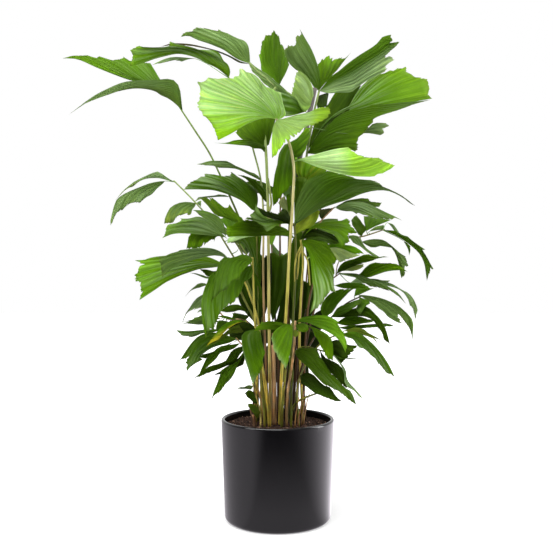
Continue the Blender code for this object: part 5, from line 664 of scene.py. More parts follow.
# Canes and dead or cut stalks: place at the soil, radius at foot and end, colour, line.
stubs = {
    "cane_fibrous": {
        "root": (-0.4, -1.4), "thick": (0.6, 0.45), "colour": (0.28, 0.17, 0.08),
        "line": "-0.4,30,-1.6 -0.5,36,-1.4 -0.7,43,-1",
    },
    "cane_brown": {
        "root": (-0.9, 1.4), "thick": (0.42, 0.3), "colour": (0.22, 0.13, 0.06),
        "line": "-1.1,32,1.2 -1.1,40,1.2 -1.2,46,1.4",
    },
    "stub_left": {
        "root": (-6.1, -0.6), "thick": (0.34, 0.24), "colour": (0.13, 0.08, 0.05),
        "line": "-6.4,25.6,-0.8 -6.9,27.6,-1",
    },
    "stub_left_low": {
        "root": (-5.2, -3.6), "thick": (0.38, 0.3), "colour": (0.2, 0.12, 0.07),
        "line": "-5.4,24.6,-3.8 -5.7,25.8,-4",
    },
    "dead_stalk_a": {
        "root": (5.0, -3.2), "thick": (0.2, 0.1), "colour": (0.25, 0.14, 0.07),
        "line": "5.4,26,-3.4 5.9,28.6,-3.6 6.6,31.6,-3.8",
    },
    "dead_stalk_b": {
        "root": (5.8, -2.0), "thick": (0.2, 0.1), "colour": (0.22, 0.12, 0.06),
        "line": "6.2,26,-2 6.6,28.6,-2 7.1,30.6,-2",
    },
    "dead_stalk_c": {
        "root": (6.4, -0.6), "thick": (0.18, 0.09), "colour": (0.3, 0.18, 0.09),
        "line": "6.8,26,-0.6 7.3,29,-0.6 7.9,31,-0.6",
    },
    "dead_stalk_d": {
        "root": (4.2, -3.9), "thick": (0.18, 0.09), "colour": (0.3, 0.2, 0.1),
        "line": "4.5,25.6,-4 4.9,28,-4.2 5.3,30,-4.4",
    },
    "cane_dark_middle": {
        "root": (0.2, 3.4), "thick": (0.46, 0.36), "colour": (0.1, 0.06, 0.03),
        "line": "0.2,32,3.4 0.1,38,3.2 0,42,3",
    },
    "cane_dark_left": {
        "root": (-3.4, 3.0), "thick": (0.42, 0.34), "colour": (0.09, 0.06, 0.03),
        "line": "-3.6,31,3 -3.8,36,3 -4,40,3",
    },
    "cane_dark_right": {
        "root": (4.6, 2.4), "thick": (0.44, 0.34), "colour": (0.09, 0.06, 0.03),
        "line": "4.9,31,2.4 5.1,35,2.4 5.3,38,2.4",
    },
}


view = {"station": 215.0, "eye": 66.4}
potSize = {
    "height": 0.25,
    "rim": 0.14,
    "foot": 0.131,
    "wall": 0.0075,
    "footRound": 0.012,
    "lip": 0.0048,
    "floor": 0.008,
    "soil": 0.232,
    "widening": 0.0083,
    "belowSoil": 0.004,
    "cove": 0.01,
    "segments": 160,
}
# the solids' own numbers: centimetres as drawn, but gap and boxGap in metres; tries are step and most
cadLook = {
    "blade": 0.1,
    "petiolule": 0.13,
    "slack": 0.3,
    "slackShare": 0.22,
    "clear": 0.05,
    "gap": 0.0003,
    "sag": 0.06,
    "swingFrom": 4,
    "bendFrom": 27,
    "bendOver": 22,
    "stalk": 0.3,
    "sideStart": 0.9,
    "sideEnd": 0.6,
    "stalkRise": 1.5,
    "stubRise": 1.0,
    "stubPoints": 5,
    "spineStep": 9,
    "samples": 241,
    "endGap": 0.3,
    "near": 0.5,
    "apart": 0.04,
    "scatter": 0.3,
    "testBlade": 0.3,
    "boxGap": 0.0004,
    "footRings": (0.45, 0.9, 1.4, 2.0, 2.8),
    "stalkTries": (0.5, 4),
    "leafTries": (0.6, 15),
}


# rows of numbers from words such as 1.5,20,-3
def numbersOf(text):
    return np.array([[float(n) for n in p.split(",")] for p in text.split()], float)


# position on a line = cubic Hermite between its points at an even share of its length
def alongLine(points, count, smooth=True, share=None):
    points = np.asarray(points, float)
    steps = np.maximum(np.linalg.norm(np.diff(points, axis=0), axis=1), 1e-6)
    at = np.concatenate([[0.0], np.cumsum(steps)])
    where = np.linspace(0.0, at[-1], count) if share is None else share * at[-1]
    k = np.clip(np.searchsorted(at, where, side="right") - 1, 0, len(steps) - 1)
    s = ((where - at[k]) / steps[k])[:, None]
    if not smooth or len(points) == 2:
        return points[k] * (1 - s) + points[k + 1] * s
    slope = np.diff(points, axis=0) / steps[:, None]
    tangent = np.vstack([slope[:1], (slope[1:] + slope[:-1]) / 2, slope[-1:]])
    h = steps[k][:, None]
    return (
        points[k] * (1 + 2 * s) * (1 - s) ** 2
        + tangent[k] * h * s * (1 - s) ** 2
        + points[k + 1] * s**2 * (3 - 2 * s)
        + tangent[k + 1] * h * s**2 * (s - 1)
    )


# metres = (a * k, depth, eye + (h - eye) * k) / 100 with k = (station + depth) / station
def placeDrawn(drawn):
    drawn = np.asarray(drawn, float)
    k = (view["station"] + drawn[..., 2]) / view["station"]
    up = view["eye"] + (drawn[..., 1] - view["eye"]) * k
    return np.stack([drawn[..., 0] * k, drawn[..., 2], up], axis=-1) / 100


# the reverse of placeDrawn, in centimetres
def drawnFrom(x, y, z):
    k = (view["station"] + y) / view["station"]
    return np.array([x / k, view["eye"] + (z - view["eye"]) / k, y])


# ring point = line + radius * (cos turn * across + sin turn * up), across being square to the line and to y
def tubeRings(line, radii, sides, flatFoot=False):
    line = np.asarray(line)
    ahead = np.gradient(line, axis=0)
    ahead /= np.linalg.norm(ahead, axis=1)[:, None]
    across = np.cross(ahead, (0.0, 1.0, 0.0))
    across /= np.linalg.norm(across, axis=1)[:, None]
    up = np.cross(across, ahead)
    turn = np.arange(sides) * 2 * math.pi / sides
    ring = np.cos(turn)[None, :, None] * across[:, None, :] + np.sin(turn)[None, :, None] * up[:, None, :]
    rings = line[:, None, :] + ring * np.asarray(radii)[:, None, None]
    if flatFoot:
        rings[0, :, 2] = line[0, 2]
    return rings


# quads between neighbouring rings, each ring closed
def ringFaces(rows, sides, start=0):
    i, j = np.meshgrid(np.arange(rows - 1), np.arange(sides), indexing="ij")
    k = (j + 1) % sides
    quads = np.stack([i * sides + j, i * sides + k, (i + 1) * sides + k, (i + 1) * sides + j], axis=-1)
    return quads.reshape(-1, 4) + start


# tube of a few sides with flat ends, as in the CAD
def coarseTube(line, radii, sides=5, flatFoot=False):
    rings = tubeRings(line, radii, sides, flatFoot)
    last = (len(line) - 1) * sides
    faces = [tuple(range(sides - 1, -1, -1)), tuple(range(last, last + sides))]
    return rings.reshape(-1, 3), faces + ringFaces(len(line), sides).tolist()


# outline turned so that its signed area is positive
def turnedLeft(outline):
    a, h = outline[:, 0], outline[:, 1]
    area = np.dot(a, np.roll(h, -1)) - np.dot(h, np.roll(a, -1))
    return outline if area > 0 else outline[::-1]


# keep the point farthest from the chord where it lies farther off than the slack, on either side too
def thinned(line, slack):
    if len(line) < 3:
        return line
    start, end = line[0, :2], line[-1, :2]
    ahead = end - start
    off = line[1:-1, :2] - start
    away = np.abs(ahead[0] * off[:, 1] - ahead[1] * off[:, 0]) / max(np.linalg.norm(ahead), 1e-9)
    k = int(away.argmax()) + 1
    if away[k - 1] < slack:
        return line[[0, -1]]
    return np.vstack([thinned(line[: k + 1], slack)[:-1], thinned(line[k:], slack)])


# flat plate: outline moved half the thickness to each side and closed by triangles
def coarsePlate(outline, thick):
    outline = turnedLeft(outline)
    count = len(outline)
    front, back = outline.copy(), outline.copy()
    front[:, 2] -= thick / 2
    back[:, 2] += thick / 2
    faces = []
    for i, j, k in tessellate_polygon([[Vector((a, h, 0)) for a, h in outline[:, :2]]]):
        faces += [(i, j, k), (count + k, count + j, count + i)]
    for i in range(count):
        j = (i + 1) % count
        faces.append((j, i, count + i, count + j))
    return placeDrawn(np.vstack([front, back])), faces


# a leaflet = five fields: base; long edge; ragged end; short edge; depths of tip and shoulder
def leafletsOf(text):
    found = []
    for block in text.strip().split("\n\n"):
        base, longEdge, end, shortEdge, depths = [part.strip() for part in block.split(";")]
        leaf = {"base": numbersOf(base)[0], "long": numbersOf(longEdge), "end": numbersOf(end)}
        leaf["short"] = numbersOf(shortEdge) if shortEdge else np.zeros((0, 2))
        leaf["depths"] = [float(n) for n in depths.split()]
        leaf["order"] = len(found)
        found.append(leaf)
    return found


# depth = swing * distance from the axis beyond swingFrom
def swung(frond, a):
    return frond["swing"] * np.maximum(np.abs(a) - cadLook["swingFrom"], 0)


# a frond's stalks, the first one standing on the soil
def stalksOf(frond, move=(0, 0)):
    lines = [numbersOf(part) for part in frond["stalks"].split(";")]
    x, y = frond["root"][0] + move[0], frond["root"][1] + move[1]
    foot = drawnFrom(x, y, (potSize["soil"] + cadLook["gap"]) * 100)
    low = drawnFrom(x, y, potSize["soil"] * 100 + cadLook["stalkRise"])
    for line in lines:
        line[:, 2] += swung(frond, line[:, 0])
    lines[0] = np.vstack([foot, low, lines[0]])
    return lines


# whole frond moved in depth by the bias, eased in above the soil
def shifted(lines, bias):
    moved = []
    for line in lines:
        line = line.copy()
        rise = np.clip((line[:, 1] - cadLook["bendFrom"]) / cadLook["bendOver"], 0, 1)
        line[:, 2] += bias * rise * rise * (3 - 2 * rise)
        moved.append(line)
    for line in moved[1:]:
        line[0] = nearestOn(moved[:1], line[0])
    return moved


# five points and one more for every spineStep of the line's length
def spineOf(line):
    length = np.linalg.norm(np.diff(line, axis=0), axis=1).sum()
    return alongLine(line, 5 + int(length / cadLook["spineStep"]))


# point of the lines nearest to the spot as drawn, a little short of their ends
def nearestOn(lines, spot):
    best = None
    for line in lines:
        fine = alongLine(spineOf(line), cadLook["samples"], smooth=False)
        fine = fine[np.linalg.norm(fine - fine[-1], axis=1) > cadLook["endGap"]]
        far = np.hypot(fine[:, 0] - spot[0], fine[:, 1] - spot[1])
        k = int(far.argmin())
        if best is None or far[k] < best[0]:
            best = (far[k], fine[k])
    return best[1]


# share of the line's length up to each point
def fractions(line):
    steps = np.linalg.norm(np.diff(line, axis=0), axis=1)
    return np.concatenate([[0.0], np.cumsum(steps)]) / max(steps.sum(), 1e-9)


# outline with depths: edges run to tip and shoulder, the end sags between them, lift grows as 1 - (1 - u)^2
def leafOutline(leaf, depth, lift, frond):
    base, tip, shoulder = leaf["base"], leaf["long"][-1], leaf["end"][-1]
    toTip, toShoulder = leaf["depths"]
    out = np.vstack([base, leaf["long"]])
    end = np.vstack([tip, leaf["end"]])
    home = np.vstack([shoulder, leaf["short"], base])
    u, across, back = fractions(out), fractions(end), 1 - fractions(home)
    sag = cadLook["sag"] * min(np.linalg.norm(tip - shoulder), np.linalg.norm(tip - base))
    out = np.column_stack([out, depth + u * toTip + lift * (1 - (1 - u) ** 2)])
    deep = depth + lift + toTip + across * (toShoulder - toTip) - sag * np.sin(math.pi * across)
    end = np.column_stack([end, deep])
    home = np.column_stack([home, depth + back * toShoulder + lift * (1 - (1 - back) ** 2)])
    loop = np.vstack([out[:-1], end[:-1], home[:-1]])
    area = abs(np.dot(loop[:, 0], np.roll(loop[:, 1], -1)) - np.dot(loop[:, 1], np.roll(loop[:, 0], -1))) / 2
    slack = min(cadLook["slack"], cadLook["slackShare"] * area / np.linalg.norm(tip - base))
    for line in (out, end, home):
        line[:, 2] += swung(frond, line[:, 0]) - swung(frond, base[0])
    return np.vstack([thinned(line, slack)[:-1] for line in (out, end, home)])


# the stalks as the CAD has them, side stalks thinner
def stalkSolids(frond, lines):
    thick, thin = frond["thick"]
    solids = []
    for i, line in enumerate(lines):
        path = placeDrawn(spineOf(line))
        start = thick if i == 0 else thin * cadLook["sideStart"]
        end = thin if i == 0 else thin * cadLook["sideEnd"]
        solids.append(coarseTube(path, np.linspace(start, end, len(path)) / 100, flatFoot=i == 0))
    return solids


# where a leaflet is held, and the line of its short stalk
def heldLeaf(leaf, lines, lift, frond):
    joint = nearestOn(lines, leaf["base"])
    near = np.hypot(*(joint[:2] - leaf["base"])) < cadLook["near"]
    apart = cadLook["apart"] * np.array([math.cos(2.4 * leaf["order"]), math.sin(2.4 * leaf["order"])])
    joint = joint + np.append(apart, cadLook["scatter"] * (0.618 * leaf["order"] % 1 - 0.5))
    held = dict(leaf, base=joint[:2]) if near else leaf
    heart = np.append((held["base"] + leaf["long"][0] + leaf["end"][-1]) / 3, 0)
    if len(leaf["short"]):
        heart[:2] = held["base"] * 0.5 + leaf["long"][0] * 0.25 + leaf["short"][-1] * 0.25
    reach = np.linalg.norm(heart[:2] - held["base"]) / np.linalg.norm(leaf["long"][-1] - held["base"])
    heart[2] = joint[2] + reach * np.mean(leaf["depths"]) + lift * (1 - (1 - reach) ** 2)
    heart[2] += swung(frond, heart[0]) - swung(frond, held["base"][0])
    start = joint if near else np.array([*leaf["base"], joint[2]])
    stem = [joint, start, start * 0.4 + heart * 0.6]
    if near:
        stem = [joint, joint * 0.3 + heart * 0.7]
    return held, joint, np.array(stem)


# a leaflet's plate and short stalk as the CAD has them
def leafSolids(leaf, lines, lift, frond, thick=cadLook["blade"]):
    held, joint, stem = heldLeaf(leaf, lines, lift, frond)
    blade = coarsePlate(leafOutline(held, joint[2], lift, frond), thick)
    return [blade, coarseTube(placeDrawn(stem), np.full(len(stem), cadLook["petiolule"] / 100), 4)]


# search tree of a solid with its box
def treeOf(solid):
    points, faces = solid
    return BVHTree.FromPolygons(points.tolist(), faces), points.min(axis=0), points.max(axis=0)


# whether any solid cuts one that is already placed
def meets(solids, placed):
    for solid in solids:
        tree, low, high = treeOf(solid)
        for other, otherLow, otherHigh in placed:
            if (low > otherHigh + cadLook["boxGap"]).any() or (high < otherLow - cadLook["boxGap"]).any():
                continue
            if tree.overlap(other):
                return True
    return False


# 0, -step, +step, -2 step and so on up to the most
def offsets(step, most):
    out = [0.0]
    for k in range(1, int(most / step) + 1):
        out += [-k * step, k * step]
    return out


# places to try for a foot: the drawn one, then rings of eight about it
def feetOf():
    feet = [(0.0, 0.0)]
    for ring in cadLook["footRings"]:
        feet += [(ring * math.cos(k * math.pi / 4), ring * math.sin(k * math.pi / 4)) for k in range(8)]
    return feet


# the CAD's own rule for giving every stalk and leaflet a clear depth, so that the blades follow its nodes
def settle():
    fat = 1 + 2 * cadLook["clear"] / cadLook["stalk"]
    tries = [(foot, bias) for foot in feetOf() for bias in offsets(*cadLook["stalkTries"])]
    stalks, leaves, placed = {}, {}, {}
    for name, frond in fronds.items():
        others = [tree for trees in placed.values() for tree in trees]
        wide = dict(frond, thick=tuple(t * fat for t in frond["thick"]))
        for move, bias in tries:
            lines = shifted(stalksOf(frond, move), bias)
            if not meets(stalkSolids(wide, lines), others):
                break
        stalks[name] = lines
        placed[name] = [treeOf(solid) for solid in stalkSolids(wide, lines)]
    for name, frond in fronds.items():
        others = [tree for other, trees in placed.items() if other != name for tree in trees]
        leaves[name] = []
        for leaf in leafletsOf(frond["leaves"]):
            for lift in offsets(*cadLook["leafTries"]):
                if not meets(leafSolids(leaf, stalks[name], lift, frond, thick=cadLook["testBlade"]), others):
                    break
            leaves[name].append((leaf, lift))
            placed[name] += [treeOf(solid) for solid in leafSolids(leaf, stalks[name], lift, frond)]
    return stalks, leaves, [tree for trees in placed.values() for tree in trees]


# a stub's line from the soil, moved by the foot that is being tried
def stubPath(stub, move):
    x, y = stub["root"][0] + move[0], stub["root"][1] + move[1]
    foot = drawnFrom(x, y, (potSize["soil"] + cadLook["gap"]) * 100)
    low = drawnFrom(x, y, potSize["soil"] * 100 + cadLook["stubRise"])
    rest = numbersOf(stub["line"])
    rest[:, 0] += move[0]
    rest[:, 2] += move[1]
    return np.vstack([foot, low, rest])


# stubs take the first foot at which they clear everything placed before
def settleStubs(placed):
    paths, count = {}, cadLook["stubPoints"]
    for name, stub in stubs.items():
        for move in sorted(set(feetOf()), key=lambda foot: math.hypot(*foot)):
            line = stubPath(stub, move)
            path = placeDrawn(alongLine(line, count))
            wide = np.linspace(*[t + cadLook["clear"] for t in stub["thick"]], count) / 100
            if not meets([coarseTube(path, wide, flatFoot=True)], placed):
                break
        placed.append(treeOf(coarseTube(path, np.linspace(*stub["thick"], count) / 100, flatFoot=True)))
        paths[name] = line
    return paths


# a node group with its named inputs and outputs
def groupNode(name, inputs, outputs):
    tree = bpy.data.node_groups.new(name, "ShaderNodeTree")
    for label, kind, default in inputs:
        socket = tree.interface.new_socket(label, in_out="INPUT", socket_type=kind)
        if default is not None:
            socket.default_value = default
    for label, kind in outputs:
        tree.interface.new_socket(label, in_out="OUTPUT", socket_type=kind)
    return tree, tree.nodes.new("NodeGroupInput"), tree.nodes.new("NodeGroupOutput")


# a socket is linked, a plain value is set
def plug(tree, value, socket):
    if isinstance(value, bpy.types.NodeSocket):
        tree.links.new(value, socket)
    else:
        socket.default_value = value


# inputs by name, or by number as _0, _1 and so on
def addNode(tree, kind, settings=None, **inputs):
    node = tree.nodes.new(kind)
    for key, value in (settings or {}).items():
        setattr(node, key, value)
    for key, value in inputs.items():
        plug(tree, value, node.inputs[int(key[1:])] if key[0] == "_" else node.inputs[key])
    return node


def mathNode(tree, operation, *values):
    node = tree.nodes.new("ShaderNodeMath")
    node.operation = operation
    for socket, value in zip(node.inputs, values):
        plug(tree, value, socket)
    return node.outputs[0]


def total(tree, first, *others):
    for value in others:
        first = mathNode(tree, "ADD", first, value)
    return first


def times(tree, one, two):
    return mathNode(tree, "MULTIPLY", one, two)


# amount * (value - 0.5), for a noise that swings about nothing
def centred(tree, value, amount):
    return times(tree, mathNode(tree, "SUBTRACT", value, 0.5), amount)


# value taken from low .. high to start .. end and held there outside
def ramp(tree, value, low, high, start=0.0, end=1.0, kind="LINEAR"):
    given = {"_0": value, "_1": low, "_2": high, "_3": start, "_4": end}
    return addNode(tree, "ShaderNodeMapRange", {"interpolation_type": kind}, **given).outputs[0]


def noise(tree, place, scale, detail, rough=0.5):
    given = {"Vector": place, "Scale": scale, "Detail": detail, "Roughness": rough}
    return addNode(tree, "ShaderNodeTexNoise", **given).outputs["Fac"]


def multiplied(tree, one, two):
    return addNode(tree, "ShaderNodeVectorMath", {"operation": "MULTIPLY"}, _0=one, _1=two).outputs[0]


def scaledBy(tree, colour, level):
    return addNode(tree, "ShaderNodeVectorMath", {"operation": "SCALE"}, _0=colour, Scale=level).outputs[0]


def lengthOf(tree, vector):
    return addNode(tree, "ShaderNodeVectorMath", {"operation": "LENGTH"}, _0=vector).outputs["Value"]


def splitOf(tree, vector):
    return addNode(tree, "ShaderNodeSeparateXYZ", _0=vector).outputs


def objectCoords(tree):
    return addNode(tree, "ShaderNodeTexCoord").outputs["Object"]


def attributeOf(tree, name, output):
    return addNode(tree, "ShaderNodeAttribute", {"attribute_name": name}).outputs[output]


def mixColour(tree, amount, one, two):
    node = addNode(tree, "ShaderNodeMix", {"data_type": "RGBA"}, _0=amount, _6=one, _7=two)
    return node.outputs[2]


def mixShader(tree, amount, one, two):
    return addNode(tree, "ShaderNodeMixShader", Fac=amount, _1=one, _2=two).outputs[0]


# colour, roughness, specular level and relief of a surface
def dress(tree, shader, colour, rough, specular, relief):
    strength, distance, height = relief
    plug(tree, colour, shader.inputs["Base Color"])
    plug(tree, rough, shader.inputs["Roughness"])
    shader.inputs["Specular IOR Level"].default_value = specular
    bump = addNode(tree, "ShaderNodeBump", Strength=strength, Distance=distance, Height=height)
    tree.links.new(bump.outputs["Normal"], shader.inputs["Normal"])


def newMaterial(name):
    material = bpy.data.materials.new(name)
    material.use_nodes = True
    tree = material.node_tree
    return material, tree, tree.nodes["Principled BSDF"], tree.nodes["Material Output"]


# faces all have the same number of corners; attributes are kept per point
def meshObject(name, points, quads, attributes, materials, indices, smooth=True):
    mesh = bpy.data.meshes.new(name)
    mesh.vertices.add(len(points))
    mesh.vertices.foreach_set("co", np.asarray(points, np.float32).reshape(-1))
    quads = np.asarray(quads, np.int32)
    mesh.loops.add(quads.size)
    mesh.polygons.add(len(quads))
    mesh.loops.foreach_set("vertex_index", quads.reshape(-1))
    mesh.polygons.foreach_set("loop_start", np.arange(len(quads), dtype=np.int32) * quads.shape[1])
    for material in materials:
        mesh.materials.append(material)
    mesh.polygons.foreach_set("material_index", np.asarray(indices, np.int32))
    mesh.polygons.foreach_set("use_smooth", np.full(len(quads), smooth))
    for key, values in attributes.items():
        kind = "FLOAT_COLOR" if key == "tone" else "FLOAT_VECTOR"
        layer = mesh.attributes.new(key, kind, "POINT")
        layer.data.foreach_set("color" if key == "tone" else "vector", np.asarray(values, np.float32).reshape(-1))
    mesh.update()
    mesh.validate()
    obj = bpy.data.objects.new(name, mesh)
    bpy.context.scene.collection.objects.link(obj)
    return obj


stalks, leaves, placedTrees = settle()
stubPaths = settleStubs(placedTrees)
print("depths settled")

leafLook = {
    "rows": 22,
    "columns": 90,
    "perCm": 5.0,
    "rowsPerCm": 0.9,
    "fewest": 8,
    "thick": 0.035,
    "footHalf": 0.0006,
    "sideTaper": 0.25,
    "endTaper": 0.3,
    "pleat": 0.1,
    "finePleat": 0.034,
    "pleatWidth": 2.1,
    "ripple": 0.016,
    "toothDepth": 0.62,
    "toothWidth": 0.62,
    "veinGap": 0.16,
    "relax": 70,
    "shadeSpan": (0.9, 1.12),
    "swell": 0.1,
}
# leaf colours; the pale and misty ones mostly serve as painted sheen and highlights, the near black one as painted
# shade
shades = {
    "lime": (0.31, 0.6, 0.01),
    "pale": (0.54, 0.76, 0.36),
    "celery": (0.285, 0.445, 0.115),
    "acid": (0.23, 0.4, 0.012),
    "bright": (0.18, 0.41, 0.012),
    "fresh": (0.14, 0.32, 0.004),
    "grass": (0.1, 0.218, 0.004),
    "mid": (0.072, 0.172, 0.006),
    "dark": (0.043, 0.096, 0.003),
    "deep": (0.018, 0.04, 0.002),
    "night": (0.006, 0.014, 0.002),
    "sage": (0.14, 0.24, 0.06),
    "mist": (0.27, 0.41, 0.175),
    "under": (0.4, 0.5, 0.2),
    "straw": (0.3, 0.39, 0.03),
    "olive": (0.13, 0.19, 0.018),
    "gold": (0.78, 0.69, 0.06),
    "bark": (0.12, 0.08, 0.04),
}
# Shade of each leaflet in the order of its frond's table, then other shades that it turns to:
# shade:axis/from/to:amount, the axis being a or h in drawn centimetres, u from base to end, v from the
# short edge to the long one, and a ~ after the amount breaking that shade into streaks along the veins.
# Besides each blade's own colour these words paint light: the pale and misty turns are painted sheen and
# highlights, some paler parts make up for shade on a blade that curls away, and the near black turns are painted
# shade.
leafTones = {
    "frond_front_bright": "grass fresh:u/.1/.8:.45 acid:u/.7/1:.4~"
    " | fresh mid:v/.4/.1:.5 bright:h/42/37:.5~ pale:u/.88/1:.6",
    "frond_front_right": "mid sage:v/.5/.9:.4~ bright:a/8/14:.7 | grass mid:u/.6/0:.6 fresh:u/.6/1:.4"
    " | dark grass:u/.4/1:.5 | olive",
    "frond_front_left": "mid fresh:h/44/37:.6 mist:a/-6/-8:.6~ pale:h/35.8/33:.8 | deep",
    "frond_lime": "lime pale:h/98/106:.6 pale:h/96/102:.9~"
    " | celery pale:h/96/101:.5~ lime:h/97/92:.75 acid:a/8/9.5:.9 | pale celery:v/.2/.6:.3~ lime:a/15/18.5:.85",
    "frond_top": "sage mist:u/.2/.8:.5~ night:v/.34/.12:.95 | sage mist:u/.2/.7:.6~ mid:v/.75/1:.6"
    " | deep bark:u/.1/.9:.5 | mid bright:v/.7/1:.6 fresh:v/.3/0:.7 dark:h/108/104:.5 | dark grass:u/.3/1:.6"
    " | dark sage:u/.1/.6:.5~ fresh:a/-7/-10:.7",
    "frond_centre": "grass deep:a/-1/-5:.7 fresh:a/-7/-12:.9 | grass sage:a/2/-6:.7 mist:a/0/-4:.4~"
    " | deep dark:u/.5/1:.4 | pale | mid sage:a/13/4:.8 sage:v/.5/.8:.7~ dark:h/84/76:.5~ mist:a/17/27:.6~"
    " | straw grass:v/.4/.6:.7~ dark:v/.7/.9:.5~",
    "frond_big_hanging": "grass dark:h/63/68:.5 bright:v/.3/.8:.4 pale:h/63/56:.95~ sage:h/62/54:.5"
    " | deep sage:u/.4/1:.4~ | dark sage:u/.2/.7:.6~ | grass sage:u/.2/.6:.5~ bright:u/.7/1:.4"
    " | bright mid:u/.6/0:.5 | under mist:u/.2/.9:.6~",
    "frond_low_fan_left": "mist grass:a/-18/-26:.7 sage:v/.3/.8:.6~",
    "frond_hanging_left": "mid mist:h/60/48:.5~ grass:a/-12/-8:.4 | mid mist:h/58/50:.6~ fresh:h/62/56:.4",
    "frond_wide_fan_left": "grass mist:v/.2/.6:.5~ bright:a/-26/-34:.6 | dark | sage",
    "frond_left_yellow": "bright gold:v/.45/.9:.85 | olive grass:u/.3/1:.4",
    "frond_low_left": "mid mist:u/.2/1:.35~ grass:v/.5/.9:.4 | mid grass:u/.5/1:.4 | dark mid:u/.3/1:.5"
    " | deep dark:u/.3/1:.3 | mid grass:u/.5/1:.5 | dark mid:u/.2/1:.3",
    "frond_low_right": "dark grass:u/.2/.8:.4 mist:u/.5/1:.25~ | deep dark:u/.4/1:.5 | mist | deep mid:u/.4/1:.5"
    " | mid",
    "frond_bottom_right": "deep night:v/.4/0:.4 mid:u/.3/1:.4",
    "frond_low_shoot": "olive mid:u/.2/.8:.5 | dark | sage",
    "frond_right_low": "mid mist:u/.2/1:.5~ | olive | straw",
    "frond_right_spray": "mid grass:u/.3/1:.4~ | mid | sage mid:v/.3/.8:.5~ grass:v/.6/1:.4 | dark mid:u/.4/1:.3~"
    " | mid sage:u/.2/.8:.5~ | mid sage:u/.2/1:.5 | mid grass:v/.2/.6:.8 | mid sage:u/.5/1:.4~",
    "frond_right_middle": "dark grass:v/.4/.8:.6~ | under straw:u/.4/1:.4 | sage mid:u/.5/1:.4~"
    " | grass dark:v/.5/.1:.5 fresh:u/.4/.8:.4~ | mist sage:v/.3/.8:.6~ | sage | mid fresh:u/.3/.9:.7 | mist",
    "frond_right_arching": "dark sage:u/.3/.8:.4~ | mid sage:u/.3/1:.25 | sage | mid sage:u/.3/1:.6~ | mid | mist"
    " | sage mid:v/.4/.9:.7~ | sage mist:u/.2/1:.5~",
    "frond_right_upper": "sage mist:u/.05/.4:.8~ grass:u/.65/1:.5 | dark grass:u/.3/1:.4~ | deep bark:u/.2/1:.4",
    "frond_fan_left": "sage mist:u/.1/.6:.8~ bright:a/-20/-28:.6 | sage mid:v/.3/.8:.6~"
    " | grass dark:v/.5/.8:.6~ bright:h/69/66:.4 | grass dark:u/.4/0:.6 olive:u/.5/1:.4~",
    "frond_far_left": "grass mist:u/.15/.5:.7~ bright:a/-30/-36:.6 olive:a/-36/-45:.5 | mist"
    " | sage mist:u/.2/.9:.6~ | dark",
    "frond_upper_left": "sage mist:u/.2/.8:.5~ olive:v/.7/.3:.4 mid:a/-31/-22:.5"
    " | mid sage:u/.1/.5:.6~ fresh:a/-30/-45:.5 | mist",
    "frond_left": "mid mist:a/-8/-18:.9~ deep:v/.5/.2:.4 | dark sage:v/.3/.8:.5~ | deep mid:u/.3/.8:.7",
    "frond_mid_left": "mist straw:u/.5/1:.4 | sage mist:u/.2/1:.6~ | sage straw:u/.4/1:.5~ | mist",
    "frond_left_behind": "dark mid:u/.3/1:.4 | dark | mid | mid | mid mist:u/.2/.8:.5~ | sage grass:u/.4/1:.5"
    " | sage | mist sage:v/.3/.8:.6~ | sage | mist",
    "frond_upper_right": "mid sage:u/.1/.6:.95 mid:v/.6/1:.5 | grass mid:u/.5/0:.6 bright:u/.5/1:.5~"
    " | mid mist:v/.75/.4:.8 pale:v/.6/.1:.8~ | deep mid:u/.4/1:.5"
    " | bright pale:a/29/19:.85~ acid:u/.6/1:.4 fresh:v/.3/.7:.4~"
    " | mid dark:v/.6/.3:.6~ grass:a/12/20:.4 sage:a/25/33:.6 | dark grass:v/.6/.9:.6~ mid:u/.5/1:.4"
    " | sage mist:u/.3/1:.5~ | fresh straw:v/0/.3:.8~ bright:v/.3/.6:.6~ mid:v/.6/.9:.6~",
    "frond_dark_centre": "mid sage:h/84/90:.6~ fresh:h/87/80:.7 | mid fresh:u/.2/1:.6~ | grass mid:u/.5/1:.4"
    " | under bark:u/.2/1:.4 | dark grass:u/.2/1:.4~",
    "frond_grey_cane": "celery pale:v/.3/.8:.5~ bright:h/104/98:.85 | mid mist:u/.2/.6:.8~",
    "frond_back_high": "mid | dark | fresh | mid",
    "frond_back_middle": "dark | mid | fresh | mid",
    "frond_back_right": "dark | mid | mid | fresh",
    "frond_back_left": "dark | mid | mid | dark | mid",
    # the inner fronds are kept deep and near black as painted shade deep in the clump
    "frond_inner_left": "deep mid:u/.3/1:.3~ | night dark:v/.2/.8:.6~ | deep dark:u/.3/1:.5 | deep",
    "frond_inner_middle": "dark deep:v/.4/.7:.7~ | deep dark:v/.3/.8:.4~ | night | night",
    "frond_inner_right": "deep dark:u/.4/1:.4~ | deep dark:u/.5/1:.4 | night | night | night"
    " | dark deep:v/.3/.8:.5~ | dark",
}


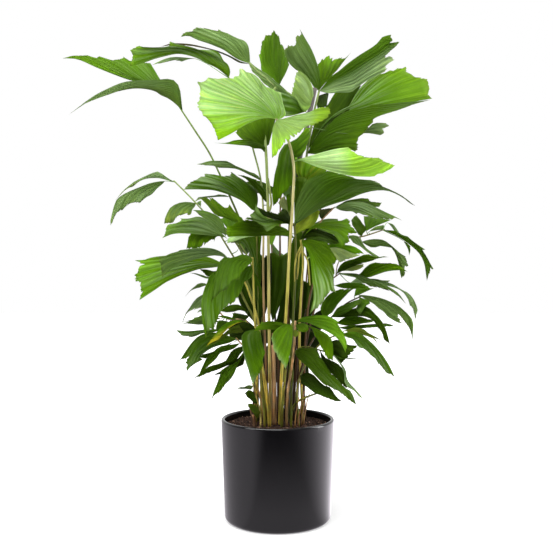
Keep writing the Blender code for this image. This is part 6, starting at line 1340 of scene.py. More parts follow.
# grid = Coons patch between the two edges and the ragged end, then relaxed towards even spacing by
# alpha * xuu - 2 * beta * xuv + gamma * xvv = 0 so that it can't fold
def flatGrid(leaf, rows, columns):
    base, tip, shoulder = leaf["base"], leaf["long"][-1], leaf["end"][-1]
    longEdge = alongLine(np.vstack([base, leaf["long"]]), rows + 1)
    shortEdge = alongLine(np.vstack([base, leaf["short"][::-1], shoulder]), rows + 1)
    end = alongLine(np.vstack([tip, leaf["end"]])[::-1], columns + 1, smooth=False)
    u = np.linspace(0, 1, rows + 1)[:, None, None]
    v = np.linspace(0, 1, columns + 1)[None, :, None]
    grid = (1 - v) * shortEdge[:, None] + v * longEdge[:, None] + u * (end[None] - (1 - v) * shoulder - v * tip)
    for _ in range(leafLook["relax"]):
        du = (grid[2:, 1:-1] - grid[:-2, 1:-1]) * rows / 2
        dv = (grid[1:-1, 2:] - grid[1:-1, :-2]) * columns / 2
        alpha = (dv * dv).sum(-1, keepdims=True) * rows**2
        gamma = (du * du).sum(-1, keepdims=True) * columns**2
        beta = (du * dv).sum(-1, keepdims=True)
        duv = (grid[2:, 2:] - grid[2:, :-2] - grid[:-2, 2:] + grid[:-2, :-2]) * rows * columns / 4
        pull = alpha * (grid[2:, 1:-1] + grid[:-2, 1:-1]) + gamma * (grid[1:-1, 2:] + grid[1:-1, :-2])
        grid[1:-1, 1:-1] = (pull - 2 * beta * duv) / np.maximum(2 * (alpha + gamma), 1e-9)
    return grid


# the end is bitten: each tooth climbs slowly and drops at once, a few reach deeper, all fade inwards
def bitten(grid, width, seed):
    local = np.random.default_rng(seed)
    rows = grid.shape[0] - 1
    s = np.linspace(0, width, grid.shape[1])
    edges = np.cumsum(local.uniform(0.4, 1.7, 120) * leafLook["toothWidth"])
    k = np.searchsorted(edges, s)
    low = np.concatenate([[0.0], edges])[k]
    climb = (s - low) / (edges[k] - low)
    depth = leafLook["toothDepth"] * min(1.0, width / 6) * (0.2 + local.gamma(1.6, 0.32, 121)[k])
    fade = np.sin(math.pi * np.linspace(0, 1, len(s))) ** 0.3
    bite = np.minimum(depth * (1 - climb) * fade, 0.12 * width + 0.15)
    back = grid[:-1] - grid[1:]
    length = np.maximum(np.linalg.norm(back, axis=-1, keepdims=True), 1e-6)
    reach = np.linspace(0, 1, rows + 1)[1:, None, None] ** 8
    grid = grid.copy()
    grid[1:] += back / length * bite[None, :, None] * reach
    return grid


# depth = joint + u * edge depths + lift + swing + sag across + pleats, all as in the CAD plus relief
def bladeGrid(leaf, joint, lift, frond, seed):
    local = np.random.default_rng(seed)
    tip, shoulder = leaf["long"][-1], leaf["end"][-1]
    width = float(np.linalg.norm(np.diff(np.vstack([tip, leaf["end"]]), axis=0), axis=1).sum())
    span = np.linalg.norm(tip - leaf["base"])
    rows = int(np.clip(span * leafLook["rowsPerCm"], leafLook["fewest"], leafLook["rows"]))
    columns = int(np.clip(width * leafLook["perCm"], leafLook["fewest"], leafLook["columns"]))
    grid = bitten(flatGrid(leaf, rows, columns), width, seed)
    u = np.linspace(0, 1, rows + 1)[:, None]
    v = np.linspace(0, 1, columns + 1)[None, :]
    toTip, toShoulder = leaf["depths"]
    sag = cadLook["sag"] * min(np.linalg.norm(tip - shoulder), span)
    depth = joint[2] + u * ((1 - v) * toShoulder + v * toTip) + lift * (1 - (1 - u) ** 2)
    depth = depth - sag * np.sin(math.pi * v) * u * (1.8 - 0.8 * u)
    depth = depth + swung(frond, grid[..., 0]) - swung(frond, leaf["base"][0])
    folds = max(1.5, width / leafLook["pleatWidth"])
    fade = np.minimum(1, u * 2.2) * (1 - 0.35 * u)
    wave = np.sin(2 * math.pi * folds * v + local.uniform(0, 6))
    depth = depth + leafLook["pleat"] * min(1, width / 5) * wave * fade
    depth = depth + leafLook["finePleat"] * np.sin(5.3 * math.pi * folds * v + seed) * fade
    along = np.sin(2.4 * math.pi * u + local.uniform(0, 6))
    across = np.sin(math.pi * v + local.uniform(-0.7, 0.7))
    return np.dstack([grid, depth + leafLook["ripple"] * span * along * across]), u, v, width


# closed loft: rings of upper points out and lower points back, thickness / 2 along the normal each way
def bladeShell(drawn, thick):
    grid = placeDrawn(drawn)
    rows, columns = grid.shape[:2]
    normal = np.cross(np.gradient(grid, axis=0), np.gradient(grid, axis=1))
    normal[0] = normal[1]
    normal /= np.maximum(np.linalg.norm(normal, axis=2), 1e-12)[..., None]
    if normal[..., 1].mean() > 0:
        normal = -normal
    taper = np.ones((rows, columns, 1))
    taper[:, [0, -1]] = leafLook["sideTaper"]
    taper[-1] = leafLook["endTaper"]
    half = leafLook["footHalf"]
    grid[0] += np.linspace(-half, half, columns)[:, None] * np.array([1.0, 0.0, 0.3])
    upper = grid + normal * taper * thick / 200
    lower = grid - normal * taper * thick / 200
    return np.concatenate([upper, lower[:, ::-1]], axis=1)


# quads that close the first and the last ring of a blade, upper side to lower side
def capFaces(rows, ring):
    j = np.arange(ring // 2 - 1)
    first = np.stack([j, ring - 1 - j, ring - 2 - j, j + 1], axis=-1)
    return np.vstack([first, first[:, ::-1] + (rows - 1) * ring])


# faces turned round where the enclosed volume comes out negative
def outward(points, quads):
    corner = points[quads]
    centre = np.cross(corner[:, 2] - corner[:, 0], corner[:, 3] - corner[:, 1])
    volume = (centre * corner.mean(axis=1)).sum()
    return quads if volume > 0 else quads[:, ::-1]


# rings of a tube with a pole before and behind them, the poles being the last two points
def closedRings(points, rows, sides):
    j = np.arange(0, sides, 2)
    foot = np.stack([np.full(len(j), len(points) - 2), (j + 2) % sides, j + 1, j], axis=-1)
    top = np.stack([np.full(len(j), len(points) - 1), j, j + 1, (j + 2) % sides], axis=-1)
    top[:, 1:] += (rows - 1) * sides
    return outward(points, np.vstack([ringFaces(rows, sides), foot, top]))


# colour = one * (1 - amount) + two * amount
def between(one, two, amount):
    return np.array(one) * (1 - amount) + np.array(two) * amount


# blade, its place along (u), across in veins, side (0 upper, 1 lower), its shade, and its short stalk
def bladeMesh(leaf, tones, lift, lines, frond, seed):
    held, joint, stem = heldLeaf(leaf, lines, lift, frond)
    stem = np.vstack([stem[:-1], stem[-2] * 0.9 + stem[-1] * 0.1])
    drawn, u, v, width = bladeGrid(held, joint, lift, frond, seed)
    points = bladeShell(drawn, leafLook["thick"])
    rows, ring = points.shape[:2]
    half = ring // 2
    flat = points.reshape(-1, 3)
    quads = outward(flat, np.vstack([ringFaces(rows, ring), capFaces(rows, ring)]))
    uu = np.broadcast_to(u, (rows, half))
    vv = np.broadcast_to(v, (rows, half))
    upper = np.stack([uu, vv * width / leafLook["veinGap"] + seed % 17, np.zeros((rows, half))], axis=-1)
    lower = upper[:, ::-1].copy()
    lower[..., 2] = 1.0
    place = np.concatenate([upper, lower], axis=1).reshape(-1, 3)
    axes = {"u": uu, "v": vv, "a": drawn[..., 0], "h": drawn[..., 1]}
    tone = toneGrid(tones, axes, width, seed)
    tone = np.concatenate([tone, tone[:, ::-1]], axis=1).reshape(-1, 4)
    return flat, quads, place, tone, stem


# streaks = steep steps of a sum of sines across the blade whose phase drifts slowly along it
def streaky(axes, width, local):
    waves = 0.0
    for fold in (0.9, 2.1, 3.7):
        place = fold * width * axes["v"] + local.uniform(-0.8, 0.8) * axes["u"] * 2
        waves = waves + np.sin(place + local.uniform(0, 6) + 1.5 * np.sin(4 * axes["u"] + local.uniform(0, 6)))
    return np.clip(0.55 + 0.6 * waves, 0, 1)


# a blade's tone: its own shade, turned to others where its entry says, painted sheen and shade among them,
# a little lighter or darker per leaflet
def toneGrid(words, axes, width, seed):
    local = np.random.default_rng(seed + 5)
    first, *turns = words.split()
    tone = np.broadcast_to(shades[first], (*axes["u"].shape, 3)).copy()
    for turn in turns:
        shade, where, amount = turn.split(":")
        axis, low, high = where.split("/")
        low, high = float(low), float(high)
        weight = np.clip((axes[axis] - low) / (high - low), 0, 1) * float(amount.rstrip("~"))
        if amount.endswith("~"):
            weight = weight * streaky(axes, width, local)
        tone = between(tone, shades[shade], weight[..., None])
    swell = leafLook["swell"] * np.sin(5 * axes["v"] + local.uniform(0, 6)) * axes["u"]
    tone = tone * (local.uniform(*leafLook["shadeSpan"]) + swell)[..., None]
    return np.dstack([tone, np.ones(swell.shape)])


# leafStalk: radii of a leaflet's short stalk in centimetres; turns: height in metres at which the lower
# colour turns to the upper one; the shade values: how dark the painted shade is, how far back it starts and below
# which height the clump gets it
stalkLook = {
    "sides": 12,
    "step": 1.1,
    "node": 0.035,
    "nodeGap": 3.1,
    "leafStalk": (0.12, 0.07),
    "turnsFrom": 0.55,
    "turnsOver": 0.3,
    "dim": 0.75,
    "shadeFrom": -0.012,
    "shadeOver": 0.05,
    "shadeBelow": 0.52,
    "shadeFade": 0.08,
}
# colours of the stalks low down and higher up
stemShades = {
    "cream": (0.48, 0.41, 0.13),
    "butter": (0.62, 0.56, 0.27),
    "yellow": (0.46, 0.4, 0.07),
    "green": (0.13, 0.2, 0.035),
    "leek": (0.23, 0.31, 0.09),
    "olive": (0.15, 0.165, 0.025),
    "moss": (0.09, 0.115, 0.015),
    "brown": (0.16, 0.09, 0.035),
    "dusk": (0.055, 0.036, 0.016),
    "tan": (0.43, 0.27, 0.12),
    "grey": (0.15, 0.135, 0.12),
}
thickerTops = {"frond_grey_cane": 1.8}
# low and high colour: the fronds that have them; all others are olive and green
stemTones = {
    "cream leek": "top low_shoot",
    "yellow butter": "lime",
    "dusk grey": "grey_cane",
    "brown leek": "upper_right",
    "brown green": "dark_centre",
    "yellow moss": "hanging_left",
    "yellow olive": "wide_fan_left big_hanging",
    "olive yellow": "left_yellow",
    "yellow green": "front_left",
    "tan green": "front_right low_left",
    "brown olive": "right_middle right_arching",
    "dusk olive": "right_spray",
    "brown tan": "right_upper",
    "moss olive": "fan_left left centre",
    "tan leek": "far_left",
    "tan olive": "left_behind",
    "olive leek": "mid_left",
    "moss green": "low_right",
    "dusk moss": "inner_left inner_middle inner_right",
    "dusk brown": "back_high back_middle",
}
stemOf = {"frond_" + name: pair for pair, names in stemTones.items() for name in names.split()}


# radius = taper from foot to end with faint swellings; tone = lower colour turning to the upper one
# with height, darkened by painted shade deep in the clump and low down
def stalkMesh(line, start, end, colours, seed, flatFoot):
    local = np.random.default_rng(seed)
    length = np.linalg.norm(np.diff(line, axis=0), axis=1).sum()
    count = int(max(6, length / stalkLook["step"]))
    sides = stalkLook["sides"]
    path = placeDrawn(alongLine(spineOf(line), count))
    t = np.linspace(0, 1, count)
    radii = start + (end - start) * t
    radii = radii * (1 + stalkLook["node"] * np.sin(t * length / stalkLook["nodeGap"] + local.uniform(0, 6)))
    rings = tubeRings(path, radii / 100, sides, flatFoot)
    points = np.vstack([rings.reshape(-1, 3), path[:1], path[-1:]])
    quads = closedRings(points, count, sides)
    y, z = points[:, 1:2], points[:, 2:]
    tone = between(*colours, np.clip((z - stalkLook["turnsFrom"]) / stalkLook["turnsOver"], 0, 1))
    # painted shade: darker towards the back of the clump and low down
    shadeBehind = np.clip((y - stalkLook["shadeFrom"]) / stalkLook["shadeOver"], 0, 1)
    shadeLow = np.clip((stalkLook["shadeBelow"] - z) / stalkLook["shadeFade"], 0, 1)
    tone = np.column_stack([tone * (1 - stalkLook["dim"] * shadeBehind * shadeLow), np.ones(len(points))])
    turn = np.append(np.tile(np.arange(sides) / sides, count), [0, 0])
    own = np.full(len(points), local.uniform(0, 1))
    return points, quads, np.column_stack([turn, own, np.full(len(points), 2.0)]), tone


# a grain is how fine a pattern is, then its detail; a span is where a ramp starts and ends
leafPaint = {
    "fine": 0.09,
    "broad": 0.65,
    "broadGrain": (1.3, 0.1, 2.0),
    "medium": 0.75,
    "mediumGrain": (2.6, 0.36, 3.0),
    "mottle": 0.3,
    "mottleGrain": (45.0, 4.0, 0.6),
    "heights": (0.12, 0.8, 0.25),
    "darkest": 0.35,
    "ridge": (1.55, 1.3, 0.9),
    "ridgeMix": 0.7,
    "ridgeSpan": (0.52, 0.72),
    "edge": (0.26, 0.24, 0.05, 1),
    "edgeFrom": 0.975,
    "edgeMix": 0.22,
    "under": (0.16, 0.22, 0.09, 1),
    "underMix": 0.3,
    "rough": 0.38,
    "roughMottle": 0.25,
    "roughMedium": 0.3,
    "specular": 0.18,
    "tint": (0.7, 1.0, 0.2, 1),
    "relief": 0.0016,
    "glow": (1.7, 1.7, 0.2),
    "through": 0.24,
}
# brown husk and dark grooves come in between the two heights of huskFade
stalkPaint = {
    "fibre": 2.4,
    "fibreGrain": (260.0, 260.0, 16.0),
    "darkest": 0.1,
    "huskFade": (0.5, 0.34),
    "husk": 0.6,
    "huskSpan": (0.44, 0.58),
    "patchGrain": (30.0, 3.0),
    "huskDark": (0.45, 0.3, 0.17, 1),
    "huskPale": (1.5, 1.0, 0.52, 1),
    "lift": 0.62,
    "groove": 0.93,
    "grooveGrain": (150.0, 150.0, 7.0),
    "grooveSpan": (0.56, 0.42),
    "rough": 0.5,
    "specular": 0.2,
    "relief": (0.5, 0.0005),
}


# noise stretched along the veins: u runs base to end, vein counts fine veins across
def streaks(tree, u, vein, long, wide, detail):
    place = addNode(tree, "ShaderNodeCombineXYZ", X=times(tree, u, long), Y=times(tree, vein, wide))
    return noise(tree, place.outputs[0], 1.0, detail, 0.55)


# one colour for a blade: streaks along its veins, mottling, a dry ragged edge, a paler underside
def leafColourGroup():
    tree, read, write = groupNode(
        "leafColour",
        [("Tone", "NodeSocketColor", (0.1, 0.3, 0.02, 1)), ("Place", "NodeSocketVector", None)],
        [("Colour", "NodeSocketColor"), ("Height", "NodeSocketFloat"), ("Gloss", "NodeSocketFloat")],
    )
    u, vein, side = splitOf(tree, read.outputs["Place"])
    fine = mathNode(tree, "SINE", times(tree, vein, 2 * math.pi))
    broad = streaks(tree, u, vein, *leafPaint["broadGrain"])
    medium = streaks(tree, u, vein, *leafPaint["mediumGrain"])
    mottle = noise(tree, objectCoords(tree), *leafPaint["mottleGrain"])
    swings = [centred(tree, broad, leafPaint["broad"]), centred(tree, medium, leafPaint["medium"])]
    level = total(tree, times(tree, fine, leafPaint["fine"]), *swings, centred(tree, mottle, leafPaint["mottle"]), 1.0)
    shaded = scaledBy(tree, read.outputs["Tone"], mathNode(tree, "MAXIMUM", level, leafPaint["darkest"]))
    ridge = times(tree, ramp(tree, medium, *leafPaint["ridgeSpan"]), leafPaint["ridgeMix"])
    colour = mixColour(tree, ridge, shaded, multiplied(tree, shaded, leafPaint["ridge"]))
    edge = ramp(tree, total(tree, u, centred(tree, mottle, 0.05)), leafPaint["edgeFrom"], 1.0)
    colour = mixColour(tree, times(tree, edge, leafPaint["edgeMix"]), colour, leafPaint["edge"])
    colour = mixColour(tree, times(tree, side, leafPaint["underMix"]), colour, leafPaint["under"])
    tree.links.new(colour, write.inputs["Colour"])
    heights = [times(tree, wave, share) for wave, share in zip((fine, broad, mottle), leafPaint["heights"])]
    height = total(tree, heights[0], medium, *heights[1:])
    tree.links.new(height, write.inputs["Height"])
    swings = [centred(tree, mottle, leafPaint["roughMottle"]), centred(tree, medium, leafPaint["roughMedium"])]
    gloss = total(tree, swings[0], leafPaint["rough"], swings[1])
    tree.links.new(gloss, write.inputs["Gloss"])
    return tree


def leafMaterial(name, group):
    material, tree, shader, output = newMaterial(name)
    tone, place = attributeOf(tree, "tone", "Color"), attributeOf(tree, "place", "Vector")
    paint = addNode(tree, "ShaderNodeGroup", {"node_tree": group}, Tone=tone, Place=place).outputs
    relief = (1.0, leafPaint["relief"], paint["Height"])
    dress(tree, shader, paint["Colour"], paint["Gloss"], leafPaint["specular"], relief)
    shader.inputs["Specular Tint"].default_value = leafPaint["tint"]
    glow = addNode(tree, "ShaderNodeBsdfTranslucent", Color=multiplied(tree, paint["Colour"], leafPaint["glow"]))
    both = mixShader(tree, leafPaint["through"], shader.outputs[0], glow.outputs[0])
    tree.links.new(both, output.inputs["Surface"])
    return material


# fibres and grooves along the stalk; low down it is brighter, grooved and partly covered by brown husk
def stalkMaterial(name):
    material, tree, shader, _ = newMaterial(name)
    coords = objectCoords(tree)
    fibre = noise(tree, multiplied(tree, coords, stalkPaint["fibreGrain"]), 1.0, 4.0)
    patch = noise(tree, coords, *stalkPaint["patchGrain"])
    groove = noise(tree, multiplied(tree, coords, stalkPaint["grooveGrain"]), 1.0, 2.0)
    low = ramp(tree, splitOf(tree, coords)[2], *stalkPaint["huskFade"])
    cut = ramp(tree, groove, *stalkPaint["grooveSpan"], 0.0, stalkPaint["groove"])
    bright = times(tree, low, mathNode(tree, "SUBTRACT", stalkPaint["lift"], cut))
    level = total(tree, centred(tree, fibre, stalkPaint["fibre"]), 1.0)
    level = mathNode(tree, "MAXIMUM", level, stalkPaint["darkest"])
    colour = scaledBy(tree, attributeOf(tree, "tone", "Color"), times(tree, level, total(tree, 1.0, bright)))
    spots = ramp(tree, total(tree, patch, centred(tree, fibre, 0.5)), *stalkPaint["huskSpan"])
    brown = times(tree, times(tree, low, spots), stalkPaint["husk"])
    husk = mixColour(tree, fibre, stalkPaint["huskDark"], stalkPaint["huskPale"])
    colour = mixColour(tree, brown, colour, multiplied(tree, colour, husk))
    dress(tree, shader, colour, stalkPaint["rough"], stalkPaint["specular"], (*stalkPaint["relief"], fibre))
    return material


paintGroup = leafColourGroup()
leafStuff = leafMaterial("leafBlade", paintGroup)
stalkStuff = stalkMaterial("leafStalk")


# parts = (points, quads, places, tones, material index), joined end to end
def joinParts(parts):
    points, quads, places, tones, indices = zip(*parts)
    starts = np.cumsum([0] + [len(flat) for flat in points[:-1]])
    quads = np.vstack([faces + start for faces, start in zip(quads, starts)])
    indices = np.concatenate([np.full(len(part[1]), part[4]) for part in parts])
    return np.vstack(points), quads, np.vstack(places), np.vstack(tones), indices


# frond_low_left -> frondLowLeft
def camel(name):
    first, *rest = name.split("_")
    return first + "".join(word.capitalize() for word in rest)


def buildFrond(name, seed):
    frond = fronds[name]
    lines = stalks[name]
    thick, thin = frond["thick"]
    thin *= thickerTops.get(name, 1)
    stem = [stemShades[shade] for shade in stemOf.get(name, "olive green").split()]
    parts = []
    for i, line in enumerate(lines):
        start, end = (thick, thin) if i == 0 else (thin * cadLook["sideStart"], thin * cadLook["sideEnd"])
        parts.append((*stalkMesh(line, start, end, stem, seed + i, i == 0), 1))
    for i, ((leaf, lift), tones) in enumerate(zip(leaves[name], leafTones[name].split("|"))):
        *blade, foot = bladeMesh(leaf, tones, lift, lines, frond, seed * 31 + i)
        own = shades[tones.split()[0]]
        parts.append((*blade, 0))
        parts.append((*stalkMesh(foot, *stalkLook["leafStalk"], [own, own], seed + i, False), 1))
    points, quads, places, tones, indices = joinParts(parts)
    obj = meshObject(camel(name), points, quads, {"place": places, "tone": tones}, [leafStuff, stalkStuff], indices)
    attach(obj, "root")
    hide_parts(name)


for number, name in enumerate(fronds):
    buildFrond(name, 100 + 7 * number)
print("fronds built")

stubLook = {"bright": 1.35}


# a dead stalk or cane is a plain tapering stalk in one colour
def buildStub(name, seed):
    stub = stubs[name]
    colour = np.array(stub["colour"]) * stubLook["bright"]
    points, quads, place, tone = stalkMesh(stubPaths[name], *stub["thick"], [colour, colour], seed, True)
    obj = meshObject(camel(name), points, quads, {"place": place, "tone": tone}, [stalkStuff], np.zeros(len(quads)))
    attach(obj, "root")
    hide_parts(name)


for number, name in enumerate(stubs):
    buildStub(name, 900 + number)
print("stubs built")

# inside: a darker colour painted as shade within the radius innerFoot + innerSlope * height; the lip turns smoother
# over lipSpan
potPaint = {
    "colour": (0.0052, 0.0047, 0.0056),
    "inside": (0.004, 0.004, 0.004, 1),
    "innerFoot": 0.124,
    "innerSlope": 0.0373,
    "cloud": 0.1,
    "cloudGrain": (9.0, 5.0, 0.6),
    "fineGrain": (900.0, 2.0),
    "rough": 0.17,
    "roughCloud": 0.05,
    "lipShine": 0.09,
    "lipSpan": (0.24, 0.246),
    "specular": 0.5,
    "relief": (0.06, 0.0003),
}


# surface of turning: (radius, height) profile swept about z
def latheGrid(profile, segments):
    profile = np.array(profile)
    turn = np.arange(segments) * 2 * math.pi / segments
    x = profile[:, :1] * np.cos(turn)[None]
    y = profile[:, :1] * np.sin(turn)[None]
    z = np.broadcast_to(profile[:, 1:], x.shape)
    return np.stack([x, y, z], axis=-1)


# turned profile whose first and last points lie on the axis
def closedLathe(profile, segments):
    grid = latheGrid(profile[1:-1], segments)
    points = np.vstack([grid.reshape(-1, 3), [[0, 0, profile[0][1]], [0, 0, profile[-1][1]]]])
    return points, closedRings(points, len(profile) - 2, segments)


def potMaterial():
    material, tree, shader, _ = newMaterial("potShell")
    coords = objectCoords(tree)
    height = splitOf(tree, coords)[2]
    cloud = noise(tree, coords, *potPaint["cloudGrain"])
    grain = noise(tree, coords, *potPaint["fineGrain"])
    level = total(tree, centred(tree, cloud, potPaint["cloud"]), 1.0)
    reach = lengthOf(tree, multiplied(tree, coords, (1, 1, 0)))
    wallAt = total(tree, times(tree, height, potPaint["innerSlope"]), potPaint["innerFoot"])
    # the inner wall gets the darker inside colour: painted shade
    inside = mathNode(tree, "LESS_THAN", reach, wallAt)
    colour = mixColour(tree, inside, scaledBy(tree, potPaint["colour"], level), potPaint["inside"])
    rough = total(tree, centred(tree, cloud, potPaint["roughCloud"]), potPaint["rough"])
    lip = ramp(tree, height, *potPaint["lipSpan"], 0.0, potPaint["lipShine"])
    rough = mathNode(tree, "SUBTRACT", rough, lip)
    dress(tree, shader, colour, rough, potPaint["specular"], (*potPaint["relief"], grain))
    return material


# outer wall with rounded foot and half-round lip, then down inside to the floor
def buildPot():
    foot, rim, height, lip = (potSize[key] for key in ("foot", "rim", "height", "lip"))
    bend, soil, floor = (potSize[key] for key in ("footRound", "soil", "floor"))
    low = foot - potSize["wall"]
    turn = np.linspace(0, math.pi / 2, 12)
    rise = np.linspace(0, 1, 14)[1:-1]
    over = np.linspace(0, math.pi, 14)
    profile = [(0, 0)]
    profile += [(foot - bend * (1 - math.sin(t)), bend * (1 - math.cos(t))) for t in turn]
    profile += [(foot + (rim - foot) * t, bend + (height - lip - bend) * t) for t in rise]
    profile += [(rim - lip + lip * math.cos(t), height - lip + lip * math.sin(t)) for t in over]
    cove = potSize["cove"]
    profile += [(low + potSize["widening"], soil - potSize["belowSoil"]), (low, floor + cove)]
    profile += [(low - cove, floor), (0, floor)]
    points, quads = closedLathe(profile, potSize["segments"])
    obj = meshObject("potShell", points, quads, {}, [potMaterial()], np.zeros(len(quads)))
    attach(obj, "root")
    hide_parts("pot")


buildPot()
print("pot built")

soilLook = {
    "radius": 0.1313,
    "rings": 90,
    "segments": 220,
    "waves": 0.0011,
    "crumbs": 0.0006,
    "mound": 0.003,
    "moundWidth": 0.004,
    "footShare": 0.94,
    "footAbove": 0.012,
    "grains": 6500,
    "grainSize": 0.00062,
    "grainSpan": (0.0006, 0.0042),
    "grainReach": 0.985,
    "grainSink": 0.2,
    "grainDark": 1.6,
    "shade": (0.25, 0.22),
    "paleShare": 0.07,
}
soilPaint = {
    "dark": (0.024, 0.013, 0.009, 1),
    "brown": (0.102, 0.054, 0.037, 1),
    "light": (0.23, 0.135, 0.09, 1),
    "clump": 1.8,
    "clumpGrain": (240.0, 5.0, 0.7),
    "darkest": 0.2,
    "rough": 0.9,
    "specular": 0.25,
    "relief": (0.8, 0.0012),
}


def soilMaterial():
    material, tree, shader, _ = newMaterial("pottingMix")
    clump = noise(tree, objectCoords(tree), *soilPaint["clumpGrain"])
    level = total(tree, centred(tree, clump, soilPaint["clump"]), 1.0)
    level = mathNode(tree, "MAXIMUM", level, soilPaint["darkest"])
    colour = scaledBy(tree, attributeOf(tree, "tone", "Color"), level)
    dress(tree, shader, colour, soilPaint["rough"], soilPaint["specular"], (*soilPaint["relief"], clump))
    return material


# height = soil level + slow waves + crumbs + a low mound about the middle
def soilHeight(x, y, phase):
    waves = 0
    for i in range(6):
        ripple = np.sin(x * (60 + 37 * i) + phase[i]) * np.cos(y * (75 + 29 * i) - phase[i])
        waves = waves + math.cos(phase[i]) * ripple / (i + 1)
    crumbs = np.sin(x * 900 + 3 * np.sin(y * 700)) * np.sin(y * 830 + 2 * np.sin(x * 610))
    mound = np.exp(-(x**2 + y**2) / soilLook["moundWidth"])
    return potSize["soil"] + soilLook["waves"] * waves + soilLook["crumbs"] * crumbs + soilLook["mound"] * mound


# octahedra of random size, squash and turn, thrown over the surface
def grainMesh(count, phase, radius):
    corners = np.array([[1, 0, 0], [0, 1, 0], [-1, 0, 0], [0, -1, 0], [0, 0, 1], [0, 0, -1]], float)
    corners = corners[None] * rng.uniform(0.55, 1.0, (count, 6, 1))
    size = rng.gamma(3.0, soilLook["grainSize"], count).clip(*soilLook["grainSpan"])
    stretch = rng.uniform(0.5, 1.3, (count, 1, 3))
    axis = rng.normal(size=(count, 3))
    axis /= np.linalg.norm(axis, axis=1)[:, None]
    angle = rng.uniform(0, 2 * math.pi, count)
    corners = corners * stretch * size[:, None, None]
    c, s = np.cos(angle)[:, None, None], np.sin(angle)[:, None, None]
    k = np.broadcast_to(axis[:, None], corners.shape)
    corners = corners * c + np.cross(k, corners) * s + k * (k * corners).sum(-1, keepdims=True) * (1 - c)
    r = radius * np.sqrt(rng.uniform(0, 1, count))
    t = rng.uniform(0, 2 * math.pi, count)
    x, y = r * np.cos(t), r * np.sin(t)
    centre = np.stack([x, y, soilHeight(x, y, phase) + size * soilLook["grainSink"]], axis=-1)
    faces = np.array([[4, 0, 1], [4, 1, 2], [4, 2, 3], [4, 3, 0], [5, 1, 0], [5, 2, 1], [5, 3, 2], [5, 0, 3]])
    faces = (faces[None] + 6 * np.arange(count)[:, None, None]).reshape(-1, 3)
    return (corners + centre[:, None]).reshape(-1, 3), faces


# rings of the top from the rim to the middle over one narrower ring at the pot's floor, and loose grains
def buildSoil():
    radius = soilLook["radius"]
    bottom = potSize["floor"] + soilLook["footAbove"]
    phase = rng.uniform(0, 6, 12)
    r = np.linspace(0, 1, soilLook["rings"])[1:] * radius
    t = np.arange(soilLook["segments"]) * 2 * math.pi / soilLook["segments"]
    x, y = r[:, None] * np.cos(t), r[:, None] * np.sin(t)
    top = np.stack([x, y, soilHeight(x, y, phase)], axis=-1)[::-1]
    low = np.stack([x[-1] * soilLook["footShare"], y[-1] * soilLook["footShare"], np.full(len(t), bottom)], axis=-1)
    poles = [[0, 0, bottom], [0, 0, float(soilHeight(0.0, 0.0, phase))]]
    points = np.vstack([low, top.reshape(-1, 3), poles])
    quads = closedRings(points, len(r) + 1, len(t))
    shade = np.clip(rng.normal(*soilLook["shade"], len(points)), 0, 1)[:, None]
    tone = between(soilPaint["dark"], soilPaint["brown"], shade)
    grains, faces = grainMesh(soilLook["grains"], phase, radius * soilLook["grainReach"])
    pick = rng.uniform(0, 1, soilLook["grains"]) ** soilLook["grainDark"]
    warm = between(soilPaint["dark"], soilPaint["brown"], pick[:, None])
    warm[rng.uniform(0, 1, soilLook["grains"]) > 1 - soilLook["paleShare"]] = soilPaint["light"]
    material = soilMaterial()
    obj = meshObject("pottingMix", points, quads, {"tone": tone}, [material], np.zeros(len(quads)))
    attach(obj, "root")
    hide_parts("soil")
    warm = np.repeat(warm, 6, axis=0)
    loose = meshObject("soilGrains", grains, faces, {"tone": warm}, [material], np.zeros(len(faces)))
    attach(loose, "root")


buildSoil()
print("soil built")

stageLook = {
    "floor": (0.62, 0.62, 0.62, 1),
    "near": 0.42,
    "nearSpan": (0.16, 0.9),
    # mirror values: strength of the painted reflection that the pot sees on the floor
    "mirrorRight": 2.5,
    "rightSpan": (-0.6, 1.0),
    "rightPower": 2.6,
    "mirrorLeft": 0.95,
    "leftSpan": (-0.35, -0.8),
    "backSpan": (0.2, 0.9),
    "mirrorAhead": 0.75,
    "aheadSpan": (0.25, 0.85),
    "mirrorColour": (0.98, 0.93, 1, 1),
    "rough": 0.8,
    "specular": 0.1,
    "front": 0.2,
    "back": 1.0,
    "roomSpan": (-0.25, 0.75),
}
# place, aim, size and power of each soft box
lamps = {
    "keyAbove": ((-0.5, -1.2, 2.9), (0, 0, 0.7), (2.2, 1.6), 84.0),
    "sideRight": ((1.9, 0.1, 0.9), (0, 0, 0.5), (0.6, 2.2), 30.0),
    "sideLeft": ((-1.6, -0.9, 1.8), (0, 0, 0.5), (0.7, 1.6), 20.0),
}
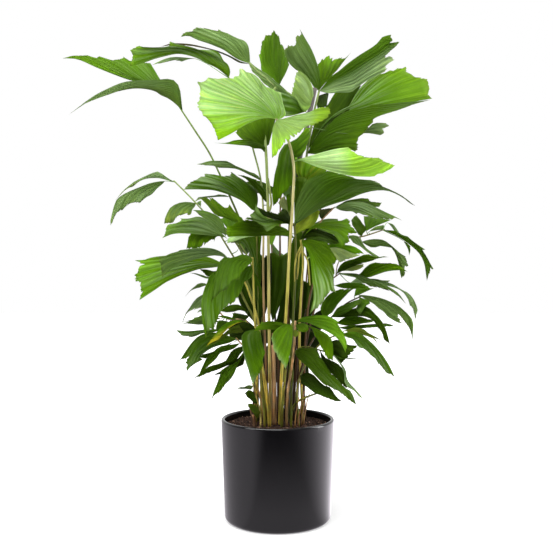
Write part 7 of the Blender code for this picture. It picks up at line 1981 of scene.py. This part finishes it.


# pale floor that keeps the shadow under the pot; seen by the camera it turns white away from the pot,
# and glossy rays see it glow as a painted reflection in the pot, dim in front, brighter to the left and brightest
# behind and to the right
def floorMaterial():
    material, tree, shader, output = newMaterial("paleFloor")
    shader.inputs["Base Color"].default_value = stageLook["floor"]
    shader.inputs["Roughness"].default_value = stageLook["rough"]
    shader.inputs["Specular IOR Level"].default_value = stageLook["specular"]
    coords = objectCoords(tree)
    place, far = splitOf(tree, coords), lengthOf(tree, coords)
    path = addNode(tree, "ShaderNodeLightPath").outputs
    seen = mathNode(tree, "MAXIMUM", path["Is Camera Ray"], path["Is Transmission Ray"])
    white = ramp(tree, far, *stageLook["nearSpan"], stageLook["near"])
    lit = addNode(tree, "ShaderNodeEmission", Color=(1, 1, 1, 1), Strength=times(tree, seen, white))
    both = addNode(tree, "ShaderNodeAddShader", _0=shader.outputs[0], _1=lit.outputs[0])
    # painted reflection: the glow that only glossy rays see, its strength set by direction from the pot
    near = mathNode(tree, "MAXIMUM", far, 0.01)
    across, behind = (mathNode(tree, "DIVIDE", side, near) for side in (place[0], place[1]))
    right = ramp(tree, total(tree, times(tree, behind, 0.6), times(tree, across, 0.8)), *stageLook["rightSpan"])
    right = times(tree, mathNode(tree, "POWER", right, stageLook["rightPower"]), stageLook["mirrorRight"])
    left = ramp(tree, across, *stageLook["leftSpan"], 0.0, stageLook["mirrorLeft"], "SMOOTHSTEP")
    back = ramp(tree, behind, *stageLook["backSpan"], 0.0, stageLook["mirrorLeft"], "SMOOTHSTEP")
    ahead = ramp(tree, far, *stageLook["aheadSpan"], stageLook["mirrorAhead"], 0.0)
    level = left
    for other in (back, right, ahead):
        level = mathNode(tree, "MAXIMUM", level, other)
    paintedReflection = addNode(tree, "ShaderNodeEmission", Color=stageLook["mirrorColour"], Strength=level)
    mix = mixShader(tree, path["Is Glossy Ray"], both.outputs[0], paintedReflection.outputs[0])
    tree.links.new(mix, output.inputs["Surface"])
    return material


# white room behind the plant, dim room in front of it; camera rays see white all round
def buildWorld():
    world = bpy.data.worlds.new("studio")
    bpy.context.scene.world = world
    world.use_nodes = True
    tree = world.node_tree
    back = tree.nodes["Background"]
    x, y, z = splitOf(tree, addNode(tree, "ShaderNodeTexCoord").outputs["Generated"])
    toward = total(tree, y, times(tree, x, 0.35), times(tree, z, 0.2))
    bright = ramp(tree, toward, *stageLook["roomSpan"], stageLook["front"], stageLook["back"])
    path = addNode(tree, "ShaderNodeLightPath").outputs
    seen = mathNode(tree, "MAXIMUM", path["Is Camera Ray"], path["Is Transmission Ray"])
    tree.links.new(mathNode(tree, "MAXIMUM", bright, seen), back.inputs["Strength"])
    back.inputs["Color"].default_value = (1, 1, 1, 1)


def buildStage():
    corners = np.array([[-7, -7, 0], [7, -7, 0], [7, 7, 0], [-7, 7, 0]], float)
    floor = meshObject("floor", corners, np.array([[0, 1, 2, 3]]), {}, [floorMaterial()], np.zeros(1), smooth=False)
    buildWorld()


def softBox(name, place, aim, size, power):
    lamp = bpy.data.lights.new(name, "AREA")
    lamp.shape = "RECTANGLE"
    lamp.size, lamp.size_y = size
    lamp.energy = power
    obj = bpy.data.objects.new(name, lamp)
    bpy.context.scene.collection.objects.link(obj)
    obj.location = place
    obj.rotation_euler = (Vector(aim) - Vector(place)).to_track_quat("-Z", "Y").to_euler()


cameraLook = {"sensor": 36, "lens": 56.31103, "rise": -0.046, "place": (-0.003, -2.15, 0.664)}


def buildCamera():
    lens = bpy.data.cameras.new("camera")
    lens.sensor_width = cameraLook["sensor"]
    lens.lens = cameraLook["lens"]
    lens.shift_y = cameraLook["rise"]
    obj = bpy.data.objects.new("camera", lens)
    bpy.context.scene.collection.objects.link(obj)
    obj.location = cameraLook["place"]
    obj.rotation_euler = (math.pi / 2, 0, 0)
    bpy.context.scene.camera = obj


buildStage()
for name, (place, aim, size, power) in lamps.items():
    softBox(name, place, aim, size, power)
buildCamera()
bpy.context.scene.view_settings.view_transform = "Standard"
print("stage built")
